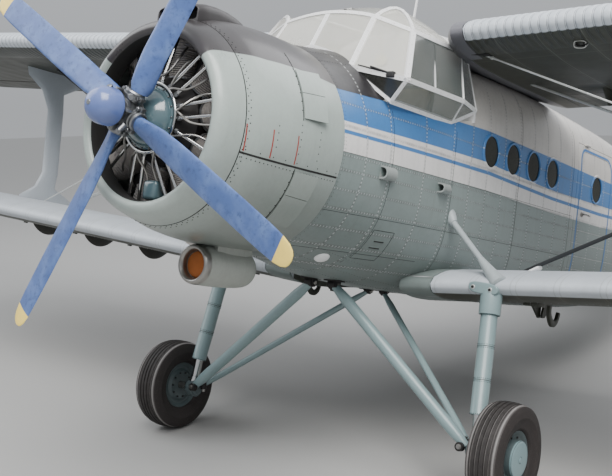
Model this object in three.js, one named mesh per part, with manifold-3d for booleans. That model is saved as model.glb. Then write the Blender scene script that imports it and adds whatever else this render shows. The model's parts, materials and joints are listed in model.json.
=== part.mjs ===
// A single-engined utility biplane with a radial engine, parked on its tail wheel.
// Millimetres. The aircraft is drawn level, with its origin at the propeller's centre:
// x to its left, y towards the tail, z up. The whole group is then turned nose up and set on its wheels.
import * as THREE from "three";
import { mergeVertices } from "three/addons/utils/BufferGeometryUtils.js";
import { ConvexGeometry } from "three/addons/geometries/ConvexGeometry.js";
import Module from "manifold-3d";

const wasm = await Module();
wasm.setup();

// Driving dimensions
const GAP = 0.4; // between touching pieces
const RUN = 8; // running clearance beside a hinged piece
const PARKED_ANGLE = THREE.MathUtils.degToRad(11.8);
const PROP = { radius: 1675, bladePhase: 29.7, rootRadius: 150 };
const COWL = { lip: 170, joint: 360, rear: 1310, openRadius: 544, jointRadius: 690, radius: 779, wall: 16 };
const CABIN = { front: 1310, rear: 6900, wall: 30, joint: 5200 };
const TAIL_END = 11150;
const WINDOW = { radius: 150, z: 320, pitch: 432, first: 3400 };
const UPPER = { root: 846, tip: 9088, lead: 2450, z: 1075, chord: 2400, thick: 0.135, incidence: 3, dihedral: 3 };
const LOWER = { root: 846, tip: 7118, lead: 2590, z: -930, chord: 2000, thick: 0.13, incidence: 1, dihedral: 4.3 };
const SLAT = { inner: 955, outer: 8700, chord: 330 };
const UPPER_FLAP = { inner: 1000, outer: 4380, chord: 600, drop: 45 };
const AILERON = { inner: 4420, outer: 8480, chord: 620 };
const LOWER_FLAP = { inner: 1060, outer: 6620, chord: 500, drop: 45 };
const BRACKET = { pitch: 1022, thick: 20, beside: 32, pin: 8, bore: 8.95 };
const LUG = { width: 30, radius: 30, pin: 10, bore: 10.85, room: 66 };
const STRUT = { x: 5300, lead: 3180, trail: 4060, width: 240 };
const AXLE = { x: 1666, y: 2488, z: -2043 };
const TYRE = { radius: 400, width: 262, rim: 205 };
const TAIL_TYRE = { radius: 235, width: 200, rim: 110 };
const WHEELBASE = 8190;
const TAILPLANE = { span: 3600, z: 350, lead: 9700, hinge: 10900, trail: 11560, thick: 170 };
const FIN = { lead: 9050, hinge: 11200, trail: 12360, top: 2900, thick: 190 };
const CARGO_DOOR = { front: 5320, rear: 6780, bottom: -755, top: 740 };
const ENTRY_DOOR = { front: 5425, rear: 6245, bottom: -720, top: 670, corner: 120 };

const COLOURS = {
  paint: [0xa9b0ae, 0.45, 0.3],
  blue: [0x5f7fb8, 0.4, 0.1],
  gear: [0x8aa0a0, 0.5, 0.2],
  steel: [0xb8b8b4, 0.3, 0.9],
  dark: [0x3a3530, 0.6, 0.6],
  rubber: [0x1e1c1b, 0.9, 0],
  glass: [0xc8cfc4, 0.1, 0],
  cloth: [0x6b5a44, 0.9, 0],
};

const vec = (x, y, z) => new THREE.Vector3(x, y, z);
const degrees = THREE.MathUtils.degToRad;

// A closed three.js geometry as a solid whose faces point out.
function solid(geometry) {
  const bare = new THREE.BufferGeometry().setAttribute("position", geometry.getAttribute("position").clone());
  if (geometry.index) bare.setIndex(geometry.index);
  const merged = mergeVertices(bare, 1e-3);
  const at = merged.attributes.position;
  const index = merged.index.array;
  const kept = [];
  let volume = 0;
  const [a, b, c] = [vec(0, 0, 0), vec(0, 0, 0), vec(0, 0, 0)];
  for (let i = 0; i < index.length; i += 3) {
    const [p, q, r] = [index[i], index[i + 1], index[i + 2]];
    if (p === q || q === r || p === r) continue;
    kept.push(p, q, r);
    a.fromBufferAttribute(at, p);
    b.fromBufferAttribute(at, q);
    c.fromBufferAttribute(at, r);
    volume += a.dot(b.clone().cross(c));
  }
  if (volume < 0) for (let i = 0; i < kept.length; i += 3) [kept[i + 1], kept[i + 2]] = [kept[i + 2], kept[i + 1]];
  return new wasm.Manifold(
    new wasm.Mesh({ numProp: 3, vertProperties: at.array, triVerts: new Uint32Array(kept) }),
  );
}

// A solid as a three.js geometry.
function geometryOf(made) {
  const mesh = made.getMesh();
  const points = new Float32Array(mesh.numVert * 3);
  for (let i = 0; i < mesh.numVert; i++) {
    points.set(mesh.vertProperties.subarray(i * mesh.numProp, i * mesh.numProp + 3), i * 3);
  }
  const geometry = new THREE.BufferGeometry();
  geometry.setAttribute("position", new THREE.BufferAttribute(points, 3));
  geometry.setIndex(new THREE.BufferAttribute(mesh.triVerts, 1));
  geometry.computeVertexNormals();
  return geometry;
}

const largest = (made) => made.decompose().sort((a, b) => b.volume() - a.volume())[0];
const joined = (...solids) => solids.reduce((all, one) => all.add(one));
const cut = (from, ...tools) => tools.reduce((left, tool) => left.subtract(tool), from);
const pinned = (made, hinges) => joined(cut(made, ...hinges.map((hinge) => hinge.room)), ...hinges.map((hinge) => hinge.pin));
const mirrored = (made) => solid(geometryOf(made).applyMatrix4(new THREE.Matrix4().makeScale(-1, 1, 1)));
const moved = (made, x, y, z) => solid(geometryOf(made).translate(x, y, z));

// A closed skin through rings of equally many points, with its two ends capped.
function loft(rings) {
  const count = rings[0].length;
  const points = rings.flat();
  const index = [];
  rings.slice(1).forEach((ring, k) => {
    for (let i = 0; i < count; i++) {
      const [a, b] = [k * count + i, k * count + ((i + 1) % count)];
      index.push(a, b, a + count, b, b + count, a + count);
    }
  });
  for (const [ring, first, flip] of [[rings[0], 0, true], [rings.at(-1), (rings.length - 1) * count, false]]) {
    const centre = ring.reduce((sum, p) => sum.add(p), vec(0, 0, 0)).divideScalar(count);
    const middle = points.push(centre) - 1;
    for (let i = 0; i < count; i++) {
      const [a, b] = [first + i, first + ((i + 1) % count)];
      index.push(...(flip ? [middle, b, a] : [middle, a, b]));
    }
  }
  const geometry = new THREE.BufferGeometry().setFromPoints(points);
  geometry.setIndex(index);
  return solid(geometry);
}

// A flat outline pushed along one axis. Its points are (y, z) for x, (x, z) for y and (x, y) for z.
function slab(axis, outline, low, high) {
  const shape = outline instanceof THREE.Shape ? outline : new THREE.Shape(outline.map(([u, v]) => new THREE.Vector2(u, v)));
  const geometry = new THREE.ExtrudeGeometry(shape, { depth: high - low, bevelEnabled: false, curveSegments: 5 });
  geometry.translate(0, 0, low);
  const basis = {
    x: [vec(0, 1, 0), vec(0, 0, 1), vec(1, 0, 0)],
    y: [vec(1, 0, 0), vec(0, 0, 1), vec(0, 1, 0)],
    z: [vec(1, 0, 0), vec(0, 1, 0), vec(0, 0, 1)],
  }[axis];
  return solid(geometry.applyMatrix4(new THREE.Matrix4().makeBasis(...basis)));
}

const box = (low, high) => slab("z", [[low[0], low[1]], [high[0], low[1]], [high[0], high[1]], [low[0], high[1]]], low[2], high[2]);

// A round bar, or a tapered one, between two points.
function bar(from, to, radius, sides = 12, radiusEnd = radius) {
  const run = to.clone().sub(from);
  const geometry = new THREE.CylinderGeometry(radiusEnd, radius, run.length(), sides);
  geometry.applyQuaternion(new THREE.Quaternion().setFromUnitVectors(vec(0, 1, 0), run.clone().normalize()));
  geometry.translate(...from.clone().add(to).multiplyScalar(0.5));
  return solid(geometry);
}

// A turned shape about the y axis, or about x: its profile is pairs of radius and place along the axis.
// One about x is turned so that a corner of its rim points at the ground when the aircraft is parked.
function turned(profile, sides = 32, alongX = false) {
  const geometry = new THREE.LatheGeometry(profile.map(([r, y]) => new THREE.Vector2(r, y)), sides);
  if (alongX) geometry.rotateZ(-Math.PI / 2).rotateX(PARKED_ANGLE);
  return solid(geometry);
}

// A rounded-box outline across the fuselage at y.
function hoopRing(y, halfWidth, bottom, top, power, count = 28) {
  const round = (value) => Math.sign(value) * Math.abs(value) ** (2 / power);
  return Array.from({ length: count }, (_, i) => {
    const turn = ((i + 0.5) / count) * 2 * Math.PI;
    const middle = (top + bottom) / 2;
    return vec(halfWidth * round(Math.cos(turn)), y, middle + ((top - bottom) / 2) * round(Math.sin(turn)));
  });
}

// Fuselage hoops: y, half width, bottom, top, squareness
const HOOPS = [
  [1310, 768, -768, 776, 2.0],
  [1800, 800, -862, 845, 2.2],
  [2300, 822, -925, 935, 2.7],
  [2900, 830, -962, 1040, 3.5],
  [4000, 830, -985, 1085, 4.3],
  [5400, 830, -975, 1075, 4.3],
  [6900, 812, -905, 1020, 3.8],
  [7900, 715, -720, 930, 3.2],
  [8900, 560, -480, 830, 2.7],
  [10000, 375, -240, 700, 2.3],
  [10800, 220, -60, 590, 2.1],
  [11150, 140, 30, 520, 2.0],
];

function hull(from, to, inset) {
  const rows = HOOPS.filter(([y]) => y >= from && y <= to);
  return loft(
    rows.map(([y, wide, bottom, top, power]) => hoopRing(y, wide - inset, bottom + inset, top - inset, power)),
  );
}

// A wing section at x: the nose, camber and thickness of one rib, as a closed ring.
function ribRing(x, lead, z, chord, thick, incidence, grow = 0) {
  const steps = 9;
  const along = (i) => (1 - Math.cos((Math.PI * i) / steps)) / 2;
  const half = (t) =>
    5 * thick * (0.2969 * Math.sqrt(t) - 0.126 * t - 0.3516 * t ** 2 + 0.2843 * t ** 3 - 0.1015 * t ** 4) + 0.0012;
  const camber = (t) => 0.09 * t * (1 - t);
  const place = (t, side) => {
    const across = (camber(t) + side * half(t)) * chord + side * grow;
    const back = t * chord + (t - 0.5) * 2 * grow;
    const tilt = degrees(incidence);
    return vec(x, lead + back * Math.cos(tilt) + across * Math.sin(tilt), z - back * Math.sin(tilt) + across * Math.cos(tilt));
  };
  const ring = [];
  for (let i = 0; i <= steps; i++) ring.push(place(along(i), 1));
  for (let i = steps; i >= 1; i--) ring.push(place(along(i), -1));
  return ring;
}

// A whole wing of one side, with its rounded tip.
// The tip rows are the distance in from the tip and the share of the chord.
const TIP_ROWS = [[900, 1], [560, 0.955], [300, 0.85], [120, 0.66], [25, 0.42]];
function wing(spec, grow = 0, root = spec.root) {
  const rise = Math.tan(degrees(spec.dihedral));
  const ribs = [[root, 1], ...TIP_ROWS.map(([inward, share]) => [spec.tip - inward, share])];
  return loft(
    ribs.map(([x, share]) => {
      const nose = spec.lead + (spec.chord * (1 - share)) * 0.42;
      return ribRing(x, nose, spec.z + rise * x, spec.chord * share, spec.thick, spec.incidence, grow);
    }),
  );
}

const chordPoint = (spec, x, back, up = 0) => {
  const tilt = degrees(spec.incidence);
  const z = spec.z + Math.tan(degrees(spec.dihedral)) * x;
  return vec(x, spec.lead + back * Math.cos(tilt) + up * Math.sin(tilt), z - back * Math.sin(tilt) + up * Math.cos(tilt));
};

// The block of space behind a line along the span, used to part a wing from its flap.
function behind(spec, inner, outer, back) {
  const ring = (x) => {
    const [low, high] = [chordPoint(spec, x, back, -600), chordPoint(spec, x, back, 600)];
    return [low, high, high.clone().add(vec(0, 2000, 0)), low.clone().add(vec(0, 2000, 0))];
  };
  return loft([ring(inner), ring(outer)]);
}

function ahead(spec, inner, outer, back) {
  const ring = (x) => {
    const [low, high] = [chordPoint(spec, x, back, -600), chordPoint(spec, x, back, 600)];
    return [low.clone().add(vec(0, -2000, 0)), high.clone().add(vec(0, -2000, 0)), high, low];
  };
  return loft([ring(inner), ring(outer)]);
}

// The parked attitude: which way is up, where the ground lies, and points about the tail wheel's axle.
const PARKED_UP = vec(0, -Math.sin(PARKED_ANGLE), Math.cos(PARKED_ANGLE));
const PARKED_AHEAD = vec(0, -Math.cos(PARKED_ANGLE), -Math.sin(PARKED_ANGLE));
const GROUND = vec(0, AXLE.y, AXLE.z).dot(PARKED_UP) - TYRE.radius;
const TAIL_AXLE_Y = AXLE.y + WHEELBASE;
const TAIL_AXLE_Z = (GROUND + TAIL_TYRE.radius - TAIL_AXLE_Y * PARKED_UP.y) / PARKED_UP.z;
const tailLeg = (x, forward, height) =>
  vec(x, TAIL_AXLE_Y, TAIL_AXLE_Z).addScaledVector(PARKED_AHEAD, forward).addScaledVector(PARKED_UP, height);

const root = new THREE.Group();
const aircraft = new THREE.Group();
aircraft.rotation.x = -PARKED_ANGLE;
root.add(aircraft);

// Adds a piece as a named mesh. A moving piece stands in a group at its own pivot, whose x axis is its hinge line.
function add(name, colour, made, pivot) {
  const [hex, roughness, metalness] = COLOURS[colour];
  const geometry = geometryOf(made);
  const mesh = new THREE.Mesh(geometry, new THREE.MeshStandardMaterial({ color: hex, roughness, metalness }));
  mesh.name = name;
  if (!pivot) {
    aircraft.add(mesh);
    return;
  }
  if (!pivot.parent) aircraft.add(pivot);
  pivot.updateMatrix();
  geometry.applyMatrix4(pivot.matrix.clone().invert());
  pivot.add(mesh);
}

function pivotAt(name, point, axis) {
  const pivot = new THREE.Group();
  pivot.name = name;
  pivot.position.copy(point);
  pivot.quaternion.setFromUnitVectors(vec(1, 0, 0), axis.clone().normalize());
  return pivot;
}

// A hinge at one place on its line: the fixed lug, the room for it in the moving piece, and that piece's pin.
function lugHinge(point, line, towards, reach) {
  const { width, radius, pin, bore, room } = LUG;
  const at = (share) => point.clone().addScaledVector(line, share);
  const up = line.clone().cross(towards).normalize();
  const corner = (share, far, high) => at(share).addScaledVector(towards, far).addScaledVector(up, high);
  const half = radius - 4;
  const face = (share) => [corner(share, 0, -half), corner(share, reach, -half), corner(share, reach, half), corner(share, 0, half)];
  const plate = joined(bar(at(-width / 2), at(width / 2), radius, 6), loft([face(-width / 2), face(width / 2)]));
  return {
    lug: cut(plate, bar(at(-width), at(width), bore, 10)),
    room: bar(at(-width / 2 - RUN), at(width / 2 + RUN), room, 7),
    pin: bar(at(-width / 2 - RUN - 10), at(width / 2 + RUN + 10), pin, 10),
  };
}

// Two round knuckles side by side on one line, the first for the fixed piece and the second for the moving one.
function knuckles(point, line, radius, length, plates) {
  const at = (share) => point.clone().addScaledVector(line, share);
  const ends = [[-length, -GAP / 2], [GAP / 2, length]];
  return ends.map(([low, high], i) => joined(bar(at(low), at(high), radius, 12), plates[i](low, high)));
}

// Adds a left piece and its mirror image, each with its own pivot if it has one, cut back from what they meet.
function addPair(name, colour, made, hinge, rooms = []) {
  const fit = (side) => (rooms.length ? largest(cut(side, ...rooms)) : side);
  add(name + "_left", colour, fit(made), hinge && pivotAt(hinge.name + "_left", hinge.point, hinge.axis));
  const flip = (v) => vec(-v.x, v.y, v.z);
  const right = hinge && pivotAt(hinge.name + "_right", flip(hinge.point), flip(hinge.axis).negate());
  add(name + "_right", colour, fit(mirrored(made)), right);
}

// The outer line of the cowling's panels, as radius and place along the thrust line.
const PANEL_LINE = [
  [COWL.jointRadius, COWL.joint], [738, 520], [768, 720], [COWL.radius + 3, 930], [COWL.radius, COWL.rear - GAP],
];
const cowlSkin = (grow) =>
  turned([[0, COWL.joint], ...PANEL_LINE.map(([r, y]) => [r + grow, y]), [0, COWL.rear - GAP]], 32);

// Engine cowling: a rounded nose ring, and the panels behind it with their four raised flaps.
function cowling() {
  const { lip, joint, openRadius, jointRadius, radius, wall } = COWL;
  const nose = [
    [openRadius + 10, joint - GAP], [openRadius, lip + 60], [openRadius + 12, lip + 18], [openRadius + 40, lip],
    [openRadius + 72, lip + 12], [openRadius + 108, lip + 62], [jointRadius, joint - GAP],
    [jointRadius - wall, joint - GAP], [openRadius + 55, lip + 50], [openRadius + 26, joint - GAP],
    [openRadius + 10, joint - GAP],
  ];
  const panels = [...PANEL_LINE, ...PANEL_LINE.map(([r, y]) => [r - wall, y]).reverse(), PANEL_LINE[0]];
  add("cowl_nose_ring", "paint", turned(nose, 32));
  const flap = (turn) => {
    const arc = Array.from({ length: 5 }, (_, i) => degrees(turn + i * 6));
    const edge = (r) => arc.map((t) => [r * Math.cos(t), r * Math.sin(t)]);
    return slab("y", [...edge(radius - 8), ...edge(radius + 16).reverse()], 860, 1060);
  };
  add("cowl_panels", "paint", joined(turned(panels, 32), flap(8), flap(-46), flap(148), flap(202)));
}

// Nine-cylinder radial engine with its gearcase dome, on the cone that mounts it.
function engine() {
  const crankcase = turned([
    [0, 235], [70, 240], [125, 262], [165, 305], [188, 362], [196, 400], [215, 402], [215, 425], [235, 440],
    [290, 500], [290, 850], [360, 880], [360, 960], [0, 960],
  ], 16);
  const finned = [[0, 250], [108, 250], [108, 330]];
  for (let r = 345; r < 500; r += 100) finned.push([108, r], [132, r + 8], [132, r + 34], [108, r + 42]);
  finned.push([120, 575], [120, 650], [85, 668], [0, 668]);
  let block = crankcase;
  for (let k = 0; k < 9; k++) {
    const turn = (k * 2 * Math.PI) / 9;
    const geometry = geometryOf(turned(finned, 7)).rotateX(Math.PI / 2).translate(0, 640, 0).rotateY(turn);
    block = block.add(solid(geometry));
    const around = (r, y, off) => vec(off, y, r).applyAxisAngle(vec(0, 1, 0), turn);
    block = block.add(bar(around(610, 530, -104), around(610, 530, 104), 38, 6));
    for (const side of [-1, 1]) block = block.add(bar(around(222, 452, side * 42), around(610, 522, side * 88), 11, 5));
  }
  const mount = turned([[0, 955], [350, 955], [520, CABIN.front - GAP], [0, CABIN.front - GAP]], 12);
  add("engine", "dark", joined(block, mount));
}

// One propeller blade along +z: a round shank that widens to a twisted paddle.
function blade() {
  // Rows: radius, chord, thickness, twist in degrees
  const rows = [
    [PROP.rootRadius, 92, 92, 50], [230, 128, 86, 49], [320, 200, 70, 44], [560, 246, 46, 36], [850, 262, 30, 29],
    [1200, 255, 20, 23], [1520, 226, 14, 19], [1630, 165, 11, 18], [PROP.radius, 70, 8, 18],
  ];
  return loft(
    rows.map(([r, chord, thick, twist]) =>
      Array.from({ length: 8 }, (_, i) => {
        const t = (i / 8) * 2 * Math.PI;
        const [u, v] = [(chord / 2) * Math.cos(t), (thick / 2) * Math.sin(t)];
        const tilt = degrees(twist);
        return vec(u * Math.cos(tilt) - v * Math.sin(tilt), u * Math.sin(tilt) + v * Math.cos(tilt), r);
      }),
    ),
  );
}

function propeller() {
  const pivot = pivotAt("propeller_spin", vec(0, 0, 0), vec(0, 1, 0));
  const hub = turned([
    [0, -300], [40, -296], [82, -274], [110, -240], [122, -196], [122, -140], [84, -130],
    [84, -70], [104, -60], [104, 60], [84, 70], [84, 200], [50, 206], [50, 234.6], [0, 234.6],
  ], 16);
  let centre = hub;
  for (let k = 0; k < 4; k++) {
    const clampEnd = PROP.rootRadius - GAP;
    const clamp = geometryOf(turned([[0, 60], [66, 60], [66, 118], [74, 120], [74, clampEnd], [0, clampEnd]], 8));
    const turn = degrees(PROP.bladePhase + 90 * k);
    centre = centre.add(solid(clamp.rotateX(Math.PI / 2).rotateY(turn)));
    add("blade_" + (k + 1), "blue", solid(geometryOf(blade()).rotateY(turn)), pivot);
  }
  add("propeller_hub", "blue", centre, pivot);
}

// Air intake on top of the cowling, the oil cooler's duct below it and the exhaust on the right.
function ducts() {
  const scoopRing = (y, wide, top) => {
    const half = [[wide, 600], [wide, top - 40], [wide - 50, top]];
    const other = half.map(([x, z]) => [-x, z]).reverse();
    return [...half, ...other].map(([x, z]) => vec(x, y, z));
  };
  const scoopRows = [[380, 150, 890], [700, 165, 925], [1000, 160, 890], [1270, 110, 800]];
  const scoopOuter = loft(scoopRows.map((row) => scoopRing(...row)));
  const scoopHole = loft([scoopRing(300, 125, 868), scoopRing(800, 125, 880)]);
  add("intake_scoop", "paint", cut(scoopOuter, scoopHole, cowlSkin(GAP)));
  const ductLine = [
    [0, 820], [95, 820], [95, 780], [112, 762], [132, 772], [140, 830], [144, 1000], [140, 1250], [110, 1330], [0, 1345],
  ];
  const duct = turned(ductLine, 18);
  const neck = box([-100, 880, -900], [100, 1290, -700]);
  const belly = hull(CABIN.front, 2300, -GAP);
  add("oil_cooler_duct", "paint", cut(joined(moved(duct, 0, 0, -915), neck), cowlSkin(GAP), belly));
  const out = vec(-560, 1180, -610);
  const end = vec(-640, 1420, -700);
  const bore = bar(out.clone().lerp(end, 0.3), end.clone().lerp(out, -0.1), 72, 16);
  const pipe = cut(joined(bar(vec(-430, 1090, -480), out, 82, 16), bar(out, end, 82, 16)), bore);
  add("exhaust_pipe", "dark", largest(cut(pipe, cowlSkin(GAP), hull(CABIN.front, 2300, -GAP))));
}

// Canopy corners of the left half: lip, sill, header, roof and ridge at the front and the back.
const CANOPY = [
  [800, 1745, 460], [905, 1720, 580], [650, 1772, 700], [400, 1800, 820], [0, 1806, 868],
  [735, 2100, 1095], [450, 2005, 1160], [0, 1985, 1190],
  [700, 2300, 1180], [420, 2300, 1262], [0, 2260, 1300],
  [815, 2700, 440], [935, 2640, 600], [740, 2980, 1095], [600, 3020, 1230], [330, 3040, 1300], [0, 3040, 1325],
  [832, 3040, 600], [832, 3040, 480], [0, 1806, 500], [0, 3040, 480],
];
const CANOPY_HEART = vec(0, 2450, 820);

function canopyHull(share) {
  const points = CANOPY.flatMap(([x, y, z]) => (x ? [vec(x, y, z), vec(-x, y, z)] : [vec(x, y, z)]));
  return solid(new ConvexGeometry(points.map((p) => p.sub(CANOPY_HEART).multiplyScalar(share).add(CANOPY_HEART))));
}

function canopy() {
  const shell = cut(canopyHull(1), canopyHull(0.978), box([-735, 1830, 300], [735, 3300, 500]));
  const sidePanes = [
    [[1980, 640], [2240, 650], [2290, 1050], [2190, 1052]],
    [[2270, 650], [2620, 655], [2850, 1050], [2320, 1050]],
    [[1830, 500], [2600, 478], [2560, 575], [1790, 555]],
    [[2690, 520], [2960, 590], [2900, 640], [2700, 590]],
    [[2720, 670], [2900, 690], [2960, 1040], [2900, 1050]],
  ].map((outline) => slab("x", outline, -1200, 1200));
  const frontPanes = [
    [[18, 895], [385, 850], [430, 1125], [18, 1160]],
    [[425, 835], [690, 725], [720, 1050], [470, 1120]],
  ].flatMap((outline) => [outline, outline.map(([x, z]) => [-x, z])]).map((outline) => slab("y", outline, 1600, 2120));
  const roofPanes = [
    [[30, 2060], [400, 2070], [400, 2270], [30, 2240]],
    [[30, 2320], [400, 2340], [330, 2980], [30, 2980]],
    [[450, 2080], [660, 2160], [660, 2280], [450, 2270]],
    [[450, 2340], [660, 2340], [660, 2940], [400, 2980]],
  ].flatMap((outline) => [outline, outline.map(([x, y]) => [-x, y])]).map((outline) => slab("z", outline, 1110, 1500));
  const rear = box([-560, 2990, 560], [560, 3100, 1240]);
  add("canopy_frame", "paint", cut(shell, ...sidePanes, ...frontPanes, ...roofPanes, rear));
  const [below, behindSeats] = [box([-1200, 1500, 300], [1200, 3300, 490]), box([-560, 2920, 300], [560, 3100, 1240])];
  const glass = cut(canopyHull(0.9775), canopyHull(0.971), below, behindSeats);
  add("canopy_glass", "glass", glass);
}

const doorOutline = ({ front, rear, bottom, top, corner = 40 }, gap = 0) => {
  const [a, b, c, d, r] = [front + gap, rear - gap, bottom + gap, top - gap, corner];
  const shape = new THREE.Shape();
  shape.moveTo(a, c);
  shape.lineTo(b, c);
  shape.lineTo(b, d - r);
  shape.absarc(b - r, d - r, r, 0, Math.PI / 2);
  shape.lineTo(a + r, d);
  shape.absarc(a + r, d - r, r, Math.PI / 2, Math.PI);
  return shape;
};

const leftWindows = [0, 1, 2, 3].map((i) => WINDOW.first + i * WINDOW.pitch);
const rightWindows = [...leftWindows, 5560];
const DOOR_WINDOW = (ENTRY_DOOR.front + ENTRY_DOOR.rear) / 2 + 20;
const porthole = (y, radius, low, high) => bar(vec(low, y, WINDOW.z), vec(high, y, WINDOW.z), radius, 16);

// Cabin shell with its firewall and window holes, the section with the doorway, and the solid tail cone behind it.
function fuselage() {
  const { front, rear, wall } = CABIN;
  const outer = hull(front, rear, 0);
  const inner = hull(front, rear, wall).intersect(box([-1000, front + 40, -1100], [1000, rear - 40, 1200]));
  const rootHeight = UPPER.z + Math.tan(degrees(UPPER.dihedral)) * UPPER.root;
  const rib = (x) => ribRing(x, UPPER.lead, rootHeight, UPPER.chord, UPPER.thick, UPPER.incidence);
  const centreWing = loft([rib(-UPPER.root + GAP), rib(UPPER.root - GAP)]);
  const holes = [
    ...leftWindows.map((y) => porthole(y, WINDOW.radius, 600, 1000)),
    ...rightWindows.map((y) => porthole(y, WINDOW.radius, -1000, -600)),
  ];
  const doorway = slab("x", doorOutline(CARGO_DOOR), 500, 1000);
  const cockpit = joined(canopyHull(1.001), box([-700, 1815, 500], [700, 3041, 1320]));
  const shell = cut(joined(outer, centreWing), inner, cockpit, ...holes, doorway);
  add("fuselage_cabin", "paint", shell.intersect(box([-2000, 0, -2000], [2000, CABIN.joint, 2000])));
  const doorPart = shell.intersect(box([-2000, CABIN.joint + GAP, -2000], [2000, 9000, 2000]));
  add("fuselage_door_section", "paint", joined(doorPart, ...cargoKnuckles.map(([fixed]) => fixed)));
  const tailCone = hull(rear, TAIL_END, 0).intersect(box([-2000, rear + GAP, -2000], [2000, 20000, 2000]));
  const socket = bar(tailLeg(0, 150, 318), tailLeg(0, 150, 500), 66, 12);
  const bore = bar(tailLeg(0, 150, 200), tailLeg(0, 150, 424), 41, 16);
  const room = cut(joined(tailCone, socket), bore, tailplaneBody(GAP), finBody(GAP));
  add("rear_fuselage", "paint", room);
  for (const [side, list] of [["left", leftWindows], ["right", rightWindows]]) {
    const sign = side === "left" ? 1 : -1;
    const [low, high] = [list[0] - 190, list.at(-1) + 190];
    const strip = hull(front, rear, wall + GAP).intersect(box([-1000, low, WINDOW.z - 190], [1000, high, WINDOW.z + 190]));
    const half = strip.intersect(sign > 0 ? box([500, 0, 0], [1200, 9000, 900]) : box([-1200, 0, 0], [-500, 9000, 900]));
    add("cabin_glass_" + side, "glass", cut(half, hull(front, rear, wall + 8)));
  }
}

// Upward-opening cargo door on the left, with the inward-opening entry door inside it.
const CARGO_HINGE = { x: 808, z: CARGO_DOOR.top, places: [5560, 6540] };
const ENTRY_HINGE = { x: 700, y: ENTRY_DOOR.front, places: [-420, 420] };
const cargoKnuckles = CARGO_HINGE.places.map((y) =>
  knuckles(vec(CARGO_HINGE.x, y, CARGO_HINGE.z), vec(0, 1, 0), 13, 60, [
    (low, high) => box([748, y + low, CARGO_HINGE.z], [812, y + high, CARGO_HINGE.z + 34]),
    (low, high) => box([748, y + low, CARGO_HINGE.z - 40], [814, y + high, CARGO_HINGE.z - RUN]),
  ]),
);
const entryKnuckles = ENTRY_HINGE.places.map((z) =>
  knuckles(vec(ENTRY_HINGE.x, ENTRY_HINGE.y, z), vec(0, 0, 1), 14, 40, [
    (low, high) => box([ENTRY_HINGE.x - 10, ENTRY_HINGE.y - 30, z + low], [800, ENTRY_HINGE.y, z + high]),
    (low, high) => box([ENTRY_HINGE.x - 10, ENTRY_HINGE.y + RUN, z + low], [800, ENTRY_HINGE.y + 40, z + high]),
  ]),
);

function doors() {
  const shell = cut(hull(CABIN.front, CABIN.rear, 0), hull(CABIN.front, CABIN.rear, CABIN.wall));
  const left = shell.intersect(box([300, 3000, -1000], [1000, 8000, 1000]));
  const cargoPivot = pivotAt("cargo_door_hinge", vec(CARGO_HINGE.x, CARGO_DOOR.front, CARGO_HINGE.z), vec(0, -1, 0));
  const entryHole = slab("x", doorOutline(ENTRY_DOOR), 300, 1000);
  const cargoLeaf = cut(left.intersect(slab("x", doorOutline(CARGO_DOOR, RUN), 300, 1000)), entryHole);
  const entryFixed = entryKnuckles.map((pair) => pair[0]);
  add("cargo_door", "paint", joined(cargoLeaf, ...cargoKnuckles.map((pair) => pair[1]), ...entryFixed), cargoPivot);
  const entryPivot = pivotAt("entry_door_hinge", vec(ENTRY_HINGE.x, ENTRY_HINGE.y, 0), vec(0, 0, 1));
  aircraft.add(entryPivot);
  const leaf = left.intersect(slab("x", doorOutline(ENTRY_DOOR, RUN), 300, 1000));
  const entryLeaf = joined(leaf, ...entryKnuckles.map((pair) => pair[1]));
  add("entry_door", "paint", cut(entryLeaf, porthole(DOOR_WINDOW, WINDOW.radius, 500, 1000)), entryPivot);
  const pane = hull(CABIN.front, CABIN.rear, CABIN.wall + GAP).intersect(porthole(DOOR_WINDOW, WINDOW.radius + 30, 500, 1000));
  add("entry_door_glass", "glass", cut(pane, hull(CABIN.front, CABIN.rear, CABIN.wall + 8)), entryPivot);
}

// Floor, instrument panel, seats and cabin benches, seen through the glass and the doorway.
function interior() {
  const floor = box([-900, 1790, -800], [900, 6800, -770]);
  const posts = [2400, 4500, 6400].map((y) => box([-600, y, -1000], [600, y + 40, -790]));
  const cockpitFloor = box([-900, 1845, -100], [900, 3000, -70]);
  const panel = box([-640, 1845, -90], [640, 1885, 700]);
  const bulkhead = cut(box([-900, 2960, -790], [900, 3000, 436]), box([-280, 2900, -760], [280, 3100, 560]));
  const cockpitRoom = box([-1000, 1700, -1000], [1000, 2960 - GAP, 1500]);
  const seat = (x) =>
    joined(
      box([x - 210, 2330, -80], [x + 210, 2720, 180]),
      slab("x", [[2660, 100], [2760, 100], [2860, 760], [2800, 760]], x - 210, x + 210),
    );
  const column = (x) => joined(bar(vec(x, 2120, -90), vec(x, 2060, 380), 20, 8), box([x - 150, 2040, 360], [x + 150, 2075, 480]));
  const benches = [box([460, 3100, -790], [900, 5200, -380]), box([-900, 3100, -790], [-460, 5200, -380])];
  const inside = joined(
    hull(CABIN.front, CABIN.rear, CABIN.wall + GAP).intersect(box([-1000, 1700, -1100], [1000, 6800, 470])),
    box([-700, 1840, 430], [700, 2980, 580]),
    canopyHull(0.965),
  );
  add("cabin_interior", "cloth", joined(floor, ...posts, bulkhead, ...benches).intersect(inside));
  const cockpit = joined(cockpitFloor, panel, seat(-360), seat(360), column(-360), column(360));
  add("cockpit_interior", "cloth", cockpit.intersect(inside).intersect(cockpitRoom));
}

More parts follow.
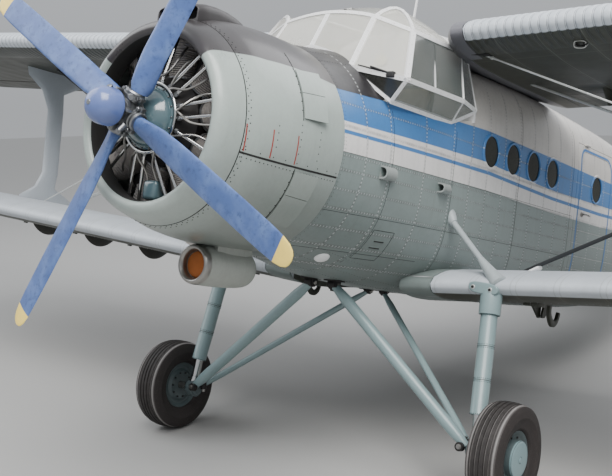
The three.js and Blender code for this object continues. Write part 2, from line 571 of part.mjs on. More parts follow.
// Hinge brackets under a wing at its flap, with bores, or the flap's own arms beside them, with pins.
function flapFittings(spec, line, count, from, isArm) {
  const back = spec.chord - line.chord;
  const hingeUp = -line.drop - 110;
  const shape = isArm
    ? [[14, -20], [200, -20], [26, hingeUp - 22], [-24, hingeUp - 22], [-24, hingeUp + 22]]
    : [[-260, -20], [-14, -20], [24, hingeUp + 22], [24, hingeUp - 22], [-26, hingeUp - 22]];
  return Array.from({ length: count }, (_, i) => {
    const x = from + i * BRACKET.pitch;
    const place = (offset, along, up) => chordPoint(spec, x + offset, back + along, up);
    const ring = (offset) => shape.map(([along, up]) => place(offset, along, up));
    const half = BRACKET.thick / 2;
    const middle = isArm ? BRACKET.beside : 0;
    const plate = loft([ring(middle - half), ring(middle + half)]);
    if (i > 0 && i < count - 1) return plate;
    if (!isArm) return cut(plate, bar(place(-40, 0, hingeUp), place(40, 0, hingeUp), BRACKET.bore, 8));
    return joined(plate, bar(place(-half - 6, 0, hingeUp), place(middle, 0, hingeUp), BRACKET.pin, 8));
  });
}

function wings() {
  const upper = wing(UPPER);
  const flapBack = UPPER.chord - UPPER_FLAP.chord;
  const aileronBack = UPPER.chord - AILERON.chord;
  const upperParts = [
    ["slat", SLAT.inner, SLAT.outer, SLAT.chord],
    ["upper_flap", UPPER_FLAP.inner, UPPER_FLAP.outer, flapBack],
    ["aileron", AILERON.inner, AILERON.outer, aileronBack],
  ];
  const room = {
    slat: ahead(UPPER, SLAT.inner, SLAT.outer, SLAT.chord),
    upper_flap: behind(UPPER, UPPER_FLAP.inner, UPPER_FLAP.outer, flapBack),
    aileron: behind(UPPER, AILERON.inner, AILERON.outer, aileronBack),
  };
  const brackets = flapFittings(UPPER, UPPER_FLAP, 3, 1500, false);
  const aileronLine = (x) => chordPoint(UPPER, x, aileronBack + 62, 40);
  const along = vec(1, 0, Math.tan(degrees(UPPER.dihedral))).normalize();
  const aileronHinges = [5000, 7900].map((x) => lugHinge(aileronLine(x), along, vec(0, -1, 0), 90));
  const wingBox = cut(joined(upper, ...brackets), room.slat, room.upper_flap, room.aileron);
  addPair("upper_wing", "paint", joined(wingBox, ...aileronHinges.map((hinge) => hinge.lug)));
  const slat = upper.intersect(ahead(UPPER, SLAT.inner + 3, SLAT.outer - 3, SLAT.chord - GAP));
  const hingeDrop = UPPER_FLAP.drop + 110;
  const flap = joined(
    upper.intersect(behind(UPPER, UPPER_FLAP.inner + RUN, UPPER_FLAP.outer - RUN, flapBack + RUN)),
    ...flapFittings(UPPER, UPPER_FLAP, 3, 1500, true),
  );
  const aileron = upper.intersect(behind(UPPER, AILERON.inner + RUN, AILERON.outer - RUN, aileronBack + 45));
  const nose = bar(aileronLine(AILERON.inner + RUN), aileronLine(AILERON.outer - RUN), 46, 12);
  addPair("slat", "paint", slat);
  const flapPoint = chordPoint(UPPER, UPPER_FLAP.inner, flapBack, -hingeDrop);
  const flapHinge = { name: "upper_flap_hinge", point: flapPoint, axis: along.clone().negate() };
  addPair("upper_flap", "paint", flap, flapHinge);
  const aileronHinge = { name: "aileron_hinge", point: aileronLine(AILERON.inner), axis: along };
  addPair("aileron", "paint", pinned(joined(aileron, nose), aileronHinges), aileronHinge);

  const lower = wing(LOWER);
  const lowerBack = LOWER.chord - LOWER_FLAP.chord;
  const lowerRoom = behind(LOWER, LOWER_FLAP.inner, LOWER_FLAP.outer, lowerBack);
  const lowerBrackets = flapFittings(LOWER, LOWER_FLAP, 6, 1118, false);
  const lowerWhole = cut(joined(wing(LOWER, 0, 560), ...lowerBrackets), lowerRoom);
  addPair("lower_wing", "paint", lowerWhole, null, [hull(CABIN.front, CABIN.rear, -GAP)]);
  const lowerFlap = joined(
    lower.intersect(behind(LOWER, LOWER_FLAP.inner + RUN, LOWER_FLAP.outer - RUN, lowerBack + RUN)),
    ...flapFittings(LOWER, LOWER_FLAP, 6, 1118, true),
  );
  const rise = vec(1, 0, Math.tan(degrees(LOWER.dihedral))).normalize();
  const lowerPoint = chordPoint(LOWER, LOWER_FLAP.inner, lowerBack, -LOWER_FLAP.drop - 110);
  const lowerHinge = { name: "lower_flap_hinge", point: lowerPoint, axis: rise.negate() };
  addPair("lower_flap", "paint", lowerFlap, lowerHinge);
}

// I-shaped struts between the wings, and the wire pairs that brace them.
function bracing() {
  const { x, lead, trail, width } = STRUT;
  const lowSkin = chordPoint(LOWER, x, 1000, 0).z;
  const highSkin = chordPoint(UPPER, x, 1000, 0).z;
  const rows = [
    [lowSkin - 40, lead, trail, 60], [lowSkin + 200, lead + 40, trail - 60, 70], [lowSkin + 330, lead + 240, trail - 330, 84],
    [lowSkin + 520, lead + 330, lead + 330 + width, 90], [highSkin - 560, lead + 300, lead + 300 + width, 90],
    [highSkin - 340, lead + 180, trail - 360, 84], [highSkin - 200, lead - 40, trail - 100, 70], [highSkin + 20, lead - 100, trail - 60, 60],
  ];
  const plank = loft(
    rows.map(([z, front, rear, thick]) =>
      Array.from({ length: 12 }, (_, i) => {
        const t = (i / 12) * 2 * Math.PI;
        return vec(x + (thick / 2) * Math.sin(t), (front + rear) / 2 + ((rear - front) / 2) * Math.cos(t), z);
      }),
    ),
  );
  addPair("interplane_strut", "paint", largest(cut(plank, wing(LOWER, GAP), wing(UPPER, GAP))));
  const wire = (from, to, pair) => {
    const run = to.clone().sub(from).normalize();
    const beside = (place, side) => place.clone().add(vec(0, side * pair, 0));
    const spans = [-1, 1].map((side) => bar(beside(from, side), beside(to, side), 11, 8));
    const ties = [from.clone().addScaledVector(run, 60), to.clone().addScaledVector(run, -60)];
    const reach = vec(30, pair + 16, 24);
    const tie = (place) => box(place.clone().sub(reach).toArray(), place.clone().add(reach).toArray());
    return joined(...spans, ...ties.map(tie));
  };
  const offWings = (made) => largest(cut(made, wing(LOWER, GAP), wing(UPPER, GAP)));
  const body = hull(CABIN.front, CABIN.rear, -GAP);
  const flying = wire(vec(1120, 3240, -780), vec(x - 260, 3300, highSkin), 26);
  const landing = wire(vec(900, 3760, UPPER.z - 35), vec(x - 220, 3820, lowSkin), 26);
  addPair("flying_wires", "steel", offWings(flying), null, [body]);
  addPair("landing_wires", "steel", offWings(landing), null, [body]);
}

// Half of the tailplane's plan: x, leading edge, trailing edge
const PLAN_ROWS = [
  [0, TAILPLANE.lead, TAILPLANE.trail], [1800, TAILPLANE.lead + 170, TAILPLANE.trail],
  [2900, TAILPLANE.lead + 310, TAILPLANE.trail - 30], [3350, TAILPLANE.lead + 480, TAILPLANE.trail - 130],
  [3540, TAILPLANE.lead + 700, TAILPLANE.trail - 320], [TAILPLANE.span, TAILPLANE.lead + 950, TAILPLANE.trail - 560],
];

// Fin and rudder: height, leading edge, trailing edge
const FIN_ROWS = [
  [-40, 10700, 12000], [150, 10700, 12180], [560, FIN.lead, 12320], [900, 9700, FIN.trail], [1500, 10020, FIN.trail],
  [2200, 10330, 12290], [2650, 10560, 12110], [2830, 10760, 11900], [FIN.top, 11000, 11640],
];

// A tail surface's section as [place along the chord, half thickness] pairs going round.
const tailSection = (front, back, half) =>
  Array.from({ length: 14 }, (_, i) => {
    const t = (i / 14) * 2 * Math.PI;
    return [(front + back) / 2 + ((back - front) / 2) * Math.cos(t), half * Math.sin(t) * (1 - 0.32 * Math.cos(t))];
  });

// The tailplane with its elevators in one, and the fixed part of it, grown a little where it is a room to cut.
function plan(grow = 0) {
  const { lead, trail, thick, z } = TAILPLANE;
  const row = (x, front, back) => {
    const half = (thick / 2) * ((back - front) / (trail - lead)) + grow;
    return tailSection(front - grow, back + grow, half).map(([y, up]) => vec(x, y, z + up));
  };
  const rights = PLAN_ROWS.slice(1).reverse();
  return loft([...rights.map(([x, a, b]) => row(-x, a, b)), ...PLAN_ROWS.map(([x, a, b]) => row(x, a, b))]);
}

function tailplaneBody(grow = 0) {
  const back = TAILPLANE.hinge - 30 + grow;
  return plan(grow).intersect(box([-4000, 9000, -100], [4000, back, 900]));
}

function finWhole(grow = 0) {
  return loft(
    FIN_ROWS.map(([height, front, back]) => {
      const half = (FIN.thick / 2) * Math.min(1, (back - front) / 2200) + grow;
      return tailSection(front - grow, back + grow, half).map(([y, side]) => vec(side, y, height));
    }),
  );
}

function finBody(grow = 0) {
  return finWhole(grow).intersect(box([-300, 8000, 490 - grow], [300, FIN.hinge - 40 + grow, 3300]));
}

// Fin with rudder, braced tailplane with elevators.
function tail() {
  const { z, hinge, trail } = TAILPLANE;
  const forward = vec(0, -1, 0);
  const rights = [700, 2700].map((x) => lugHinge(vec(x, hinge + 22, z), vec(1, 0, 0), forward, 90));
  const lefts = [-700, -2700].map((x) => lugHinge(vec(x, hinge + 22, z), vec(1, 0, 0), forward, 90));
  const brace = cut(bar(vec(150, 10150, -150), vec(1750, 10450, z - 40), 32, 10), hull(CABIN.rear, TAIL_END, -GAP));
  const lugs = [...rights, ...lefts].map((made) => made.lug);
  add("tailplane", "paint", joined(tailplaneBody(), brace, mirrored(brace), ...lugs));
  const elevatorPlan = [[225, hinge + 30], [4000, hinge + 30], [4000, trail + 200], [560, trail + 200]];
  const elevatorBlock = slab("z", elevatorPlan, z - 300, z + 300);
  const elevator = joined(plan().intersect(elevatorBlock), bar(vec(240, hinge + 22, z), vec(3330, hinge + 22, z), 44, 12));
  const elevatorPivot = pivotAt("elevator_hinge", vec(0, hinge + 22, z), vec(1, 0, 0));
  add("elevator_left", "paint", pinned(elevator, rights), elevatorPivot);
  add("elevator_right", "paint", mirrored(pinned(elevator, rights)), elevatorPivot);
  const upright = [900, 2300].map((height) => lugHinge(vec(0, FIN.hinge + 20, height), vec(0, 0, 1), forward, 100));
  add("fin", "paint", joined(finBody(), ...upright.map((made) => made.lug)));
  const rudderSide = box([-300, FIN.hinge + 24, -200], [300, 13000, 3200]);
  const rudderNose = bar(vec(0, FIN.hinge + 20, -20), vec(0, FIN.hinge + 20, 2780), 48, 12);
  const rudder = joined(finWhole().intersect(rudderSide), rudderNose);
  add("rudder", "paint", pinned(rudder, upright), pivotAt("rudder_hinge", vec(0, FIN.hinge + 20, 0), vec(0, 0, 1)));
}

// A tyre's closed section: shares of the half width at the rim, the widest place, the shoulder and the tread.
function tyreSection(radius, rim, half, [bead, wall, shoulder, tread], rise) {
  const side = [[rim, half * bead], [rim + rise, half * wall], [radius - 30, half * shoulder], [radius, half * tread]];
  return [...side.map(([r, y]) => [r, -y]), ...side.reverse(), [rim, -half * bead]];
}

// Main gear: shock leg, axle and the two braces of one side, and the wheel that turns on the axle.
function mainGear() {
  const wheel = vec(AXLE.x, AXLE.y, AXLE.z);
  const inner = vec(1432, AXLE.y, AXLE.z);
  const top = vec(1352, 2640, -905);
  const knee = vec(1420, 2500, -1800);
  const collar = (radius) => bar(inner.clone().add(vec(-55, 0, 0)), inner.clone().add(vec(60, 0, 0)), radius, 16);
  const axle = bar(inner.clone().add(vec(-30, 0, 0)), vec(AXLE.x + 118, AXLE.y, AXLE.z), 34, 16);
  const leg = joined(
    bar(top, knee, 64, 14),
    bar(top, top.clone().lerp(knee, 0.26), 82, 14),
    bar(knee, inner, 40, 16),
    collar(78),
    axle,
    box([1250, 2590, -905], [1455, 2720, -800]),
  );
  const wingRoom = wing(LOWER, GAP);
  addPair("gear_leg", "gear", largest(cut(leg, wingRoom)));
  const low = vec(1392, 2440, -2030);
  const braces = joined(
    bar(vec(118, 2313, -960), low, 46, 14),
    bar(vec(82, 3128, -985), low.clone().add(vec(0, 60, 0)), 28, 12),
    bar(vec(60, 2313, -935), vec(176, 2313, -935), 40, 10),
    bar(vec(30, 3128, -955), vec(134, 3128, -955), 30, 12),
  );
  const offLeg = cut(braces, collar(78 + GAP), bar(knee, inner, 40 + GAP, 16));
  addPair("gear_braces", "gear", offLeg, null, [hull(CABIN.front, CABIN.rear, -GAP)]);
  const stayHead = bar(vec(800, 2850, -300), vec(838, 2836, -330), 52, 12, 30);
  const stay = joined(bar(vec(760, 2860, -270), vec(1390, 2640, -790), 25, 12), stayHead);
  addPair("wing_stay", "gear", cut(stay, wingRoom), null, [hull(CABIN.front, CABIN.rear, -GAP)]);
  const { radius, width, rim } = TYRE;
  const half = width / 2;
  const tyreProfile = tyreSection(radius, rim, half, [0.62, 1, 0.86, 0.45], 120);
  const hubProfile = [
    [34.8, -70], [130, -70], [150, -92], [rim - GAP, -92], [rim - GAP, 92], [165, 100], [120, 124], [0, 130],
    [0, 121], [34.8, 121], [34.8, -70],
  ];
  const at = (made) => moved(made, wheel.x, wheel.y, wheel.z);
  const pivots = {
    left: pivotAt("wheel_spin_left", wheel, vec(1, 0, 0)),
    right: pivotAt("wheel_spin_right", vec(-wheel.x, wheel.y, wheel.z), vec(1, 0, 0)),
  };
  const tyre = at(turned(tyreProfile, 24, true));
  const hub = at(turned(hubProfile, 24, true));
  add("tyre_left", "rubber", tyre, pivots.left);
  add("wheel_hub_left", "gear", hub, pivots.left);
  add("tyre_right", "rubber", mirrored(tyre), pivots.right);
  add("wheel_hub_right", "gear", mirrored(hub), pivots.right);
}

// Castoring tail wheel in its fork. Its swivel stands upright when the aircraft is parked.
function tailGear() {
  const pivot = tailLeg(0, 150, 300);
  const swivel = pivotAt("tail_swivel", pivot, PARKED_UP);
  const { radius, width, rim } = TAIL_TYRE;
  const half = width / 2;
  const arms = [-1, 1].map((side) => {
    const ring = (x) => [tailLeg(x, 45, -40), tailLeg(x, -45, -40), tailLeg(x, 60, 262), tailLeg(x, 195, 262)];
    return loft([ring(side * (half + 16)), ring(side * (half + 34))]);
  });
  const crown = loft([-1, 1].map((side) => {
    const x = side * (half + 34);
    return [tailLeg(x, 60, 250), tailLeg(x, 215, 250), tailLeg(x, 215, 300), tailLeg(x, 60, 300)];
  }));
  const stem = bar(tailLeg(0, 150, 290), tailLeg(0, 150, 420), 40, 16);
  const pin = bar(tailLeg(-half - 30, 0, 0), tailLeg(half + 30, 0, 0), 16, 12);
  add("tail_fork", "gear", joined(...arms, crown, stem, pin), swivel);
  const tyreProfile = tyreSection(radius, rim, half, [0.6, 0.97, 0.9, 0.4], 70);
  const hubProfile = [[16.8, -80], [70, -80], [rim - GAP, -70], [rim - GAP, 70], [70, 80], [16.8, 80], [16.8, -80]];
  const axle = tailLeg(0, 0, 0);
  const spin = pivotAt("tail_wheel_spin", axle, vec(1, 0, 0));
  const at = (made) => moved(made, axle.x, axle.y, axle.z);
  add("tail_tyre", "rubber", at(turned(tyreProfile, 20, true)), spin);
  add("tail_wheel_hub", "gear", at(turned(hubProfile, 20, true)), spin);
}

cowling();
engine();
propeller();
ducts();
fuselage();
canopy();
doors();
interior();
wings();
bracing();
tail();
mainGear();
tailGear();

// Stand the parked aircraft on its wheels, with the origin under the middle of its length.
root.updateMatrixWorld(true);
const reach = new THREE.Box3().setFromObject(aircraft, true);
aircraft.position.set(0, -(reach.min.y + reach.max.y) / 2, -GROUND);

export default root;
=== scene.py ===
# %% [markdown]
# # A utility biplane, dressed for its picture
# The solids of the aircraft come from a CAD frame. This lesson gives them their looks: smooth skins,
# rivets, glass, a dressed engine and painted metal. Every new piece is drawn in metres with the aircraft
# level and its origin at the propeller's centre: x to its left, y towards the tail, z up.
# The aircraft stands on its tail wheel, nose up, so each piece is turned by that angle at the end.

import json
import math

import bpy
import numpy as np
from mathutils import Matrix, Vector

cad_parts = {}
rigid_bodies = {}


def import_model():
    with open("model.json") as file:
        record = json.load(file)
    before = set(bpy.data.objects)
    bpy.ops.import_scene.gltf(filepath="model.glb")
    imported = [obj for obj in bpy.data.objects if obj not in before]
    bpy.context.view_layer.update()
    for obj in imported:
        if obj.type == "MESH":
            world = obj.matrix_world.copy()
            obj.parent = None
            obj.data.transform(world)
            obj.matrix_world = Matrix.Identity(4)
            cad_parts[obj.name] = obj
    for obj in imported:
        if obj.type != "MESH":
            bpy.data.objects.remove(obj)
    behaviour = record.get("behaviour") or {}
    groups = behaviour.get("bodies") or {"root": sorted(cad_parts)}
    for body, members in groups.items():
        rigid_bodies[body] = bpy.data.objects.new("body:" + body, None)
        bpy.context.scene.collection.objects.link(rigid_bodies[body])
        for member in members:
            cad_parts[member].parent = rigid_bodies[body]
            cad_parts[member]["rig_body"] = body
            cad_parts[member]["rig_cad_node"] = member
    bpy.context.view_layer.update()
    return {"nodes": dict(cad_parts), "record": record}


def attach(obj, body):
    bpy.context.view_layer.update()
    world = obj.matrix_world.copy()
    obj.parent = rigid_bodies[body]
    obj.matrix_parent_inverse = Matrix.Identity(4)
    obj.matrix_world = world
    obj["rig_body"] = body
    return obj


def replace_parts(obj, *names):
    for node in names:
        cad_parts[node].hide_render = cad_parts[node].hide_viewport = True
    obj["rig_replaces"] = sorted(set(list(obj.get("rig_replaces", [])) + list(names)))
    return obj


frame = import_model()
bpy.ops.object.select_all(action="DESELECT")
PARKED_ANGLE = math.radians(11.8)
NOSE_PLACE = Vector((0, -6.078365, 2.908612))
PARKED = Matrix.Translation(NOSE_PLACE) @ Matrix.Rotation(-PARKED_ANGLE, 4, "X")
print("the frame has", len(frame["nodes"]), "nodes")

# %% [markdown]
# ## Camera
# A photograph is matched by finding where its camera stood. It stood as high as a person's raised
# arms, ahead of the left wing, and looked down a little. The three axes below are its right, its up
# and its back.

# %% Camera
CAMERA_PLACE = (4.77738, -10.444522, 2.928127)
CAMERA_AXES = (
    (0.793949, 0.607911, -0.009451), (-0.071999, 0.109445, 0.991382), (0.603707, -0.786426, 0.130664)
)
bpy.ops.object.camera_add(location=CAMERA_PLACE)
camera = bpy.context.active_object
camera.name = "camera"
camera.data.sensor_width = 36
camera.data.lens = 58.735
camera.rotation_mode = "QUATERNION"
camera.rotation_quaternion = Matrix(CAMERA_AXES).transposed().to_quaternion()
camera.data.clip_end = 200
bpy.context.scene.camera = camera
print("the camera is", round(camera.location.z, 2), "m above the floor")

# %% [markdown]
# ## Floor and light
# The day is overcast: the sky is brightest overhead and the ground gives little back, so the undersides
# of the wings stay dark. A broad lamp high on the left gives the long soft gloss along the cowling.


# %% Floor, lamps and sky
def plain_material(name, colour, roughness):
    """A material of one colour, for the floor."""
    made = bpy.data.materials.new(name)
    made.use_nodes = True
    shader = made.node_tree.nodes["Principled BSDF"]
    shader.inputs["Base Color"].default_value = (*colour, 1)
    shader.inputs["Roughness"].default_value = roughness
    return made


bpy.ops.mesh.primitive_plane_add(size=160, location=(0, 0, -0.002))
floor = bpy.context.active_object
floor.name = "floor"
floor.data.materials.append(plain_material("floor_plaster", (0.36, 0.355, 0.345), 0.9))

# Lamps: name, place, aim, width, watts, colour
LAMPS = [
    ("sky_left", (7, -11, 15), (0.5, -4, 1.5), 11, 4300, (1.0, 0.99, 0.97)),
    ("sky_right", (-12, -8, 12), (0, -3, 1.5), 12, 1100, (0.96, 0.98, 1.0)),
    ("sky_behind", (4, 12, 13), (0, 2, 2), 14, 1500, (0.97, 0.98, 1.0)),
]
for name, place, aim, width, watts, colour in LAMPS:
    bpy.ops.object.light_add(type="AREA", location=place)
    lamp = bpy.context.active_object
    lamp.name = name
    lamp.data.size = width
    lamp.data.energy = watts
    lamp.data.color = colour
    lamp.rotation_mode = "QUATERNION"
    lamp.rotation_quaternion = (Vector(aim) - Vector(place)).to_track_quat("-Z", "Y")

world = bpy.data.worlds.new("overcast")
bpy.context.scene.world = world
world.use_nodes = True
sky, glow = world.node_tree, world.node_tree.nodes["Background"]
glow.inputs["Color"].default_value = (0.88, 0.91, 0.95, 1)
upward = sky.nodes.new("ShaderNodeSeparateXYZ")
sky.links.new(sky.nodes.new("ShaderNodeTexCoord").outputs["Generated"], upward.inputs["Vector"])
brighter = sky.nodes.new("ShaderNodeMapRange")
sky.links.new(upward.outputs["Z"], brighter.inputs["Value"])
for socket, value in (("From Min", 0.0), ("From Max", 1.0), ("To Min", 0.5), ("To Max", 1.25)):
    brighter.inputs[socket].default_value = value
sky.links.new(brighter.outputs["Result"], glow.inputs["Strength"])
bpy.ops.object.select_all(action="DESELECT")

# %% [markdown]
# ## A short hand for materials
# A material is a small graph of nodes. Writing each link by hand is long, so a few helpers add a node,
# set its sockets and join it to the last one. Patterns read the piece's own coordinates, turned back to
# the level aircraft, so that a stripe is straight along the body whatever piece it crosses.


# %% Node helpers
def put(tree, kind, inputs=None, **settings):
    """Adds a node, sets its properties, and fills its sockets with numbers or with other nodes' outputs."""
    node = tree.nodes.new(kind)
    for key, value in settings.items():
        setattr(node, key, value)
    for key, value in (inputs or {}).items():
        if hasattr(value, "is_output"):
            tree.links.new(value, node.inputs[key])
        else:
            node.inputs[key].default_value = value
    return node


def number(tree, operation, a, b=0.0, clamp=False):
    return put(tree, "ShaderNodeMath", {0: a, 1: b}, operation=operation, use_clamp=clamp).outputs[0]


def times(tree, a, b):
    return number(tree, "MULTIPLY", a, b)


def plus(tree, a, b):
    return number(tree, "ADD", a, b)


def minus(tree, a, b):
    return number(tree, "SUBTRACT", a, b)


def size_of(tree, value):
    return number(tree, "ABSOLUTE", value)


def axes_of(tree, point):
    return put(tree, "ShaderNodeSeparateXYZ", {"Vector": point}).outputs


def blend_colour(tree, share, a, b, mode="MIX"):
    node = put(tree, "ShaderNodeMix", data_type="RGBA", blend_type=mode)
    for socket, value in (("Factor_Float", share), ("A_Color", a), ("B_Color", b)):
        target = next(s for s in node.inputs if s.identifier == socket)
        if hasattr(value, "is_output"):
            tree.links.new(value, target)
        else:
            target.default_value = value if isinstance(value, float) else (*value, 1)
    return next(s for s in node.outputs if s.identifier == "Result_Color")


def level_point(tree):
    """The point on the level aircraft, from the piece's own coordinates."""
    point = put(tree, "ShaderNodeTexCoord").outputs["Object"]
    back = Matrix.Rotation(PARKED_ANGLE, 3, "X") @ -NOSE_PLACE
    return put(
        tree, "ShaderNodeMapping", {"Vector": point, "Location": back, "Rotation": (PARKED_ANGLE, 0, 0)}
    ).outputs[0]


def noise(tree, point, scale, detail=3.0, roughness=0.55):
    made = put(
        tree, "ShaderNodeTexNoise",
        {"Vector": point, "Scale": scale, "Detail": detail, "Roughness": roughness}
    )
    return made.outputs["Fac"]


def steps(tree, value, low, high):
    """0 below low, 1 above high, and a straight slope between."""
    made = put(tree, "ShaderNodeMapRange", {"Value": value, "From Min": low, "From Max": high})
    return made.outputs["Result"]


def falls(tree, value, low, high):
    """1 below low, 0 above high, and a straight slope between."""
    return minus(tree, 1.0, steps(tree, value, low, high))


def line_near(tree, value, place, width, soft=0.0015):
    """1 where value is within width / 2 of place."""
    away = size_of(tree, minus(tree, value, place))
    return falls(tree, away, width / 2 - soft, width / 2 + soft)


def linear(red, green, blue):
    """A screen colour of 0 to 255 as the linear colour that a shader wants."""
    return tuple(
        (c / 255 / 12.92) if c < 11 else ((c / 255 + 0.055) / 1.055) ** 2.4 for c in (red, green, blue)
    )


# %% [markdown]
# ## Shared effects
# Old paint outdoors is never one colour. One node group is shared by most finishes: chalky mottling
# with rain streaks, and fine grit that lifts the surface a little. Each material places them with its own
# strengths. The darkening low down on the body and the cowling is painted shade, drawn in their liveries.


# %% The weathering group
def new_group(name, inputs, outputs):
    group = bpy.data.node_groups.new(name, "ShaderNodeTree")
    for label, kind, value in inputs:
        socket = group.interface.new_socket(label, in_out="INPUT", socket_type=kind)
        if value is not None:
            socket.default_value = value
    for label, kind in outputs:
        group.interface.new_socket(label, in_out="OUTPUT", socket_type=kind)
    return group, group.nodes.new("NodeGroupInput").outputs, group.nodes.new("NodeGroupOutput").inputs


weather, given, wanted = new_group(
    "weathered_paint",
    [
        ("Point", "NodeSocketVector", None), ("Paint", "NodeSocketColor", (0.5, 0.5, 0.5, 1)),
        ("Dirt", "NodeSocketColor", (0.12, 0.11, 0.09, 1)), ("Mottle", "NodeSocketFloat", 0.1),
        ("Streaks", "NodeSocketFloat", 0.1), ("Gloss", "NodeSocketFloat", 0.4),
    ],
    [("Color", "NodeSocketColor"), ("Roughness", "NodeSocketFloat"), ("Height", "NodeSocketFloat")],
)
patches = noise(weather, given["Point"], 2.3, 5.0, 0.62)
grains = noise(weather, given["Point"], 38.0, 3.0, 0.6)
fallen = put(weather, "ShaderNodeMapping", {"Vector": given["Point"], "Scale": (26.0, 26.0, 1.6)}).outputs[0]
streaks = steps(weather, noise(weather, fallen, 1.0, 3.0), 0.5, 0.8)
broad = times(weather, minus(weather, patches, 0.5), given["Mottle"])
lift = plus(weather, 1.0, times(weather, broad, 2.4))
lift = plus(weather, lift, times(weather, minus(weather, grains, 0.5), given["Mottle"]))
shade = put(weather, "ShaderNodeCombineColor", {"Red": lift, "Green": lift, "Blue": lift}).outputs[0]
mottled = blend_colour(weather, 1.0, given["Paint"], shade, "MULTIPLY")
dirty = blend_colour(weather, times(weather, streaks, given["Streaks"]), mottled, given["Dirt"])
weather.links.new(dirty, wanted["Color"])
dull = plus(weather, given["Gloss"], times(weather, minus(weather, patches, 0.5), 0.35))
weather.links.new(number(weather, "MAXIMUM", dull, 0.05), wanted["Roughness"])
weather.links.new(plus(weather, times(weather, grains, 0.25), patches), wanted["Height"])


# %% Paint and metal from the group
def finish(
    name, colour, gloss, mottle, streaks, metal=0.0, bump=0.002, coat=0.0, dirt=(0.1, 0.09, 0.07), cloth=None
):
    """A finish on the weathering group. Its colour is a screen colour or a function that draws it."""
    made = bpy.data.materials.new(name)
    made.use_nodes = True
    tree = made.node_tree
    shader = tree.nodes["Principled BSDF"]
    point = level_point(tree)
    paint = colour(tree, point) if callable(colour) else (*linear(*colour), 1)
    worn = put(tree, "ShaderNodeGroup", node_tree=weather)
    tree.links.new(point, worn.inputs["Point"])
    if hasattr(paint, "is_output"):
        tree.links.new(paint, worn.inputs["Paint"])
    else:
        worn.inputs["Paint"].default_value = paint
    worn.inputs["Dirt"].default_value = (*dirt, 1)
    for label, value in (("Mottle", mottle), ("Streaks", streaks), ("Gloss", gloss)):
        worn.inputs[label].default_value = value
    relief = put(
        tree, "ShaderNodeBump", {"Height": worn.outputs["Height"], "Strength": 0.35, "Distance": bump}
    )
    shown = worn.outputs["Color"]
    if cloth:
        height, edges = cloth(tree, point)
        relief = put(
            tree, "ShaderNodeBump",
            {"Height": height, "Strength": 1.0, "Distance": 1.0, "Normal": relief.outputs["Normal"]}
        )
        shown = blend_colour(tree, times(tree, edges, 0.3), shown, dirt)
    tree.links.new(shown, shader.inputs["Base Color"])
    tree.links.new(worn.outputs["Roughness"], shader.inputs["Roughness"])
    tree.links.new(relief.outputs["Normal"], shader.inputs["Normal"])
    shader.inputs["Metallic"].default_value = metal
    shader.inputs["Coat Weight"].default_value = coat
    shader.inputs["Coat Roughness"].default_value = 0.15
    return made


# %% Cloth over ribs
RIB_PITCH = 0.3425
TAPE = 0.044


def ribbed(start, pitch=RIB_PITCH, axis="X"):
    """Cloth sinks between the ribs and has a tape along each: its height in metres and the tapes' edges."""

    def draw(tree, point):
        run = size_of(tree, axes_of(tree, point)[axis])
        phase = number(tree, "FRACT", number(tree, "DIVIDE", minus(tree, run, start), pitch))
        away = times(tree, number(tree, "MINIMUM", phase, minus(tree, 1.0, phase)), pitch)
        sag = times(tree, number(tree, "COSINE", times(tree, phase, 2 * math.pi)), 0.002)
        raised = times(tree, falls(tree, away, TAPE / 2 - 0.003, TAPE / 2), 0.0007)
        return plus(tree, sag, raised), line_near(tree, away, TAPE / 2, 0.006, 0.002)

    return draw


# %% [markdown]
# ## The livery
# The sides are white above, with a wide blue band at window height that widens and then drops a little
# towards the tail, a thin blue line below it, white again, and grey-green from there down. The nose in
# front of the windscreen is a dull dark brown-grey against glare. All of it is painted by the height on
# the level aircraft, so it runs on over the doors.

# %% Livery colours
WHITE = linear(214, 212, 210)
BAND_BLUE = linear(64, 116, 172)
GREY_GREEN = linear(124, 136, 134)
ANTI_GLARE = linear(62, 59, 60)
COWL_GREY = linear(158, 168, 163)
SILVER = linear(178, 184, 190)
# The wings' undersides get a dark olive-grey of painted shade.
SHADED_UNDERSIDE = linear(50, 52, 43)


def edge_height(tree, y, rows):
    """A height that follows straight runs between (y, z) rows."""
    height = rows[0][1]
    for (y0, z0), (y1, z1) in zip(rows, rows[1:]):
        share = steps(tree, y, y0, y1)
        height = plus(tree, times(tree, share, z1 - z0), height)
    return height


def livery(tree, point):
    at = axes_of(tree, point)
    y, z = at["Y"], at["Z"]
    edges = {
        "band_top": [(1.25, 0.42), (2.82, 0.47), (3.32, 0.487), (4.66, 0.47), (5.89, 0.448), (11.0, 0.4)],
        "band_low": [(1.25, 0.195), (3.25, 0.221), (4.74, 0.165), (5.97, 0.17), (11.0, 0.215)],
        "line_top": [(1.25, 0.135), (3.4, 0.152), (4.76, 0.106), (6.0, 0.098), (11.0, 0.17)],
        "line_low": [(1.25, 0.108), (3.4, 0.12), (4.76, 0.074), (6.0, 0.064), (11.0, 0.14)],
        "white_low": [(1.25, -0.02), (3.4, -0.014), (4.79, -0.046), (6.03, -0.05), (11.0, 0.06)],
    }
    above = {
        name: steps(tree, minus(tree, z, edge_height(tree, y, rows)), -0.003, 0.003)
        for name, rows in edges.items()
    }
    colour = blend_colour(tree, above["white_low"], GREY_GREEN, WHITE)
    colour = blend_colour(tree, above["line_low"], colour, BAND_BLUE)
    colour = blend_colour(tree, above["line_top"], colour, WHITE)
    colour = blend_colour(tree, above["band_low"], colour, BAND_BLUE)
    nose = falls(tree, y, 2.22, 2.23)
    # Above the band the white is a little darker and warmer: painted shade under the upper wing.
    top = blend_colour(tree, nose, linear(196, 192, 187), linear(40, 38, 40))
    colour = blend_colour(tree, above["band_top"], colour, top)
    # Painted shade: the colour is darkened towards the bottom of the body.
    low = falls(tree, z, -0.95, -0.1)
    return blend_colour(tree, times(tree, low, 0.34), colour, linear(60, 62, 58))


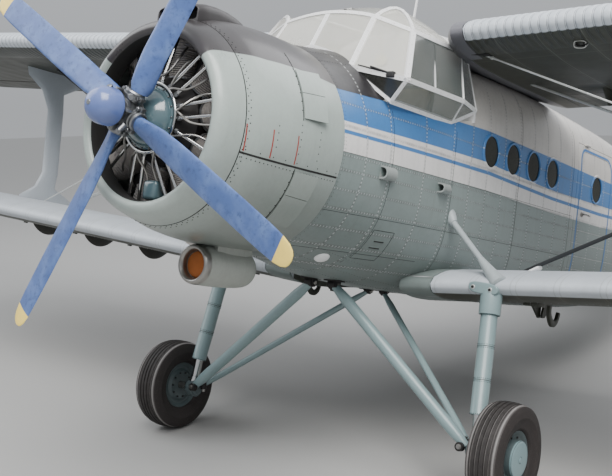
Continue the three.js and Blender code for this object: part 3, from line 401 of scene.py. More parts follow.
# Frames ahead of the cabin, then the first of the even ones, their pitch and the pitch of the heads
RIVET_FRAMES = [1.586, 1.876, 2.337, 2.75]
CABIN_FRAME, FRAME_PITCH, RIVET_PITCH = 3.06, 0.3, 0.029
RIVET_LINES = [-0.81, -0.67, -0.543, -0.409, -0.276, -0.143, -0.04, 0.165, 0.33]


def seam_rows(tree, point):
    """Masks along the rows of rivets: a dark band, and the heads' painted highlight."""
    at = axes_of(tree, point)
    later = plus(tree, number(tree, "DIVIDE", minus(tree, at["Y"], CABIN_FRAME), FRAME_PITCH), 0.5)
    beside = times(tree, minus(tree, number(tree, "FRACT", later), 0.5), FRAME_PITCH)
    beside = number(
        tree, "MAXIMUM", size_of(tree, beside), times(tree, number(tree, "LESS_THAN", at["Y"], 2.95), 9.0)
    )
    for y in RIVET_FRAMES:
        beside = number(tree, "MINIMUM", beside, size_of(tree, minus(tree, at["Y"], y)))
    below = times(tree, number(tree, "GREATER_THAN", at["Y"], 6.87), 9.0)
    lines = [size_of(tree, minus(tree, at["Z"], z)) for z in RIVET_LINES]
    nearest = lines[0]
    for line in lines[1:]:
        nearest = number(tree, "MINIMUM", nearest, line)
    below = number(tree, "MAXIMUM", below, nearest)
    heads, bands = 0.0, 0.0
    for away, run in ((beside, at["Z"]), (below, at["Y"])):
        wave = size_of(
            tree, minus(tree, number(tree, "FRACT", number(tree, "DIVIDE", run, RIVET_PITCH)), 0.5)
        )
        on_row = falls(tree, away, 0.004, 0.007)
        heads = number(tree, "MAXIMUM", heads, times(tree, on_row, steps(tree, wave, 0.2, 0.34)))
        bands = number(tree, "MAXIMUM", bands, falls(tree, away, 0.005, 0.016))
    return bands, heads


def riveted_livery(tree, point):
    """The livery with dark patchy bands along the rows of rivets and a painted highlight on the heads."""
    bands, heads = seam_rows(tree, point)
    patchy = steps(tree, noise(tree, point, 9.0, 4.0), 0.3, 0.62)
    banded = blend_colour(
        tree, times(tree, times(tree, bands, patchy), 0.44), livery(tree, point), (0.06, 0.06, 0.055)
    )
    # Pale dots on the heads are a painted highlight.
    return blend_colour(tree, times(tree, heads, 0.46), banded, (0.72, 0.73, 0.74))


def rivet_livery(tree, point):
    """The livery darkened, so that each head shows as a dark dot."""
    return blend_colour(tree, 0.42, livery(tree, point), (0.05, 0.05, 0.05))


def cowl_livery(tree, point):
    """Light grey-green, with the dark band over the top: its edge is a plane on each side. Low down and
    further back it is darkened as painted shade.
    """
    at = axes_of(tree, point)
    turn = number(tree, "ARCTAN2", size_of(tree, at["X"]), at["Z"])
    edge = edge_height(
        tree, at["Y"], [(0.2, math.radians(48.5)), (0.6, math.radians(53.0)), (1.31, math.radians(55.5))]
    )
    top = falls(tree, minus(tree, turn, edge), -0.005, 0.005)
    low = falls(tree, at["Z"], -0.8, 0.05)
    # Painted shade: the lower cowling is darkened, more so further back.
    shaded_low = blend_colour(
        tree, times(tree, times(tree, low, steps(tree, at["Y"], 0.25, 0.6)), 0.6), COWL_GREY,
        linear(62, 64, 58)
    )
    return blend_colour(tree, top, shaded_low, ANTI_GLARE)


# Wings: root and tip, the nose line and its height, chord and thickness, tilt and rise in degrees
UPPER = {
    "root": 0.846, "tip": 9.088, "lead": 2.45, "z": 1.075, "chord": 2.4, "thick": 0.135, "tilt": 3.0,
    "rise": 3.0
}
LOWER = {
    "root": 0.846, "tip": 7.118, "lead": 2.59, "z": -0.93, "chord": 2.0, "thick": 0.13, "tilt": 1.0,
    "rise": 4.3
}


def wing_livery(spec, silver=SILVER):
    """Silver-grey above and on the nose; below the wing's middle line a dark olive-grey of painted shade."""

    def draw(tree, point):
        at = axes_of(tree, point)
        back = minus(tree, at["Y"], spec["lead"])
        rise = times(tree, size_of(tree, at["X"]), math.tan(math.radians(spec["rise"])))
        fall = times(tree, back, -math.tan(math.radians(spec["tilt"])))
        middle = plus(tree, plus(tree, rise, fall), spec["z"])
        above = steps(tree, minus(tree, at["Z"], middle), -0.01, 0.004)
        nose = falls(tree, back, 0.055, 0.065)
        along = number(tree, "FRACT", number(tree, "DIVIDE", size_of(tree, at["X"]), RIB_PITCH))
        ribs = times(tree, line_near(tree, along, 0.5, 0.02, 0.006), 0.3)
        spar = times(tree, line_near(tree, back, 0.46, 0.007, 0.002), 0.22)
        below = blend_colour(tree, number(tree, "MAXIMUM", ribs, spar), SHADED_UNDERSIDE, linear(150, 152, 142))
        return blend_colour(tree, number(tree, "MAXIMUM", above, nose), below, silver)

    return draw


def slat_livery(tree, point):
    """The wing's silver, with thin dark lines of painted shade in the grooves on both sides of each flat
    strap.
    """
    across = size_of(tree, axes_of(tree, point)["X"])
    phase = number(tree, "FRACT", number(tree, "DIVIDE", minus(tree, across, 0.9584), 0.0685))
    lines = number(
        tree, "ADD", line_near(tree, phase, 0.185, 0.06, 0.015), line_near(tree, phase, 0.0, 0.05, 0.015),
        clamp=True
    )
    lines = number(tree, "ADD", lines, line_near(tree, phase, 1.0, 0.05, 0.015), clamp=True)
    plain = wing_livery(UPPER, linear(194, 201, 208))(tree, point)
    # The dark lines at the straps are painted shade in the grooves.
    return blend_colour(tree, times(tree, lines, 0.8), plain, linear(62, 66, 74))


def tread_colour(tree, point):
    """Dark brown-black walls with fine pale specks, worn grey rib tops, and dust in the grooves."""
    at = axes_of(tree, point)
    away = put(
        tree, "ShaderNodeCombineXYZ", {"X": minus(tree, at["Y"], 2.488), "Y": plus(tree, at["Z"], 2.043)}
    ).outputs[0]
    reach = put(tree, "ShaderNodeVectorMath", {0: away}, operation="LENGTH").outputs["Value"]
    specks = steps(tree, noise(tree, point, 130.0, 2.0, 0.6), 0.6, 0.72)
    wall = blend_colour(tree, times(tree, specks, 0.45), linear(44, 39, 38), linear(96, 88, 82))
    rings = number(tree, "SINE", times(tree, reach, 520.0))
    wall = blend_colour(tree, times(tree, steps(tree, rings, 0.7, 1.0), 0.25), wall, linear(20, 18, 18))
    worn = steps(tree, noise(tree, point, 22.0, 4.0, 0.6), 0.35, 0.75)
    top = blend_colour(tree, worn, linear(34, 31, 30), linear(52, 48, 47))
    dusty = blend_colour(tree, steps(tree, reach, 0.38, 0.389), wall, top)
    return blend_colour(
        tree, times(tree, line_near(tree, reach, 0.3855, 0.005, 0.002), 0.6), dusty, linear(164, 160, 158)
    )


def woven_cloth(tree, point):
    """A beige weave: two sets of fine threads over each other."""
    at = axes_of(tree, point)
    warp = number(tree, "SINE", times(tree, at["X"], 1400.0))
    slant = plus(tree, at["Y"], at["Z"])
    weft = number(tree, "SINE", times(tree, slant, 1400.0))
    threads = steps(tree, times(tree, warp, weft), -1.0, 1.0)
    return blend_colour(tree, threads, linear(146, 138, 122), linear(182, 174, 156))


# %% The finishes: name, screen colour or livery, roughness, mottling and streaks
hull_paint = finish("hull_paint", riveted_livery, 0.42, 0.17, 0.12, bump=0.004, coat=0.12)
cowl_paint = finish("cowl_paint", cowl_livery, 0.34, 0.12, 0.08, bump=0.004, coat=0.2)
upper_wing_paint = finish(
    "upper_wing_paint", wing_livery(UPPER), 0.48, 0.1, 0.06, cloth=ribbed(RIB_PITCH / 2)
)
lower_wing_paint = finish(
    "lower_wing_paint", wing_livery(LOWER), 0.45, 0.1, 0.06, cloth=ribbed(RIB_PITCH / 2)
)
tailplane_paint = finish("tailplane_paint", (172, 178, 184), 0.46, 0.12, 0.06, cloth=ribbed(0.05, 0.28))
fin_paint = finish("fin_paint", (214, 212, 210), 0.42, 0.1, 0.08, cloth=ribbed(0.1, 0.28, "Z"))
root_paint = finish("root_paint", (104, 104, 110), 0.42, 0.12, 0.06)
rivet_paint = finish("rivet_paint", rivet_livery, 0.6, 0.2, 0.0)
slat_paint = finish("slat_paint", slat_livery, 0.36, 0.08, 0.05, coat=0.1)
silver_paint = finish("silver_paint", (172, 178, 184), 0.4, 0.1, 0.05)
pale_steel = finish("pale_steel", (196, 198, 196), 0.34, 0.12, 0.05, metal=0.5)
shoe_paint = finish("shoe_paint", (58, 58, 54), 0.5, 0.2, 0.1)
wire_dark = finish("wire_dark", (58, 60, 62), 0.38, 0.15, 0.05, metal=0.6)
white_paint = finish("white_paint", (226, 226, 226), 0.4, 0.05, 0.05)
gear_paint = finish("gear_paint", (122, 142, 144), 0.36, 0.1, 0.1, coat=0.2)
duct_paint = finish("duct_paint", (150, 154, 148), 0.45, 0.14, 0.12)
gearcase_enamel = finish("gearcase_enamel", (78, 100, 106), 0.16, 0.06, 0.0, coat=0.8)
cast_metal = finish("cast_metal", (196, 191, 187), 0.45, 0.35, 0.1, metal=0.2)
fin_metal = finish("fin_metal", (186, 180, 175), 0.42, 0.35, 0.1, metal=0.2)
dark_metal = finish("dark_metal", (38, 36, 36), 0.6, 0.3, 0.1, metal=0.4)
clamp_metal = finish("clamp_metal", (128, 130, 132), 0.34, 0.35, 0.15, metal=0.85)
chrome = finish("chrome", (206, 206, 204), 0.14, 0.05, 0.02, metal=1.0, bump=0.0005)
bare_steel = finish("bare_steel", (150, 148, 144), 0.3, 0.12, 0.05, metal=0.9)
plug_cloth = finish("plug_cloth", (150, 84, 34), 0.85, 0.3, 0.05)
seam_cloth = finish("seam_cloth", (120, 112, 98), 0.9, 0.15, 0.0)
seat_metal = finish("seat_metal", (120, 126, 122), 0.4, 0.15, 0.05, metal=0.3)
panel_grey = finish("panel_grey", (104, 112, 110), 0.5, 0.12, 0.0)
panel_metal = finish("panel_metal", (58, 60, 60), 0.4, 0.15, 0.0, metal=0.5)
dial_white = finish("dial_white", (214, 214, 206), 0.5, 0.05, 0.0)
floor_mat = finish("floor_mat", (84, 84, 80), 0.8, 0.3, 0.0)
cabin_lining = finish("cabin_lining", (188, 186, 176), 0.7, 0.08, 0.0)
seat_cloth = finish("seat_cloth", woven_cloth, 0.9, 0.1, 0.0, bump=0.001)
cabin_trim = finish("cabin_trim", (112, 108, 98), 0.8, 0.15, 0.0)
panel_black = finish("panel_black", (34, 34, 34), 0.6, 0.1, 0.0)
rubber_black = finish("rubber_black", (34, 31, 30), 0.82, 0.35, 0.12, bump=0.001, dirt=(0.1, 0.08, 0.06))
axle_paint = finish("axle_paint", (78, 90, 92), 0.42, 0.2, 0.12)
stay_paint = finish("stay_paint", (158, 166, 168), 0.36, 0.16, 0.1)
disc_paint = finish("disc_paint", (124, 149, 153), 0.34, 0.1, 0.06, coat=0.2)
tyre_rubber = finish("tyre_rubber", tread_colour, 0.78, 0.3, 0.05, bump=0.0012, dirt=(0.07, 0.06, 0.05))
# Dark for real seams and joints, and also painted shade in gaps, slots, mouths and hollows.
dark_seam_and_shade = finish("dark_seam_and_shade", (30, 29, 28), 0.8, 0.1, 0.0)
cowl_side_paint = finish("cowl_side_paint", (142, 148, 146), 0.45, 0.12, 0.1)
door_blue = finish("door_blue", (58, 108, 164), 0.4, 0.1, 0.05)
warning_red = finish("warning_red", (150, 52, 44), 0.5, 0.2, 0.05)


# %% Blade paint: blue with pale scuffs, and yellow tips
def blade_livery(tree, point):
    flat_point = put(
        tree, "ShaderNodeVectorMath", {0: point, 1: (1.0, 0.0, 1.0)}, operation="MULTIPLY"
    ).outputs[0]
    reach = put(tree, "ShaderNodeVectorMath", {0: flat_point}, operation="LENGTH").outputs["Value"]
    scuffs = steps(tree, noise(tree, point, 26.0, 5.0, 0.7), 0.52, 0.72)
    smears = steps(tree, noise(tree, point, 7.0, 4.0), 0.45, 0.75)
    blue = blend_colour(tree, smears, linear(76, 101, 156), linear(100, 126, 178))
    blue = blend_colour(tree, scuffs, blue, linear(60, 80, 126))
    return blend_colour(tree, steps(tree, reach, 1.552, 1.556), blue, linear(248, 218, 110))


blade_paint = finish("blade_paint", blade_livery, 0.36, 0.1, 0.05, coat=0.2)
spinner_paint = finish("spinner_paint", (92, 110, 164), 0.2, 0.08, 0.04, coat=0.4)


# %% Glass
def glass_finish(name, tint, alpha, roughness=0.06, mirror=0.5, dusty=0.3):
    """A thin pane: mostly see-through, with its own sheen and a little dust."""
    made = bpy.data.materials.new(name)
    made.use_nodes = True
    tree = made.node_tree
    shader = tree.nodes["Principled BSDF"]
    point = level_point(tree)
    shader.inputs["Specular IOR Level"].default_value = mirror
    smear = put(tree, "ShaderNodeMapping", {"Vector": point, "Scale": (3.0, 3.0, 1.2)}).outputs[0]
    dust = steps(tree, noise(tree, smear, 1.0, 3.0, 0.5), 0.3, 0.8)
    tree.links.new(plus(tree, times(tree, dust, 0.1), alpha), shader.inputs["Alpha"])
    tree.links.new(
        blend_colour(tree, times(tree, dust, dusty), linear(*tint), linear(206, 202, 190)),
        shader.inputs["Base Color"]
    )
    tree.links.new(plus(tree, times(tree, dust, 0.08), roughness), shader.inputs["Roughness"])
    return made


canopy_pane = glass_finish("canopy_pane", (232, 231, 222), 0.32)
side_pane = glass_finish("side_pane", (62, 72, 70), 0.48, dusty=0.15)
blister_pane = glass_finish("blister_pane", (104, 112, 106), 0.52)
# blister_dark and cabin_pane are dark and nearly opaque: painted shade of the cockpit and the cabin behind
# them.
blister_dark = glass_finish("blister_dark", (24, 26, 24), 0.82, dusty=0.08)
cabin_pane = glass_finish("cabin_pane", (26, 29, 22), 0.9, 0.12, 0.2, 0.03)
fan_cream = finish("fan_cream", (206, 200, 166), 0.4, 0.05, 0.0)
print(len(bpy.data.materials), "materials")

# %% [markdown]
# ## Tools for making pieces
# Each piece starts from a primitive: a circle that is reshaped to a section and spun, a grid whose
# points are laid on a surface, a cylinder between two points, or a cube that is bevelled. A small
# finisher then turns the piece to the parked angle, gives it smooth shading up to a chosen crease
# angle, its finish and its body.


# %% Working in edit mode
def pick(piece):
    """Makes a piece the only selected one."""
    bpy.ops.object.select_all(action="DESELECT")
    bpy.context.view_layer.objects.active = piece
    piece.select_set(True)


def edit(piece, select="SELECT"):
    pick(piece)
    bpy.ops.object.mode_set(mode="EDIT")
    bpy.ops.mesh.select_all(action=select)


def leave():
    bpy.ops.object.mode_set(mode="OBJECT")


def newest(name):
    """Names the primitive that was just added, and returns it."""
    piece = bpy.context.view_layer.objects.active
    piece.name = name
    piece.data.name = name
    return piece


def clean(piece, close=False):
    """Merges doubled points, closes the open ends if asked, and turns all faces outwards."""
    edit(piece)
    bpy.ops.mesh.remove_doubles(threshold=0.0001)
    if close:
        bpy.ops.mesh.select_all(action="DESELECT")
        bpy.ops.mesh.select_non_manifold()
        bpy.ops.mesh.edge_face_add()
        bpy.ops.mesh.select_all(action="SELECT")
    bpy.ops.mesh.normals_make_consistent(inside=False)
    leave()
    return piece


def capped(piece):
    return clean(piece, close=True)


def done(piece, body, material, crease=35, level=True):
    """Sets a finished piece in its place on the parked aircraft."""
    pick(piece)
    bpy.ops.object.transform_apply(location=True, rotation=True, scale=True)
    if level:
        piece.data.transform(PARKED)
    bpy.ops.object.shade_smooth_by_angle(angle=math.radians(crease))
    if not piece.data.materials:
        piece.data.materials.append(material)
    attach(piece, body)
    piece.select_set(False)
    return piece


def fixed(piece, material, crease=35):
    """Finishes a piece that moves with the airframe."""
    return done(piece, "airframe", material, crease)


def joined(name, pieces):
    """Several pieces as one, each keeping its material."""
    bpy.ops.object.select_all(action="DESELECT")
    for piece in pieces:
        piece.select_set(True)
    bpy.context.view_layer.objects.active = pieces[0]
    if len(pieces) > 1:
        bpy.ops.object.join()
    return newest(name)


def painted(piece, material):
    piece.data.materials.clear()
    piece.data.materials.append(material)
    return piece


def stand(piece, place, direction=(0, 1, 0), roll="Y"):
    """Turns a piece drawn along z so that it points in a direction from a place."""
    turn = Vector(direction).to_track_quat("Z", roll).to_matrix().to_4x4()
    piece.data.transform(Matrix.Translation(Vector(place)) @ turn)
    return piece


# %% Shapes: turned, laid on a surface, straight and bent
def between_two(a, b, m, n, t):
    """A place on the smooth curve from a to b that leaves at slope m and arrives at slope n."""
    near, far = 2 * t**3 - 3 * t**2 + 1, 3 * t**2 - 2 * t**3
    return a * near + b * far + m * (t**3 - 2 * t**2 + t) + n * (t**3 - t**2)


def eased(rows, parts=4):
    """More points along a section, on a smooth curve through the given ones."""
    rows = np.array(rows, float)
    made = []
    for i in range(len(rows) - 1):
        a, b = rows[i], rows[i + 1]
        before, after = rows[max(i - 1, 0)], rows[min(i + 2, len(rows) - 1)]
        for t in np.arange(parts) / parts:
            made.append(between_two(a, b, (b - before) / 2, (after - a) / 2, t))
    return [tuple(row) for row in [*made, rows[-1]]]


def turned(name, section, sides=48, closed=False):
    """A section of (radius, height) points spun about z. An open one starts and ends on the axis."""
    bpy.ops.mesh.primitive_circle_add(vertices=len(section), radius=1)
    piece = newest(name)
    for vertex, (radius, height) in zip(piece.data.vertices, section):
        vertex.co = (radius, 0, height)
    if not closed:
        edit(piece, "DESELECT")
        leave()
        ends = {0, len(section) - 1}
        for line in piece.data.edges:
            line.select = set(line.vertices) == ends
        delete_selected("EDGE")
    edit(piece)
    bpy.ops.mesh.spin(steps=sides, angle=2 * math.pi, center=(0, 0, 0), axis=(0, 0, 1))
    leave()
    return clean(piece)


def delete_selected(kind):
    """Deletes what is already selected on the active mesh."""
    bpy.ops.object.mode_set(mode="EDIT")
    bpy.ops.mesh.select_mode(type="FACE" if kind == "ONLY_FACE" else kind)
    bpy.ops.mesh.delete(type=kind)
    bpy.ops.mesh.select_mode(type="VERT")
    leave()


def skin(name, rows, ring=True):
    """A grid whose points are laid on rows of places. A ring closes each row on itself."""
    rows = np.asarray(rows, float)
    if ring:
        rows = np.concatenate([rows, rows[:, :1]], axis=1)
    high, wide = rows.shape[:2]
    bpy.ops.mesh.primitive_grid_add(x_subdivisions=wide - 1, y_subdivisions=high - 1, size=1)
    piece = newest(name)
    piece.data.vertices.foreach_set("co", rows.reshape(-1).astype(np.float32))
    piece.data.update()
    return piece


def rod(name, start, end, radius, end_radius=None, sides=16, rim=0.15):
    """A round or tapered bar between two points, with its rims broken."""
    start, end = Vector(start), Vector(end)
    far = radius if end_radius is None else end_radius
    length = (end - start).length
    lip = min(rim * min(radius, far), length * 0.2)
    section = [
        (0, 0), (radius - lip, 0), (radius, lip), (far, length - lip), (far - lip, length), (0, length)
    ]
    return stand(turned(name, section, sides), start, end - start)


def pipe(name, points, radius, sides=8, smooth=True, cyclic=False):
    """A bent tube through points."""
    curve = bpy.data.curves.new(name, "CURVE")
    curve.dimensions = "3D"
    curve.bevel_depth = radius
    curve.bevel_resolution = max(0, (sides - 4) // 2)
    curve.resolution_u = 6
    curve.use_fill_caps = True
    line = curve.splines.new("NURBS" if smooth else "POLY")
    line.points.add(len(points) - 1)
    for place, point in zip(line.points, points):
        place.co = (*point, 1)
    if smooth:
        line.order_u = 3
        line.use_endpoint_u = not cyclic
    line.use_cyclic_u = cyclic
    piece = bpy.data.objects.new(name, curve)
    bpy.context.scene.collection.objects.link(piece)
    pick(piece)
    bpy.ops.object.convert(target="MESH")
    return newest(name)


def block(name, low, high, rim=0.003, segments=2):
    """A box between two corners with its edges bevelled."""
    low, high = Vector(low), Vector(high)
    bpy.ops.mesh.primitive_cube_add(size=1, location=(low + high) / 2, scale=high - low)
    piece = newest(name)
    bpy.ops.object.transform_apply(location=True, rotation=True, scale=True)
    edit(piece)
    bpy.ops.mesh.bevel(offset=rim, segments=segments, affect="EDGES")
    leave()
    return piece


def bevel_selected(piece, offset):
    """Rounds the edges between the points that are selected on the mesh."""
    for edge in piece.data.edges:
        edge.select = all(piece.data.vertices[i].select for i in edge.vertices)
    for face in piece.data.polygons:
        face.select = all(piece.data.vertices[i].select for i in face.vertices)
    bpy.context.view_layer.objects.active = piece
    bpy.ops.object.mode_set(mode="EDIT")
    bpy.ops.mesh.bevel(offset=offset, segments=3, affect="EDGES")
    leave()


def copied(piece, name, matrix):
    """A copy with its own mesh, moved by a matrix."""
    other = piece.copy()
    other.data = piece.data.copy()
    bpy.context.scene.collection.objects.link(other)
    other.name = name
    other.data.transform(matrix)
    return other


def mirrored(piece, name):
    """A copy on the other side of the aircraft."""
    other = copied(piece, name, Matrix.Scale(-1, 4, (1, 0, 0)))
    other.data.flip_normals()
    return other


def both_sides(left, material, crease=35, node="", body=""):
    """Finishes a left piece and its mirrored copy. Node and body come without their side."""
    right = mirrored(left, left.name[:-len("left")] + "right")
    for piece, side in ((left, "left"), (right, "right")):
        done(piece, body + side if body else "airframe", material, crease)
        if node:
            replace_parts(piece, node + side)


def thickened(sheet, thick):
    """A sheet of faces given a thickness."""
    pick(sheet)
    solid = sheet.modifiers.new("sheet", "SOLIDIFY")
    solid.thickness = thick
    solid.offset = 0
    bpy.ops.object.modifier_apply(modifier="sheet")
    return clean(sheet)


def cut(piece, cutter, operation="DIFFERENCE"):
    """Cuts one closed piece by another with a Boolean modifier, and removes the cutter."""
    pick(piece)
    tool = piece.modifiers.new("cut", "BOOLEAN")
    tool.object = cutter
    tool.operation = operation
    tool.solver = "EXACT"
    bpy.ops.object.modifier_apply(modifier="cut")
    bpy.data.objects.remove(cutter)
    return piece


def around(count, shift=0.0):
    """Even turns round a circle, in radians."""
    return [2 * math.pi * (i + shift) / count for i in range(count)]


def bulged(value, power):
    """A sine or cosine bent so that a circle becomes a rounded box."""
    return math.copysign(abs(value) ** (2 / power), value)


def oblong(half_long, half_wide, count=28, power=3.2):
    """A rounded box as (long, wide) points."""
    return [
        (half_long * bulged(math.cos(t), power), half_wide * bulged(math.sin(t), power))
        for t in around(count, 0.5)
    ]


def prism(name, outline, axis, low, high):
    """A flat outline pushed along one axis. Its points are the other two axes in order."""
    bpy.ops.mesh.primitive_circle_add(vertices=len(outline), radius=1, fill_type="NGON")
    piece = newest(name)
    spread = {
        "x": lambda u, v: (low, u, v), "y": lambda u, v: (u, low, v), "z": lambda u, v: (u, v, low)
    }[axis]
    for vertex, (u, v) in zip(piece.data.vertices, outline):
        vertex.co = spread(u, v)
    push = [high - low if name_ == axis else 0.0 for name_ in "xyz"]
    edit(piece)
    bpy.ops.mesh.extrude_region_move(TRANSFORM_OT_translate={"value": push})
    leave()
    return clean(piece)


def ribbon(name, places, width, height=0.002, sunk=0.001):
    """A narrow raised strip along (point, normal) places."""
    rows = []
    for i, (point, normal) in enumerate(places):
        before, after = Vector(places[max(i - 1, 0)][0]), Vector(places[min(i + 1, len(places) - 1)][0])
        normal = Vector(normal).normalized()
        across = (after - before).cross(normal).normalized() * (width / 2)
        low, high = Vector(point) - normal * sunk, Vector(point) + normal * height
        rows.append([low - across, high - across, high + across, low + across])
    return capped(skin(name, rows))


# %% [markdown]
# ## Rivets
# A skin of this age carries thousands of rivets with round heads. One head is modelled from a low cone
# with few faces and without its base, and is then copied to every place along each row, tipped to the
# skin there. All the heads of one area make one piece.

# %% One rivet head, and a field of them
bpy.ops.mesh.primitive_cone_add(
    vertices=6, radius1=1, radius2=0.5, depth=0.55, location=(0, 0, 0.22), end_fill_type="NGON"
)
rivet_head = newest("rivet_head")
bpy.ops.object.transform_apply(location=True, rotation=True, scale=True)
edit(rivet_head, "DESELECT")
leave()
for face in rivet_head.data.polygons:
    face.select = face.normal.z < -0.5
delete_selected("ONLY_FACE")
HEAD_POINTS = np.array([v.co for v in rivet_head.data.vertices])
HEAD_FACES = [tuple(f.vertices) for f in rivet_head.data.polygons]
bpy.data.objects.remove(rivet_head)


def rivets(name, places, radius=0.0042):
    """Heads at (point, normal) places, as one mesh."""
    points, faces = [], []
    for number_of, (place, normal) in enumerate(places):
        turn = np.array(Vector(normal).to_track_quat("Z", "Y").to_matrix())
        points.append(HEAD_POINTS @ turn.T * radius + np.array(place))
        faces += [tuple(i + number_of * len(HEAD_POINTS) for i in face) for face in HEAD_FACES]
    mesh = bpy.data.meshes.new(name)
    mesh.from_pydata(np.concatenate(points).tolist(), [], faces)
    piece = bpy.data.objects.new(name, mesh)
    bpy.context.scene.collection.objects.link(piece)
    bpy.context.view_layer.objects.active = piece
    return piece

# %% [markdown]
# ## The fuselage skin
# The body is a row of hoops, each a rounded box: round at the engine, nearly square at the cabin and
# oval at the tail. The skin is a fine grid laid on hoops between the measured ones, so light runs over
# it smoothly. The cabin part is then hollowed, and the windows, the doorway and the cockpit are cut.

# %% Hoops: y, half width, bottom, top, squareness
HOOPS = np.array([
    [1.31, 0.768, -0.768, 0.776, 2.0], [1.8, 0.8, -0.862, 0.845, 2.2], [2.3, 0.822, -0.925, 0.935, 2.7],
    [2.9, 0.83, -0.962, 1.04, 3.5], [4.0, 0.83, -0.985, 1.085, 4.3], [5.4, 0.83, -0.975, 1.075, 4.3],
    [6.9, 0.812, -0.905, 1.02, 3.8], [7.9, 0.715, -0.72, 0.93, 3.2], [8.9, 0.56, -0.48, 0.83, 2.7],
    [10.0, 0.375, -0.24, 0.7, 2.3], [10.8, 0.22, -0.06, 0.59, 2.1], [11.15, 0.14, 0.03, 0.52, 2.0],
])
WALL = 0.03
HOOP_POINTS = 96
CABIN_END = 6.9


def hoop(y, inset=0.0):
    """Half width, bottom, top and squareness of the body at y, on a smooth curve through the hoops."""
    places = HOOPS[:, 0]
    i = int(np.clip(np.searchsorted(places, y) - 1, 0, len(places) - 2))
    t = (y - places[i]) / (places[i + 1] - places[i])
    slopes = np.gradient(HOOPS[:, 1:], places, axis=0) * (places[i + 1] - places[i])
    wide, low, high, power = between_two(HOOPS[i, 1:], HOOPS[i + 1, 1:], slopes[i], slopes[i + 1], t)
    return wide - inset, low + inset, high - inset, power


def hull_point(y, turn, out=0.0):
    """A place on the skin. turn runs from the left side over the top."""
    wide, low, high, power = hoop(y, -out)
    return (
        wide * bulged(math.cos(turn), power), y,
        (high + low) / 2 + (high - low) / 2 * bulged(math.sin(turn), power)
    )


def hull_ring(y, out=0.0, count=HOOP_POINTS):
    return [hull_point(y, turn, out) for turn in around(count, 0.5)]


def side_x(y, z):
    """How far out the side of the body lies at a height."""
    wide, low, high, power = hoop(y)
    share = min(1.0, abs(z - (high + low) / 2) / ((high - low) / 2))
    return wide * (1 - share**power) ** (1 / power)


def side_place(y, z, side=1, out=0.0):
    """A point on the side and the way the skin faces there."""
    at = Vector((side_x(y, z) * side, y, z))
    along = Vector((side_x(y + 0.01, z) * side, y + 0.01, z)) - at
    up = Vector((side_x(y, z + 0.01) * side, y, z + 0.01)) - at
    normal = along.cross(up).normalized()
    if normal.x * side < 0:
        normal.negate()
    return at + normal * out, normal


def hull(name, start, end, out=0.0, count=HOOP_POINTS):
    rows = int(round((end - start) / 0.09)) + 1
    return capped(skin(name, [hull_ring(y, out, count) for y in np.linspace(start, end, rows)]))


# %% The cabin: hollow, with its windows, doorway and cockpit cut
WINDOW_Z, WINDOW_RADIUS = 0.32, 0.15
LEFT_WINDOWS = [3.4 + 0.432 * i for i in range(4)]
RIGHT_WINDOWS = [*LEFT_WINDOWS, 5.56]
CARGO_DOOR = (5.32, 6.78, -0.755, 0.74, 0.04)
ENTRY_DOOR = (5.425, 6.245, -0.72, 0.67, 0.12)
DOOR_WINDOW_Y = 5.855


def door_outline(front, rear, low, high, corner, gap=0.0, bend=6):
    """The door's outline: square below, rounded at its upper corners."""
    a, b, c, d = front + gap, rear - gap, low + gap, high - gap
    arc = [
        (b - corner + corner * math.cos(t), d - corner + corner * math.sin(t))
        for t in np.linspace(0, math.pi / 2, bend)
    ]
    other = [
        (a + corner + corner * math.cos(t), d - corner + corner * math.sin(t))
        for t in np.linspace(math.pi / 2, math.pi, bend)
    ]
    return [(a, c), (b, c), *arc, *other]


def porthole(y, low, high):
    return rod("hole", (low, y, WINDOW_Z), (high, y, WINDOW_Z), WINDOW_RADIUS, sides=32, rim=0.001)


# Corners of the canopy's left half, and of the room below it
CANOPY = {
    "nose_sill": (0, 1.806, 0.868), "front_sill": (0.474, 1.7, 0.668), "side_sill": (0.915, 1.805, 0.588),
    "blister_front": (0.78, 1.835, 0.438),
    "nose_top": (0, 1.985, 1.19), "front_top": (0.437, 2.0, 1.135), "side_top": (0.734, 2.1, 1.03),
    "middle_sill": (0.932, 2.64, 0.6), "blister_rear": (0.815, 2.69, 0.44), "rear_sill": (0.834, 3.04, 0.6),
    "middle_top": (0.69, 2.94, 1.075), "rear_top": (0.712, 3.036, 1.0),
    "ridge_front": (0, 2.26, 1.3), "ridge_rear": (0, 3.04, 1.325), "roof_front": (0.42, 2.3, 1.262),
    "roof_rear": (0.33, 3.036, 1.3),
}
ROOM_CORNERS = [(0, 1.806, 0.5), (0, 3.04, 0.48), (0.6, 3.02, 1.22), (0.832, 3.04, 0.52)]
CANOPY_HEART = Vector((0, 2.45, 0.82))


def canopy_block(name, share):
    """The cockpit's bulk as a convex body."""
    corners = [Vector((x * side, y, z)) for x, y, z in [*CANOPY.values(), *ROOM_CORNERS] for side in (1, -1)]
    corners = [CANOPY_HEART + (corner - CANOPY_HEART) * share for corner in corners]
    bpy.ops.mesh.primitive_grid_add(x_subdivisions=len(corners) - 1, y_subdivisions=1, size=1)
    piece = newest(name)
    for i, vertex in enumerate(piece.data.vertices):
        vertex.co = corners[i % len(corners)]
    edit(piece)
    bpy.ops.mesh.remove_doubles(threshold=0.0005)
    bpy.ops.mesh.convex_hull()
    bpy.ops.mesh.normals_make_consistent(inside=False)
    leave()
    return piece


def hollow(piece):
    """Takes the room inside out of a closed piece of the cabin's hull."""
    return cut(piece, hull("inside", 1.35, CABIN_END - 0.04, -WALL, 64))


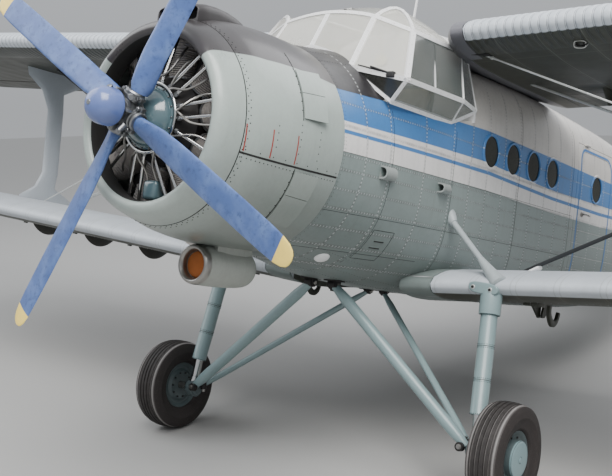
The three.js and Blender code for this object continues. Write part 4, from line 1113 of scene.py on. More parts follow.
cabin = hollow(hull("cabin_skin", 1.312, CABIN_END))
holes = [porthole(y, 0.6, 1.0) for y in LEFT_WINDOWS] + [porthole(y, -1.0, -0.6) for y in RIGHT_WINDOWS]
holes.append(prism("doorway", door_outline(*CARGO_DOOR), "x", 0.5, 1.0))
cut(cabin, joined("holes", holes))
cut(cabin, canopy_block("cockpit_room", 0.995))
cabin.data.materials.clear()
cabin.data.materials.append(hull_paint)
cabin.data.materials.append(cabin_lining)
for face in cabin.data.polygons:
    wide, low, high, power = hoop(min(max(face.center.y, 1.32), 6.89))
    outwards = Vector((face.center.x / wide, 0, (face.center.z - (high + low) / 2) / ((high - low) / 2)))
    face.material_index = 1 if face.normal.dot(outwards) < -0.15 else 0
print("cabin skin:", len(cabin.data.polygons), "faces")

# %% The middle of the upper wing lies across the roof, behind the cockpit
def rib_point(spec, x, t, side, share=1.0, grow=0.0, level_z=None, notch=0.0):
    """A point of a wing's section: t runs from nose to tail, side is 1 above and -1 below."""
    chord = spec["chord"] * share - notch
    form = 0.2969 * math.sqrt(t) - 0.126 * t - 0.3516 * t**2 + 0.2843 * t**3 - 0.1015 * t**4
    half = 5 * spec["thick"] * form + 0.0012
    across = (0.09 * t * (1 - t) + side * half) * chord + side * grow
    back = t * chord + (t - 0.5) * 2 * grow
    tilt = math.radians(spec["tilt"])
    lead = spec["lead"] + spec["chord"] * (1 - share) * 0.42 + notch
    z = spec["z"] + math.tan(math.radians(spec["rise"])) * x if level_z is None else level_z
    return (
        x, lead + back * math.cos(tilt) + across * math.sin(tilt),
        z - back * math.sin(tilt) + across * math.cos(tilt)
    )


def rib(spec, x, level_z, notch):
    """A closed wing section, with its points close together at the nose."""
    along = [(1 - math.cos(math.pi * i / 26)) / 2 for i in range(27)]
    upper = [rib_point(spec, x, t, 1, level_z=level_z, notch=notch) for t in along]
    return upper + [rib_point(spec, x, t, -1, level_z=level_z, notch=notch) for t in reversed(along[1:])]


root_z = UPPER["z"] + math.tan(math.radians(UPPER["rise"])) * UPPER["root"]
ROOT_NOTCH = eased([(0.56, 0.52, 0.035), (0.65, 0.34, 0.02), (0.75, 0.14, 0.008), (0.846, 0.0, 0.0)], 3)
middle_rows = [(x, notch, up) for x, notch, up in ROOT_NOTCH if x < 0.847]
middle_rows = [(-x, notch, up) for x, notch, up in reversed(middle_rows)] + middle_rows
middle_wing = capped(
    skin("middle_wing", [rib(UPPER, x * 0.9996, root_z + up, notch) for x, notch, up in middle_rows])
)
hollow(cut(middle_wing, canopy_block("cockpit_room", 0.995)))
fixed(middle_wing, root_paint)
fixed(cabin, hull_paint)
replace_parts(cabin, "fuselage_cabin", "fuselage_door_section")

# %% The tail cone behind the cabin
tail_cone = hull("tail_cone", CABIN_END + 0.0004, 11.15)
fixed(tail_cone, hull_paint)
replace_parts(tail_cone, "rear_fuselage")

# %% [markdown]
# ## Canopy
# White bars, each with a row of rivets, hold flat panes in front and at the sides, and bent ones in the
# roof. A blister of small panes at each sill lets the pilot look down. Each bar follows the line between
# two corners, and each pane fills the space between four.


# %% Bars of the frame, with a row of rivets on each
def out_from_heart(place, along):
    away = place - CANOPY_HEART
    along = along.normalized()
    return (away - along * away.dot(along)).normalized()


BAR_HEIGHT, BAR_SUNK = 0.005, 0.016
bar_heads = []


def canopy_bar(points, width, heads=True):
    """A flat bar along a line of places, and its rivets."""
    points = [Vector(point) for point in points]
    steps_ = []
    for a, b in zip(points, points[1:]):
        parts = max(1, int((b - a).length / 0.1))
        steps_ += [a + (b - a) * k / parts for k in range(parts)]
    steps_.append(points[-1])
    places = []
    for i, place in enumerate(steps_):
        along = steps_[min(i + 1, len(steps_) - 1)] - steps_[max(i - 1, 0)]
        places.append((place, out_from_heart(place, along)))
    if heads:
        for (place, normal), (later, _) in zip(places, places[1:]):
            bar_heads.append(((place + later) / 2 + normal * BAR_HEIGHT, normal))
    return ribbon("bar", places, width, BAR_HEIGHT, BAR_SUNK)


def corner(name):
    return Vector(CANOPY[name])


def arched(a, middle, b):
    """Places on a curve through three points."""
    a, middle, b = Vector(a), Vector(middle), Vector(b)
    pull = middle * 2 - (a + b) / 2
    return [a * (1 - t) ** 2 + pull * 2 * t * (1 - t) + b * t**2 for t in np.linspace(0, 1, 8)]


ROOF_ARCH = arched(CANOPY["front_top"], (0.57, 2.12, 1.218), CANOPY["side_top"])
HEADER = arched(CANOPY["nose_top"], (0.22, 1.992, 1.176), CANOPY["front_top"])
SILL = arched(CANOPY["nose_sill"], (0.25, 1.775, 0.79), CANOPY["front_sill"])
bars = [
    (HEADER, 0.04), (["front_top", "side_top"], 0.04), (["side_top", "middle_top"], 0.036),
    (["middle_top", "rear_top"], 0.03),
    (["front_sill", "front_top"], 0.046), (["side_sill", "side_top"], 0.046),
    (["middle_sill", "middle_top"], 0.024), (["rear_sill", "rear_top"], 0.02),
    (SILL, 0.036), (["front_sill", "side_sill"], 0.036), (["side_sill", "middle_sill"], 0.036),
    (["middle_sill", "rear_sill"], 0.03),
    (["front_sill", "blister_front"], 0.034), (["blister_front", "blister_rear"], 0.044),
    (["blister_rear", "rear_sill"], 0.04),
    (["side_sill", "blister_front"], 0.026), (["middle_sill", "blister_rear"], 0.02), (ROOF_ARCH, 0.03),
    (["front_top", "roof_front", "roof_rear"], 0.034), (["nose_top", "ridge_front", "ridge_rear"], 0.04),
]
frame_pieces = []
for points, width in bars:
    line = [corner(point) if isinstance(point, str) else point for point in points]
    frame_pieces.append(canopy_bar(line, width))
side_post = [(0.684, 2.5, 1.05), (0.922, 2.2, 0.598)]
frame_pieces.append(canopy_bar(side_post, 0.016, heads=False))
frame_pieces += [mirrored(piece, "bar") for piece in list(frame_pieces)]
frame_pieces.append(canopy_bar([CANOPY["nose_sill"], CANOPY["nose_top"]], 0.044))
rear_wall = []
for y in (3.02, 3.04):
    rear_wall.append(
        [
            (x, y, z)
            for x, z in [
                (-0.834, 0.5), (-0.834, 0.6), (-0.712, 1.0), (-0.6, 1.19), (-0.33, 1.285), (0.33, 1.285),
                (0.6, 1.19), (0.712, 1.0), (0.834, 0.6), (0.834, 0.5)
            ]
        ]
    )
frame_pieces.append(capped(skin("rear_wall", rear_wall)))
canopy_frame = fixed(joined("canopy_bars", frame_pieces), white_paint, crease=30)
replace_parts(canopy_frame, "canopy_frame")
bar_heads += [
    ((-place.x, place.y, place.z), (-normal.x, normal.y, normal.z)) for place, normal in list(bar_heads)
]
fixed(rivets("canopy_rivets", bar_heads, 0.005), cast_metal, crease=60)


# %% Panes
def pane(rows):
    """A thin sheet through rows of places, on each side."""
    sides = [[[(x * side, y, z) for x, y, z in row] for row in rows] for side in (1, -1)]
    return [thickened(skin("pane", places, ring=False), 0.004) for places in sides]


def flat(a, b, c, d=None):
    """Rows of a pane with three or four straight edges."""
    a, b, c, d = (corner(name) if isinstance(name, str) else Vector(name) for name in (a, b, c, d or c))
    return [[a + (b - a) * t for t in (0, 1)], [d + (c - d) * t for t in (0, 1)]]


def between(low_line, high_line):
    """Rows of a pane between two bent edges."""
    return [
        [Vector(a) + (Vector(b) - Vector(a)) * t for a, b in zip(low_line, high_line)] for t in (0, 0.5, 1)
    ]


ROOF_ROWS = [
    ROOF_ARCH,
    arched((0.42, 2.32, 1.254), (0.592, 2.32, 1.2), (0.722, 2.36, 1.045)),
    arched((0.395, 2.56, 1.262), (0.58, 2.56, 1.198), (0.71, 2.6, 1.056)),
    arched((0.365, 2.8, 1.262), (0.56, 2.8, 1.178), (0.697, 2.84, 1.07)),
    arched((0.33, 3.03, 1.255), (0.53, 3.03, 1.15), (0.69, 3.03, 1.05)),
]
ROOF_INNER = [
    arched((0, 1.985, 1.188), (0.22, 1.992, 1.174), (0.437, 2.0, 1.133)),
    arched((0, 2.26, 1.298), (0.22, 2.275, 1.292), (0.42, 2.3, 1.26)),
    arched((0, 2.66, 1.3), (0.2, 2.66, 1.292), (0.38, 2.66, 1.262)),
    arched((0, 3.036, 1.296), (0.17, 3.036, 1.286), (0.33, 3.036, 1.255)),
]
front_panes = pane(between(SILL, HEADER)) + pane(flat("front_sill", "side_sill", "side_top", "front_top"))
roof_panes = pane(ROOF_ROWS) + pane(ROOF_INNER) + pane(
    between(
        [corner("front_top") + (corner("side_top") - corner("front_top")) * t for t in np.linspace(0, 1, 8)],
        ROOF_ARCH
    )
)
canopy_front = fixed(joined("canopy_front_panes", front_panes + roof_panes), canopy_pane, crease=40)
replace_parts(canopy_front, "canopy_glass")
side_panes = pane(
    flat("side_sill", "middle_sill", "middle_top", "side_top")
) + pane(flat("middle_sill", "rear_sill", "rear_top", "middle_top"))
blister_panes = [
    painted(piece, blister_dark) for piece in pane(flat("front_sill", "side_sill", "blister_front"))
]
clear_panes = pane(
    flat("side_sill", "middle_sill", "blister_rear", "blister_front")
) + pane(flat("middle_sill", "rear_sill", "blister_rear"))
blister_panes += [painted(piece, blister_pane) for piece in clear_panes]
fixed(joined("canopy_side_panes", side_panes), side_pane, crease=40)
fixed(joined("canopy_blister_panes", blister_panes), blister_pane, crease=40)

# %% Wipers, the aerial mast and the compass behind the screen
wiper = []
for side in (1, -1):
    foot, tip = Vector((0.79 * side, 1.768, 0.628)), Vector((0.536 * side, 1.706, 0.684))
    wiper.append(rod("blade", tip, foot + (tip - foot) * 0.06, 0.0055, sides=8))
    wiper.append(rod("arm", foot, foot + (tip - foot) * 0.6 + Vector((0, -0.012, 0.012)), 0.0065, sides=8))
    wiper.append(
        block("motor", foot - Vector((0.032, 0.016, 0.03)), foot + Vector((0.032, 0.026, 0.014)), 0.008, 3)
    )
fixed(joined("canopy_wipers", wiper), panel_black)
mast = rod("aerial_mast", (0, 3.2, 1.08), (0, 3.29, 1.96), 0.024, 0.009, 20)
mast.data.transform(Matrix.Scale(0.62, 4, (1, 0, 0)))
collar = rod("mast_collar", (0, 3.205, 1.09), (0, 3.212, 1.135), 0.052, 0.034, 24)
fixed(joined("aerial_mast", [mast, collar]), white_paint)
compass = [
    turned(
        "compass", [(0, -0.035), (0.03, -0.032), (0.046, -0.015), (0.05, 0.0), (0.046, 0.018), (0.0, 0.024)],
        24
    )
]
compass[0] = stand(compass[0], (0.5, 2.06, 0.8), (0.3, -1, 0.15))
compass.append(rod("compass_stem", (0.5, 2.06, 0.835), (0.47, 2.06, 1.02), 0.006, sides=8))
fixed(joined("screen_compass", compass), fan_cream)

# %% [markdown]
# ## Windows and doors
# Each round window has a painted ring round a dark pane. The cargo door is one panel of the same hull
# skin, and the entry door is cut out of it, so both follow the body's curve. Every door edge is a thin
# dark gap, and a blue line is painted round the entry door.

# %% Round windows
RUBBER = eased(
    [(0.132, 0.006), (0.135, 0.0115), (0.143, 0.0135), (0.152, 0.0125), (0.158, 0.006), (0.158, -0.006)], 3
) + [(0.132, -0.006)]


def window_parts(y, side):
    """Rubber ring and pane at one window, tipped to the skin."""
    place, normal = side_place(y, WINDOW_Z, side)
    ring_ = stand(turned("rubber", RUBBER, 40, closed=True), place - normal * 0.004, normal)
    glass = stand(
        turned("pane", [(0, -0.004), (0.136, -0.004), (0.136, 0.001), (0, 0.001)], 40),
        place - normal * 0.004, normal
    )
    return ring_, glass


for side, places in ((1, LEFT_WINDOWS), (-1, RIGHT_WINDOWS)):
    label = "left" if side > 0 else "right"
    parts = [window_parts(y, side) for y in places]
    fixed(joined("window_rubbers_" + label, [ring_ for ring_, _ in parts]), hull_paint, crease=50)
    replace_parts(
        fixed(joined("window_panes_" + label, [glass for _, glass in parts]), cabin_pane),
        "cabin_glass_" + label
    )

# %% The cargo door and the entry door
DOOR_GAP = 0.005
leaf = hollow(hull("cargo_leaf", 5.2, 6.88))
cut(leaf, prism("edge", door_outline(*CARGO_DOOR, gap=DOOR_GAP, bend=8), "x", 0.3, 1.0), "INTERSECT")
entry_leaf = copied(leaf, "entry_leaf", Matrix())
cut(leaf, prism("edge", door_outline(*ENTRY_DOOR, bend=14), "x", 0.3, 1.0))
cut(entry_leaf, prism("edge", door_outline(*ENTRY_DOOR, gap=DOOR_GAP, bend=14), "x", 0.3, 1.0), "INTERSECT")
cut(entry_leaf, porthole(DOOR_WINDOW_Y, 0.6, 1.0))
hinge_parts = [leaf]
for y in (5.56, 6.54):
    hinge_parts.append(rod("hinge", (0.806, y - 0.055, 0.742), (0.806, y + 0.055, 0.742), 0.013, sides=16))
done(joined("cargo_door_skin", hinge_parts), "cargo_door", hull_paint, crease=35)
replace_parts(bpy.data.objects["cargo_door_skin"], "cargo_door")
ring_, glass = window_parts(DOOR_WINDOW_Y, 1)
done(
    painted(ring_, hull_paint), "entry_door", hull_paint, crease=50
).name = "entry_window_rubber"
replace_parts(done(joined("entry_window_pane", [glass]), "entry_door", cabin_pane), "entry_door_glass")
done(entry_leaf, "entry_door", hull_paint, crease=35)
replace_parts(entry_leaf, "entry_door")


def on_side(outline, side=1, pitch=0.04):
    """(point, normal) places on the skin along a flat outline of (y, z) points."""
    places = []
    for (y0, z0), (y1, z1) in zip(outline, outline[1:]):
        count = max(1, int(math.hypot(y1 - y0, z1 - z0) / pitch))
        places += [
            side_place(y0 + (y1 - y0) * k / count, z0 + (z1 - z0) * k / count, side) for k in range(count)
        ]
    return [*places, side_place(*outline[-1], side)]


border = door_outline(*ENTRY_DOOR, gap=-0.018, bend=10)
border = [border[1], *border[2:], border[0]]
border = [(y, max(z, -0.7)) for y, z in border]
done(ribbon("entry_door_line", on_side(border), 0.026, 0.001), "cargo_door", door_blue)
handle = [turned("rose", [(0, -0.004), (0.03, -0.004), (0.03, 0.006), (0.022, 0.012), (0, 0.012)], 24)]
place, normal = side_place(5.52, 0.028)
handle[0] = stand(handle[0], place, normal)
handle.append(
    pipe(
        "lever",
        [
            place + normal * d + Vector((0, y, z))
            for d, y, z in (
                (0.0, 0, 0), (0.035, 0, 0), (0.045, 0.01, 0), (0.045, 0.06, -0.004), (0.043, 0.115, -0.006)
            )
        ],
        0.009, 10
    )
)
done(joined("entry_door_handle", handle), "entry_door", bare_steel)
step = [
    rod("rung", (0.735, y, -0.835), (0.815, y, -0.835), 0.012, sides=12) for y in (5.62, 6.02)
] + [rod("tread", (0.815, 5.6, -0.835), (0.815, 6.04, -0.835), 0.014, sides=12)]
fixed(joined("door_sill_step", step), bare_steel)

# %% [markdown]
# ## Side scoops, hatch and small fittings
# Two small air scoops on each side face forward. Behind the engine a hinged hatch with two slots lies
# low on the side, and a pale oval cap sits further forward.

# %% Scoops
def side_scoop(y0, y1, z, wide, side):
    """A half-round hood with a dark mouth, laid on the side."""
    rows, mouth = [], []
    for share in (0.0, 0.08, 0.5, 0.8, 1.0):
        y = y0 + (y1 - y0) * share
        rise = 0.072 * (1 - 0.12 * share) if share < 0.9 else 0.004
        foot, normal = side_place(y, z, side)
        ring_ = []
        for k in range(13):
            t = math.pi * k / 12
            lift_ = rise * math.sin(t) ** 0.6 - 0.004
            ring_.append(foot + Vector((0, 0, wide / 2 * math.cos(t))) + normal * lift_)
        rows.append(ring_)
    hood = capped(skin("hood", rows))
    foot, normal = side_place(y0 + 0.02, z, side)
    front = foot - Vector((0, 0.05, 0))
    tube_ = [
        [
            front + Vector(
                (0, dy, (wide / 2 - 0.012) * math.cos(t))
            ) + normal * (0.058 * math.sin(t) ** 0.6 - 0.001)
            for t in np.linspace(0, math.pi, 13)
        ]
        for dy in (0, 0.15)
    ]
    cut(hood, capped(skin("mouth", tube_)))
    shade_ = [
        [
            front + Vector(
                (0, dy, (wide / 2 - 0.01) * math.cos(t))
            ) + normal * (0.06 * math.sin(t) ** 0.6 - 0.002)
            for t in np.linspace(0, math.pi, 13)
        ]
        for dy in (0.135, 0.139)
    ]
    return hood, painted(capped(skin("shade", shade_)), dark_seam_and_shade)


hoods, shades = [], []
for side in (1, -1):
    for y0, y1, z, wide in ((1.77, 1.945, -0.097, 0.098), (2.56, 2.71, -0.1, 0.082)):
        hood, shade_ = side_scoop(y0, y1, z, wide, side)
        hoods.append(hood)
        shades.append(shade_)
fixed(joined("side_scoops", hoods), cowl_side_paint, crease=40)
fixed(joined("side_scoop_shades", shades), dark_seam_and_shade)

# %% Hatch with its slots, and the oval cap
fittings, dark_lines = [], []
for side in (1, -1):
    loop = [(1.926, -0.512), (2.151, -0.512), (2.151, -0.735), (1.926, -0.735), (1.926, -0.512)]
    dark_lines.append(ribbon("hatch_edge", on_side(loop, side), 0.004, 0.001))
    for z in (-0.59, -0.64):
        slot_ = on_side([(1.99, z), (2.09, z)], side)
        fittings.append(painted(ribbon("slot_lip", slot_, 0.022, 0.0022), hull_paint))
        # Each slot is a dark strip: painted shade in the opening.
        dark_lines.append(
            ribbon(
                "slot", [(point - Vector((0, 0, 0.003)), normal) for point, normal in slot_], 0.008, 0.0032
            )
        )
    place, normal = side_place(1.73, -0.76, side)
    cap = stand(
        turned(
            "cap",
            eased([(0, 0.02), (0.03, 0.018), (0.052, 0.01), (0.06, 0.0)]) + [(0.06, -0.006), (0, -0.006)], 28
        ),
        place, normal
    )
    fittings.append(painted(cap, white_paint))
    for y, z in ((6.98, 0.02), (7.1, 0.02)):
        place, normal = side_place(y, z, side)
        fittings.append(
            stand(turned("boss", [(0, 0.01), (0.014, 0.008), (0.02, -0.004), (0, -0.004)], 16), place, normal)
        )
fixed(joined("hatch_fittings", fittings), cowl_side_paint, crease=40)

# %% [markdown]
# ## Seams and rivets of the body
# Frames stand about 0.3 m apart and stringers about 0.13 m. Each shows as a row of heads, and the sheets
# overlap along a few of them.

# %% Where the rows run
FRAMES = [*RIVET_FRAMES, *np.arange(CABIN_FRAME, 6.85, FRAME_PITCH)]
SHEET_EDGES = [1.876, 2.75, 3.96, 5.18, 6.87]
ROOF_TURNS = [54, 64, 76, 90, 104, 116, 126]
HEAD_OUT = 0.0005


def skin_cut(y, z, side):
    """Whether a window, a door or the canopy takes the skin away at a place."""
    near_window = any(
        math.hypot(y - at, z - WINDOW_Z) < 0.185 for at in (LEFT_WINDOWS if side > 0 else RIGHT_WINDOWS)
    )
    in_door = side > 0 and CARGO_DOOR[0] - 0.02 < y < CARGO_DOOR[1] + 0.02 and z < CARGO_DOOR[3] + 0.03
    in_canopy = 1.66 < y < 3.06 and z > 0.42
    in_wing = (2.56 < y < 4.65 and z < -0.79) or (y > 2.4 and z > 0.86)
    return near_window or in_door or in_canopy or in_wing


heads = []
for side in (1, -1):
    for y in FRAMES:
        top = 0.4 if y < 3.05 else 0.84
        doubled = (y, y + 0.022) if any(abs(y - edge) < 0.02 for edge in SHEET_EDGES) else (y,)
        for row_y in doubled:
            heads += [
                side_place(row_y, z, side, HEAD_OUT)
                for z in np.arange(-0.8, top, RIVET_PITCH)
                if not skin_cut(row_y, z, side)
            ]
    for z in RIVET_LINES:
        last = 6.85 if z > -0.7 else 6.2
        for y in np.arange(1.33, last, RIVET_PITCH):
            if not skin_cut(y, z, side):
                heads.append(side_place(y, z, side, HEAD_OUT))
    for y in [1.325, 1.345]:
        heads += [side_place(y, z, side, HEAD_OUT) for z in np.arange(-0.7, 0.66, 0.026)]
    for y in (LEFT_WINDOWS if side > 0 else RIGHT_WINDOWS):
        heads += [
            side_place(y + 0.172 * math.cos(t), WINDOW_Z + 0.172 * math.sin(t), side, HEAD_OUT)
            for t in np.linspace(0, 2 * math.pi, 25)[:-1]
        ]
fixed(rivets("side_rivets", heads, 0.0046), rivet_paint, crease=60)
print("rivets on the sides:", len(heads))


def round_place(y, turn, out=0.0):
    """A place on the skin by its turn in degrees from the left side, and the way it faces."""
    t = math.radians(turn)
    at = Vector(hull_point(y, t))
    normal = (
        Vector(hull_point(y, t + 0.02)) - Vector(hull_point(y, t - 0.02))
    ).cross(Vector(hull_point(y + 0.02, t)) - at)
    normal.normalize()
    if normal.dot(Vector((at.x, 0, at.z))) < 0:
        normal.negate()
    return at + normal * out, normal


tail_heads, belly_heads = [], []
for y in np.arange(7.26, 11.0, FRAME_PITCH):
    tail_heads += [
        round_place(y, turn, HEAD_OUT)
        for turn in np.arange(0, 360, 360 / max(60, int(2 * math.pi * hoop(y)[0] / RIVET_PITCH)))
    ]
for turn in range(0, 360, 12):
    tail_heads += [round_place(y, turn, HEAD_OUT) for y in np.arange(6.95, 11.1, RIVET_PITCH * 1.25)]
fixed(rivets("tail_cone_rivets", tail_heads, 0.0046), rivet_paint, crease=60)
for turn in (236, 248, 260, 280, 292, 304):
    belly_heads += [round_place(y, turn, HEAD_OUT) for y in np.arange(1.34, 6.85, RIVET_PITCH * 1.1)]
for turn in ROOF_TURNS:
    belly_heads += [round_place(y, turn, HEAD_OUT) for y in np.arange(4.95, 6.85, RIVET_PITCH * 1.1)]
    belly_heads += [round_place(y, turn, HEAD_OUT) for y in np.arange(1.34, 1.7, RIVET_PITCH)]
for y in FRAMES:
    belly_heads += [round_place(y, turn, HEAD_OUT) for turn in np.arange(232, 308, 1.9)]
    if y > 4.95:
        belly_heads += [round_place(y, turn, HEAD_OUT) for turn in np.arange(52, 129, 1.9)]
fixed(rivets("belly_and_roof_rivets", belly_heads, 0.0046), rivet_paint, crease=60)

# %% Overlapping sheet edges
for side in (1, -1):
    for y in SHEET_EDGES:
        top = 0.4 if y < 3.05 else 0.84
        line = [(y + 0.034, z) for z in np.arange(-0.82, top, 0.05) if not skin_cut(y, z, side)]
        if len(line) > 2:
            dark_lines.append(ribbon("sheet_edge", [side_place(a, b, side) for a, b in line], 0.0032, 0.0008))
    for z, last in ((-0.43, 5.28), (-0.02, 5.28), (-0.7, 2.56)):
        dark_lines.append(ribbon("sheet_edge", on_side([(1.32, z), (last, z)], side, 0.08), 0.003, 0.0008))
dark_lines.append(
    ribbon("tail_joint", [round_place(6.905, turn) for turn in np.linspace(0, 360, 73)], 0.006, 0.001)
)
fixed(joined("sheet_edges", dark_lines), dark_seam_and_shade)

# %% [markdown]
# ## Cowling
# The cowling is spun sheet: a fat rounded nose ring, then panels that swell towards the engine's middle.
# It is turned about the thrust line from one section. The panels have four flaps that are hinged at
# their front edge and stand a little open at the back, and a dark seam along each side.


# %% The nose ring and the panels
def about_thrust(piece):
    return stand(piece, (0, 0, 0), (0, 1, 0))


RING_OUTER = [
    (0.544, 0.262), (0.545, 0.222), (0.557, 0.188), (0.584, 0.171), (0.614, 0.18), (0.64, 0.206),
    (0.664, 0.262), (0.69, 0.3586)
]
RING_INNER = [(0.674, 0.3586), (0.64, 0.25), (0.6, 0.205), (0.57, 0.24), (0.566, 0.33), (0.556, 0.34)]
ring = about_thrust(turned("cowl_ring", eased(RING_OUTER) + RING_INNER, 112, closed=True))
ring.data.materials.append(cowl_paint)
ring.data.materials.append(dark_seam_and_shade)
# The ring's inner wall behind its lip is painted dark: painted shade inside the cowling.
for face in ring.data.polygons:
    face.material_index = int(face.center.y > 0.198 and math.hypot(face.center.x, face.center.z) < 0.572)
fixed(ring, cowl_paint, crease=50)
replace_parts(ring, "cowl_nose_ring")

COWL_LINE = [
    (0.69, 0.3606), (0.716, 0.44), (0.739, 0.53), (0.767, 0.72), (0.781, 0.93), (0.783, 1.12), (0.779, 1.3092)
]
COWL_WALL = 0.016
panels = about_thrust(
    turned(
        "cowl_skin", eased(COWL_LINE) + [(r - COWL_WALL, y) for r, y in reversed(COWL_LINE)], 112, closed=True
    )
)
fixed(panels, cowl_paint, crease=50)
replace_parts(panels, "cowl_panels")


def on_cowl(y, turn, out=0.0):
    """A place on the cowling, turn degrees from the top towards the left, and the way it faces there."""
    line = eased(COWL_LINE)
    radius = float(np.interp(y, [row[1] for row in line], [row[0] for row in line]))
    slope = float(np.interp(y + 0.01, [row[1] for row in line], [row[0] for row in line])) - radius
    t = math.radians(turn)
    normal = Vector((math.sin(t), -slope * 100, math.cos(t))).normalized()
    return Vector((radius * math.sin(t), y, radius * math.cos(t))) + normal * out, normal


# %% The raised flaps, each in two leaves with a seam between them
def cowl_leaf(name, y0, y1, turn0, turn1, lift):
    """A curved plate on the cowling that stands off at its rear edge."""
    rows = []
    for y in np.linspace(y0, y1, 5):
        off = 0.006 + lift * (y - y0) / (y1 - y0)
        rows.append([on_cowl(y, turn, off)[0] for turn in np.linspace(turn0, turn1, 12)])
    return thickened(skin(name, rows, ring=False), 0.005)


# Flaps: side, front, rear, upper edge, seam, lower edge, in metres and degrees from the top
COWL_FLAPS = [
    ("left_upper", 0.845, 1.062, 55.5, 68.3, 81.3), ("left_lower", 0.845, 1.062, 107.5, 120.0, 137.0),
    ("right_upper", 0.845, 1.062, -81.3, -68.3, -55.5), ("right_lower", 0.845, 1.062, -137.0, -120.0, -107.5),
]
for side, front, rear, upper, middle, lower in COWL_FLAPS:
    leaves = [
        cowl_leaf("leaf", front, rear, upper, middle - 0.15, 0.026),
        cowl_leaf("leaf", front, rear, middle + 0.15, lower, 0.026)
    ]
    fixed(joined("cowl_flap_" + side, leaves), cowl_paint, crease=30)
    # A dark sheet under each flap is painted shade in the gap below it.
    inside = [
        painted(cowl_leaf("shade", front + 0.01, rear - 0.012, upper + 0.4, lower - 0.4, 0.019), dark_seam_and_shade)
    ]
    fixed(joined("cowl_flap_gap_" + side, inside), dark_seam_and_shade)

# %% Seams, red aligning marks and fasteners of the cowling
SIDE_SEAM_TURN = 105.6
seams = [
    ribbon("seam", [on_cowl(y, sign * SIDE_SEAM_TURN) for y in np.linspace(0.362, 1.3, 24)], 0.013, 0.0012)
    for sign in (1, -1)
]
hinge_lines = [(44, 82.5), (106.5, 138), (-82.5, -44), (-138, -106.5)]
seams += [
    ribbon("seam", [on_cowl(0.838, turn) for turn in np.linspace(a, b, 20)], 0.006, 0.0012)
    for a, b in hinge_lines
]
seams.append(ribbon("seam", [on_cowl(0.3625, turn) for turn in np.linspace(0, 360, 97)], 0.006, 0.0014))
fixed(joined("cowl_seams", seams), dark_seam_and_shade)
marks = [
    ribbon(
        "mark", [on_cowl(y - 0.012 * (104.5 - turn) / 15, turn) for turn in np.linspace(90.5, 104.5, 8)],
        0.009, 0.0012
    )
    for y in (0.385, 0.59, 0.815)
]
marks += [mirrored(mark, "mark") for mark in list(marks)]
fixed(joined("cowl_aligning_marks", marks), warning_red)

fasteners = []
for turn in np.arange(0, 360, 4.0):
    fasteners += [on_cowl(0.378, turn), on_cowl(0.395, turn + 2)]
for sign in (1, -1):
    fasteners += [on_cowl(y, sign * (SIDE_SEAM_TURN + 2.2)) for y in np.arange(0.39, 1.29, 0.034)]
    fasteners += [on_cowl(y, sign * (SIDE_SEAM_TURN - 2.0)) for y in np.arange(0.4, 1.29, 0.11)]
    fasteners += [on_cowl(0.83, sign * turn) for turn in np.arange(46, 82, 4.5)]
    fasteners += [on_cowl(0.83, sign * turn) for turn in np.arange(109, 137, 4.5)]
    fasteners += [
        on_cowl(y, sign * turn)
        for y, a, b in ((0.62, 88, 102), (0.83, 85, 102), (1.03, 86, 103))
        for turn in np.arange(a, b, 3.5)
    ]
fixed(rivets("cowl_fasteners", fasteners, 0.0048), dark_metal, crease=60)

# %% [markdown]
# ## Air ducts
# The scoop on top takes air for the carburettor. The round duct below cools the oil, and a cloth plug
# closes it on the ground.

# %% The top scoop, from a grid laid on rounded hoops
def scoop_ring(y, wide, low, high, power=3.2):
    return [(u, y, (high + low) / 2 + v) for u, v in oblong(wide, (high - low) / 2, power=power)]


# Place along the body, half width and top; all stand on the same foot
SCOOP_FOOT = 0.6
SCOOP_ROWS = [
    (0.345, 0.188, 0.778), (0.358, 0.195, 0.787), (0.45, 0.19, 0.812), (0.56, 0.178, 0.824),
    (0.68, 0.165, 0.824), (0.78, 0.148, 0.815), (0.87, 0.124, 0.801), (0.94, 0.092, 0.785),
]
scoop = capped(skin("top_scoop", [scoop_ring(y, wide, SCOOP_FOOT, top, 4.4) for y, wide, top in SCOOP_ROWS]))
cut(scoop, capped(skin("mouth", [scoop_ring(y, 0.176, 0.676, 0.768, power=6) for y in (0.3, 0.38, 0.46)])))
fixed(scoop, finish("scoop_paint", (56, 53, 54), 0.42, 0.14, 0.08), crease=45)
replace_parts(scoop, "intake_scoop")
fixed(
    capped(skin("scoop_shade", [scoop_ring(y, 0.178, 0.676, 0.77, power=6) for y in (0.452, 0.464)])),
    dark_seam_and_shade
)

# %% The oil cooler's duct with its plug
DUCT_Z = -0.915
duct_section = eased([
    (0.098, 0.8), (0.104, 0.775), (0.12, 0.762), (0.134, 0.771), (0.141, 0.812), (0.1465, 0.93),
    (0.147, 1.06),
    (0.143, 1.2), (0.132, 1.29), (0.105, 1.335),
]) + [(0.0, 1.34)]
duct_inner = [(0.0, 1.0), (0.094, 1.0), (0.095, 0.86)]
duct = stand(turned("oil_duct", duct_inner + duct_section, 56), (0, 0, DUCT_Z), (0, 1, 0))
neck = [
    scoop_ring(y, wide, low, -0.62)
    for y, wide, low in ((0.9, 0.105, -0.85), (1.05, 0.118, -0.9), (1.2, 0.112, -0.92), (1.285, 0.09, -0.92))
]
neck = capped(skin("duct_neck", neck))
duct = fixed(joined("oil_duct", [duct, neck]), duct_paint, crease=45)
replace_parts(duct, "oil_cooler_duct")
lip = stand(
    turned(
        "duct_lip",
        eased(
            [
                (0.0965, 0.812), (0.101, 0.779), (0.119, 0.7595), (0.136, 0.77), (0.1425, 0.806),
                (0.1405, 0.812), (0.12, 0.768), (0.0965, 0.812)
            ]
        ),
        56
    ),
    (0, 0, DUCT_Z), (0, 1, 0)
)
fixed(lip, bare_steel, crease=60)
plug = stand(
    turned(
        "duct_plug",
        eased([(0, 0.803), (0.06, 0.805), (0.088, 0.812), (0.0955, 0.828), (0.0955, 0.862)]) + [(0, 0.864)],
        40
    ),
    (0, 0, DUCT_Z), (0, 1, 0)
)
fixed(plug, plug_cloth, crease=60)

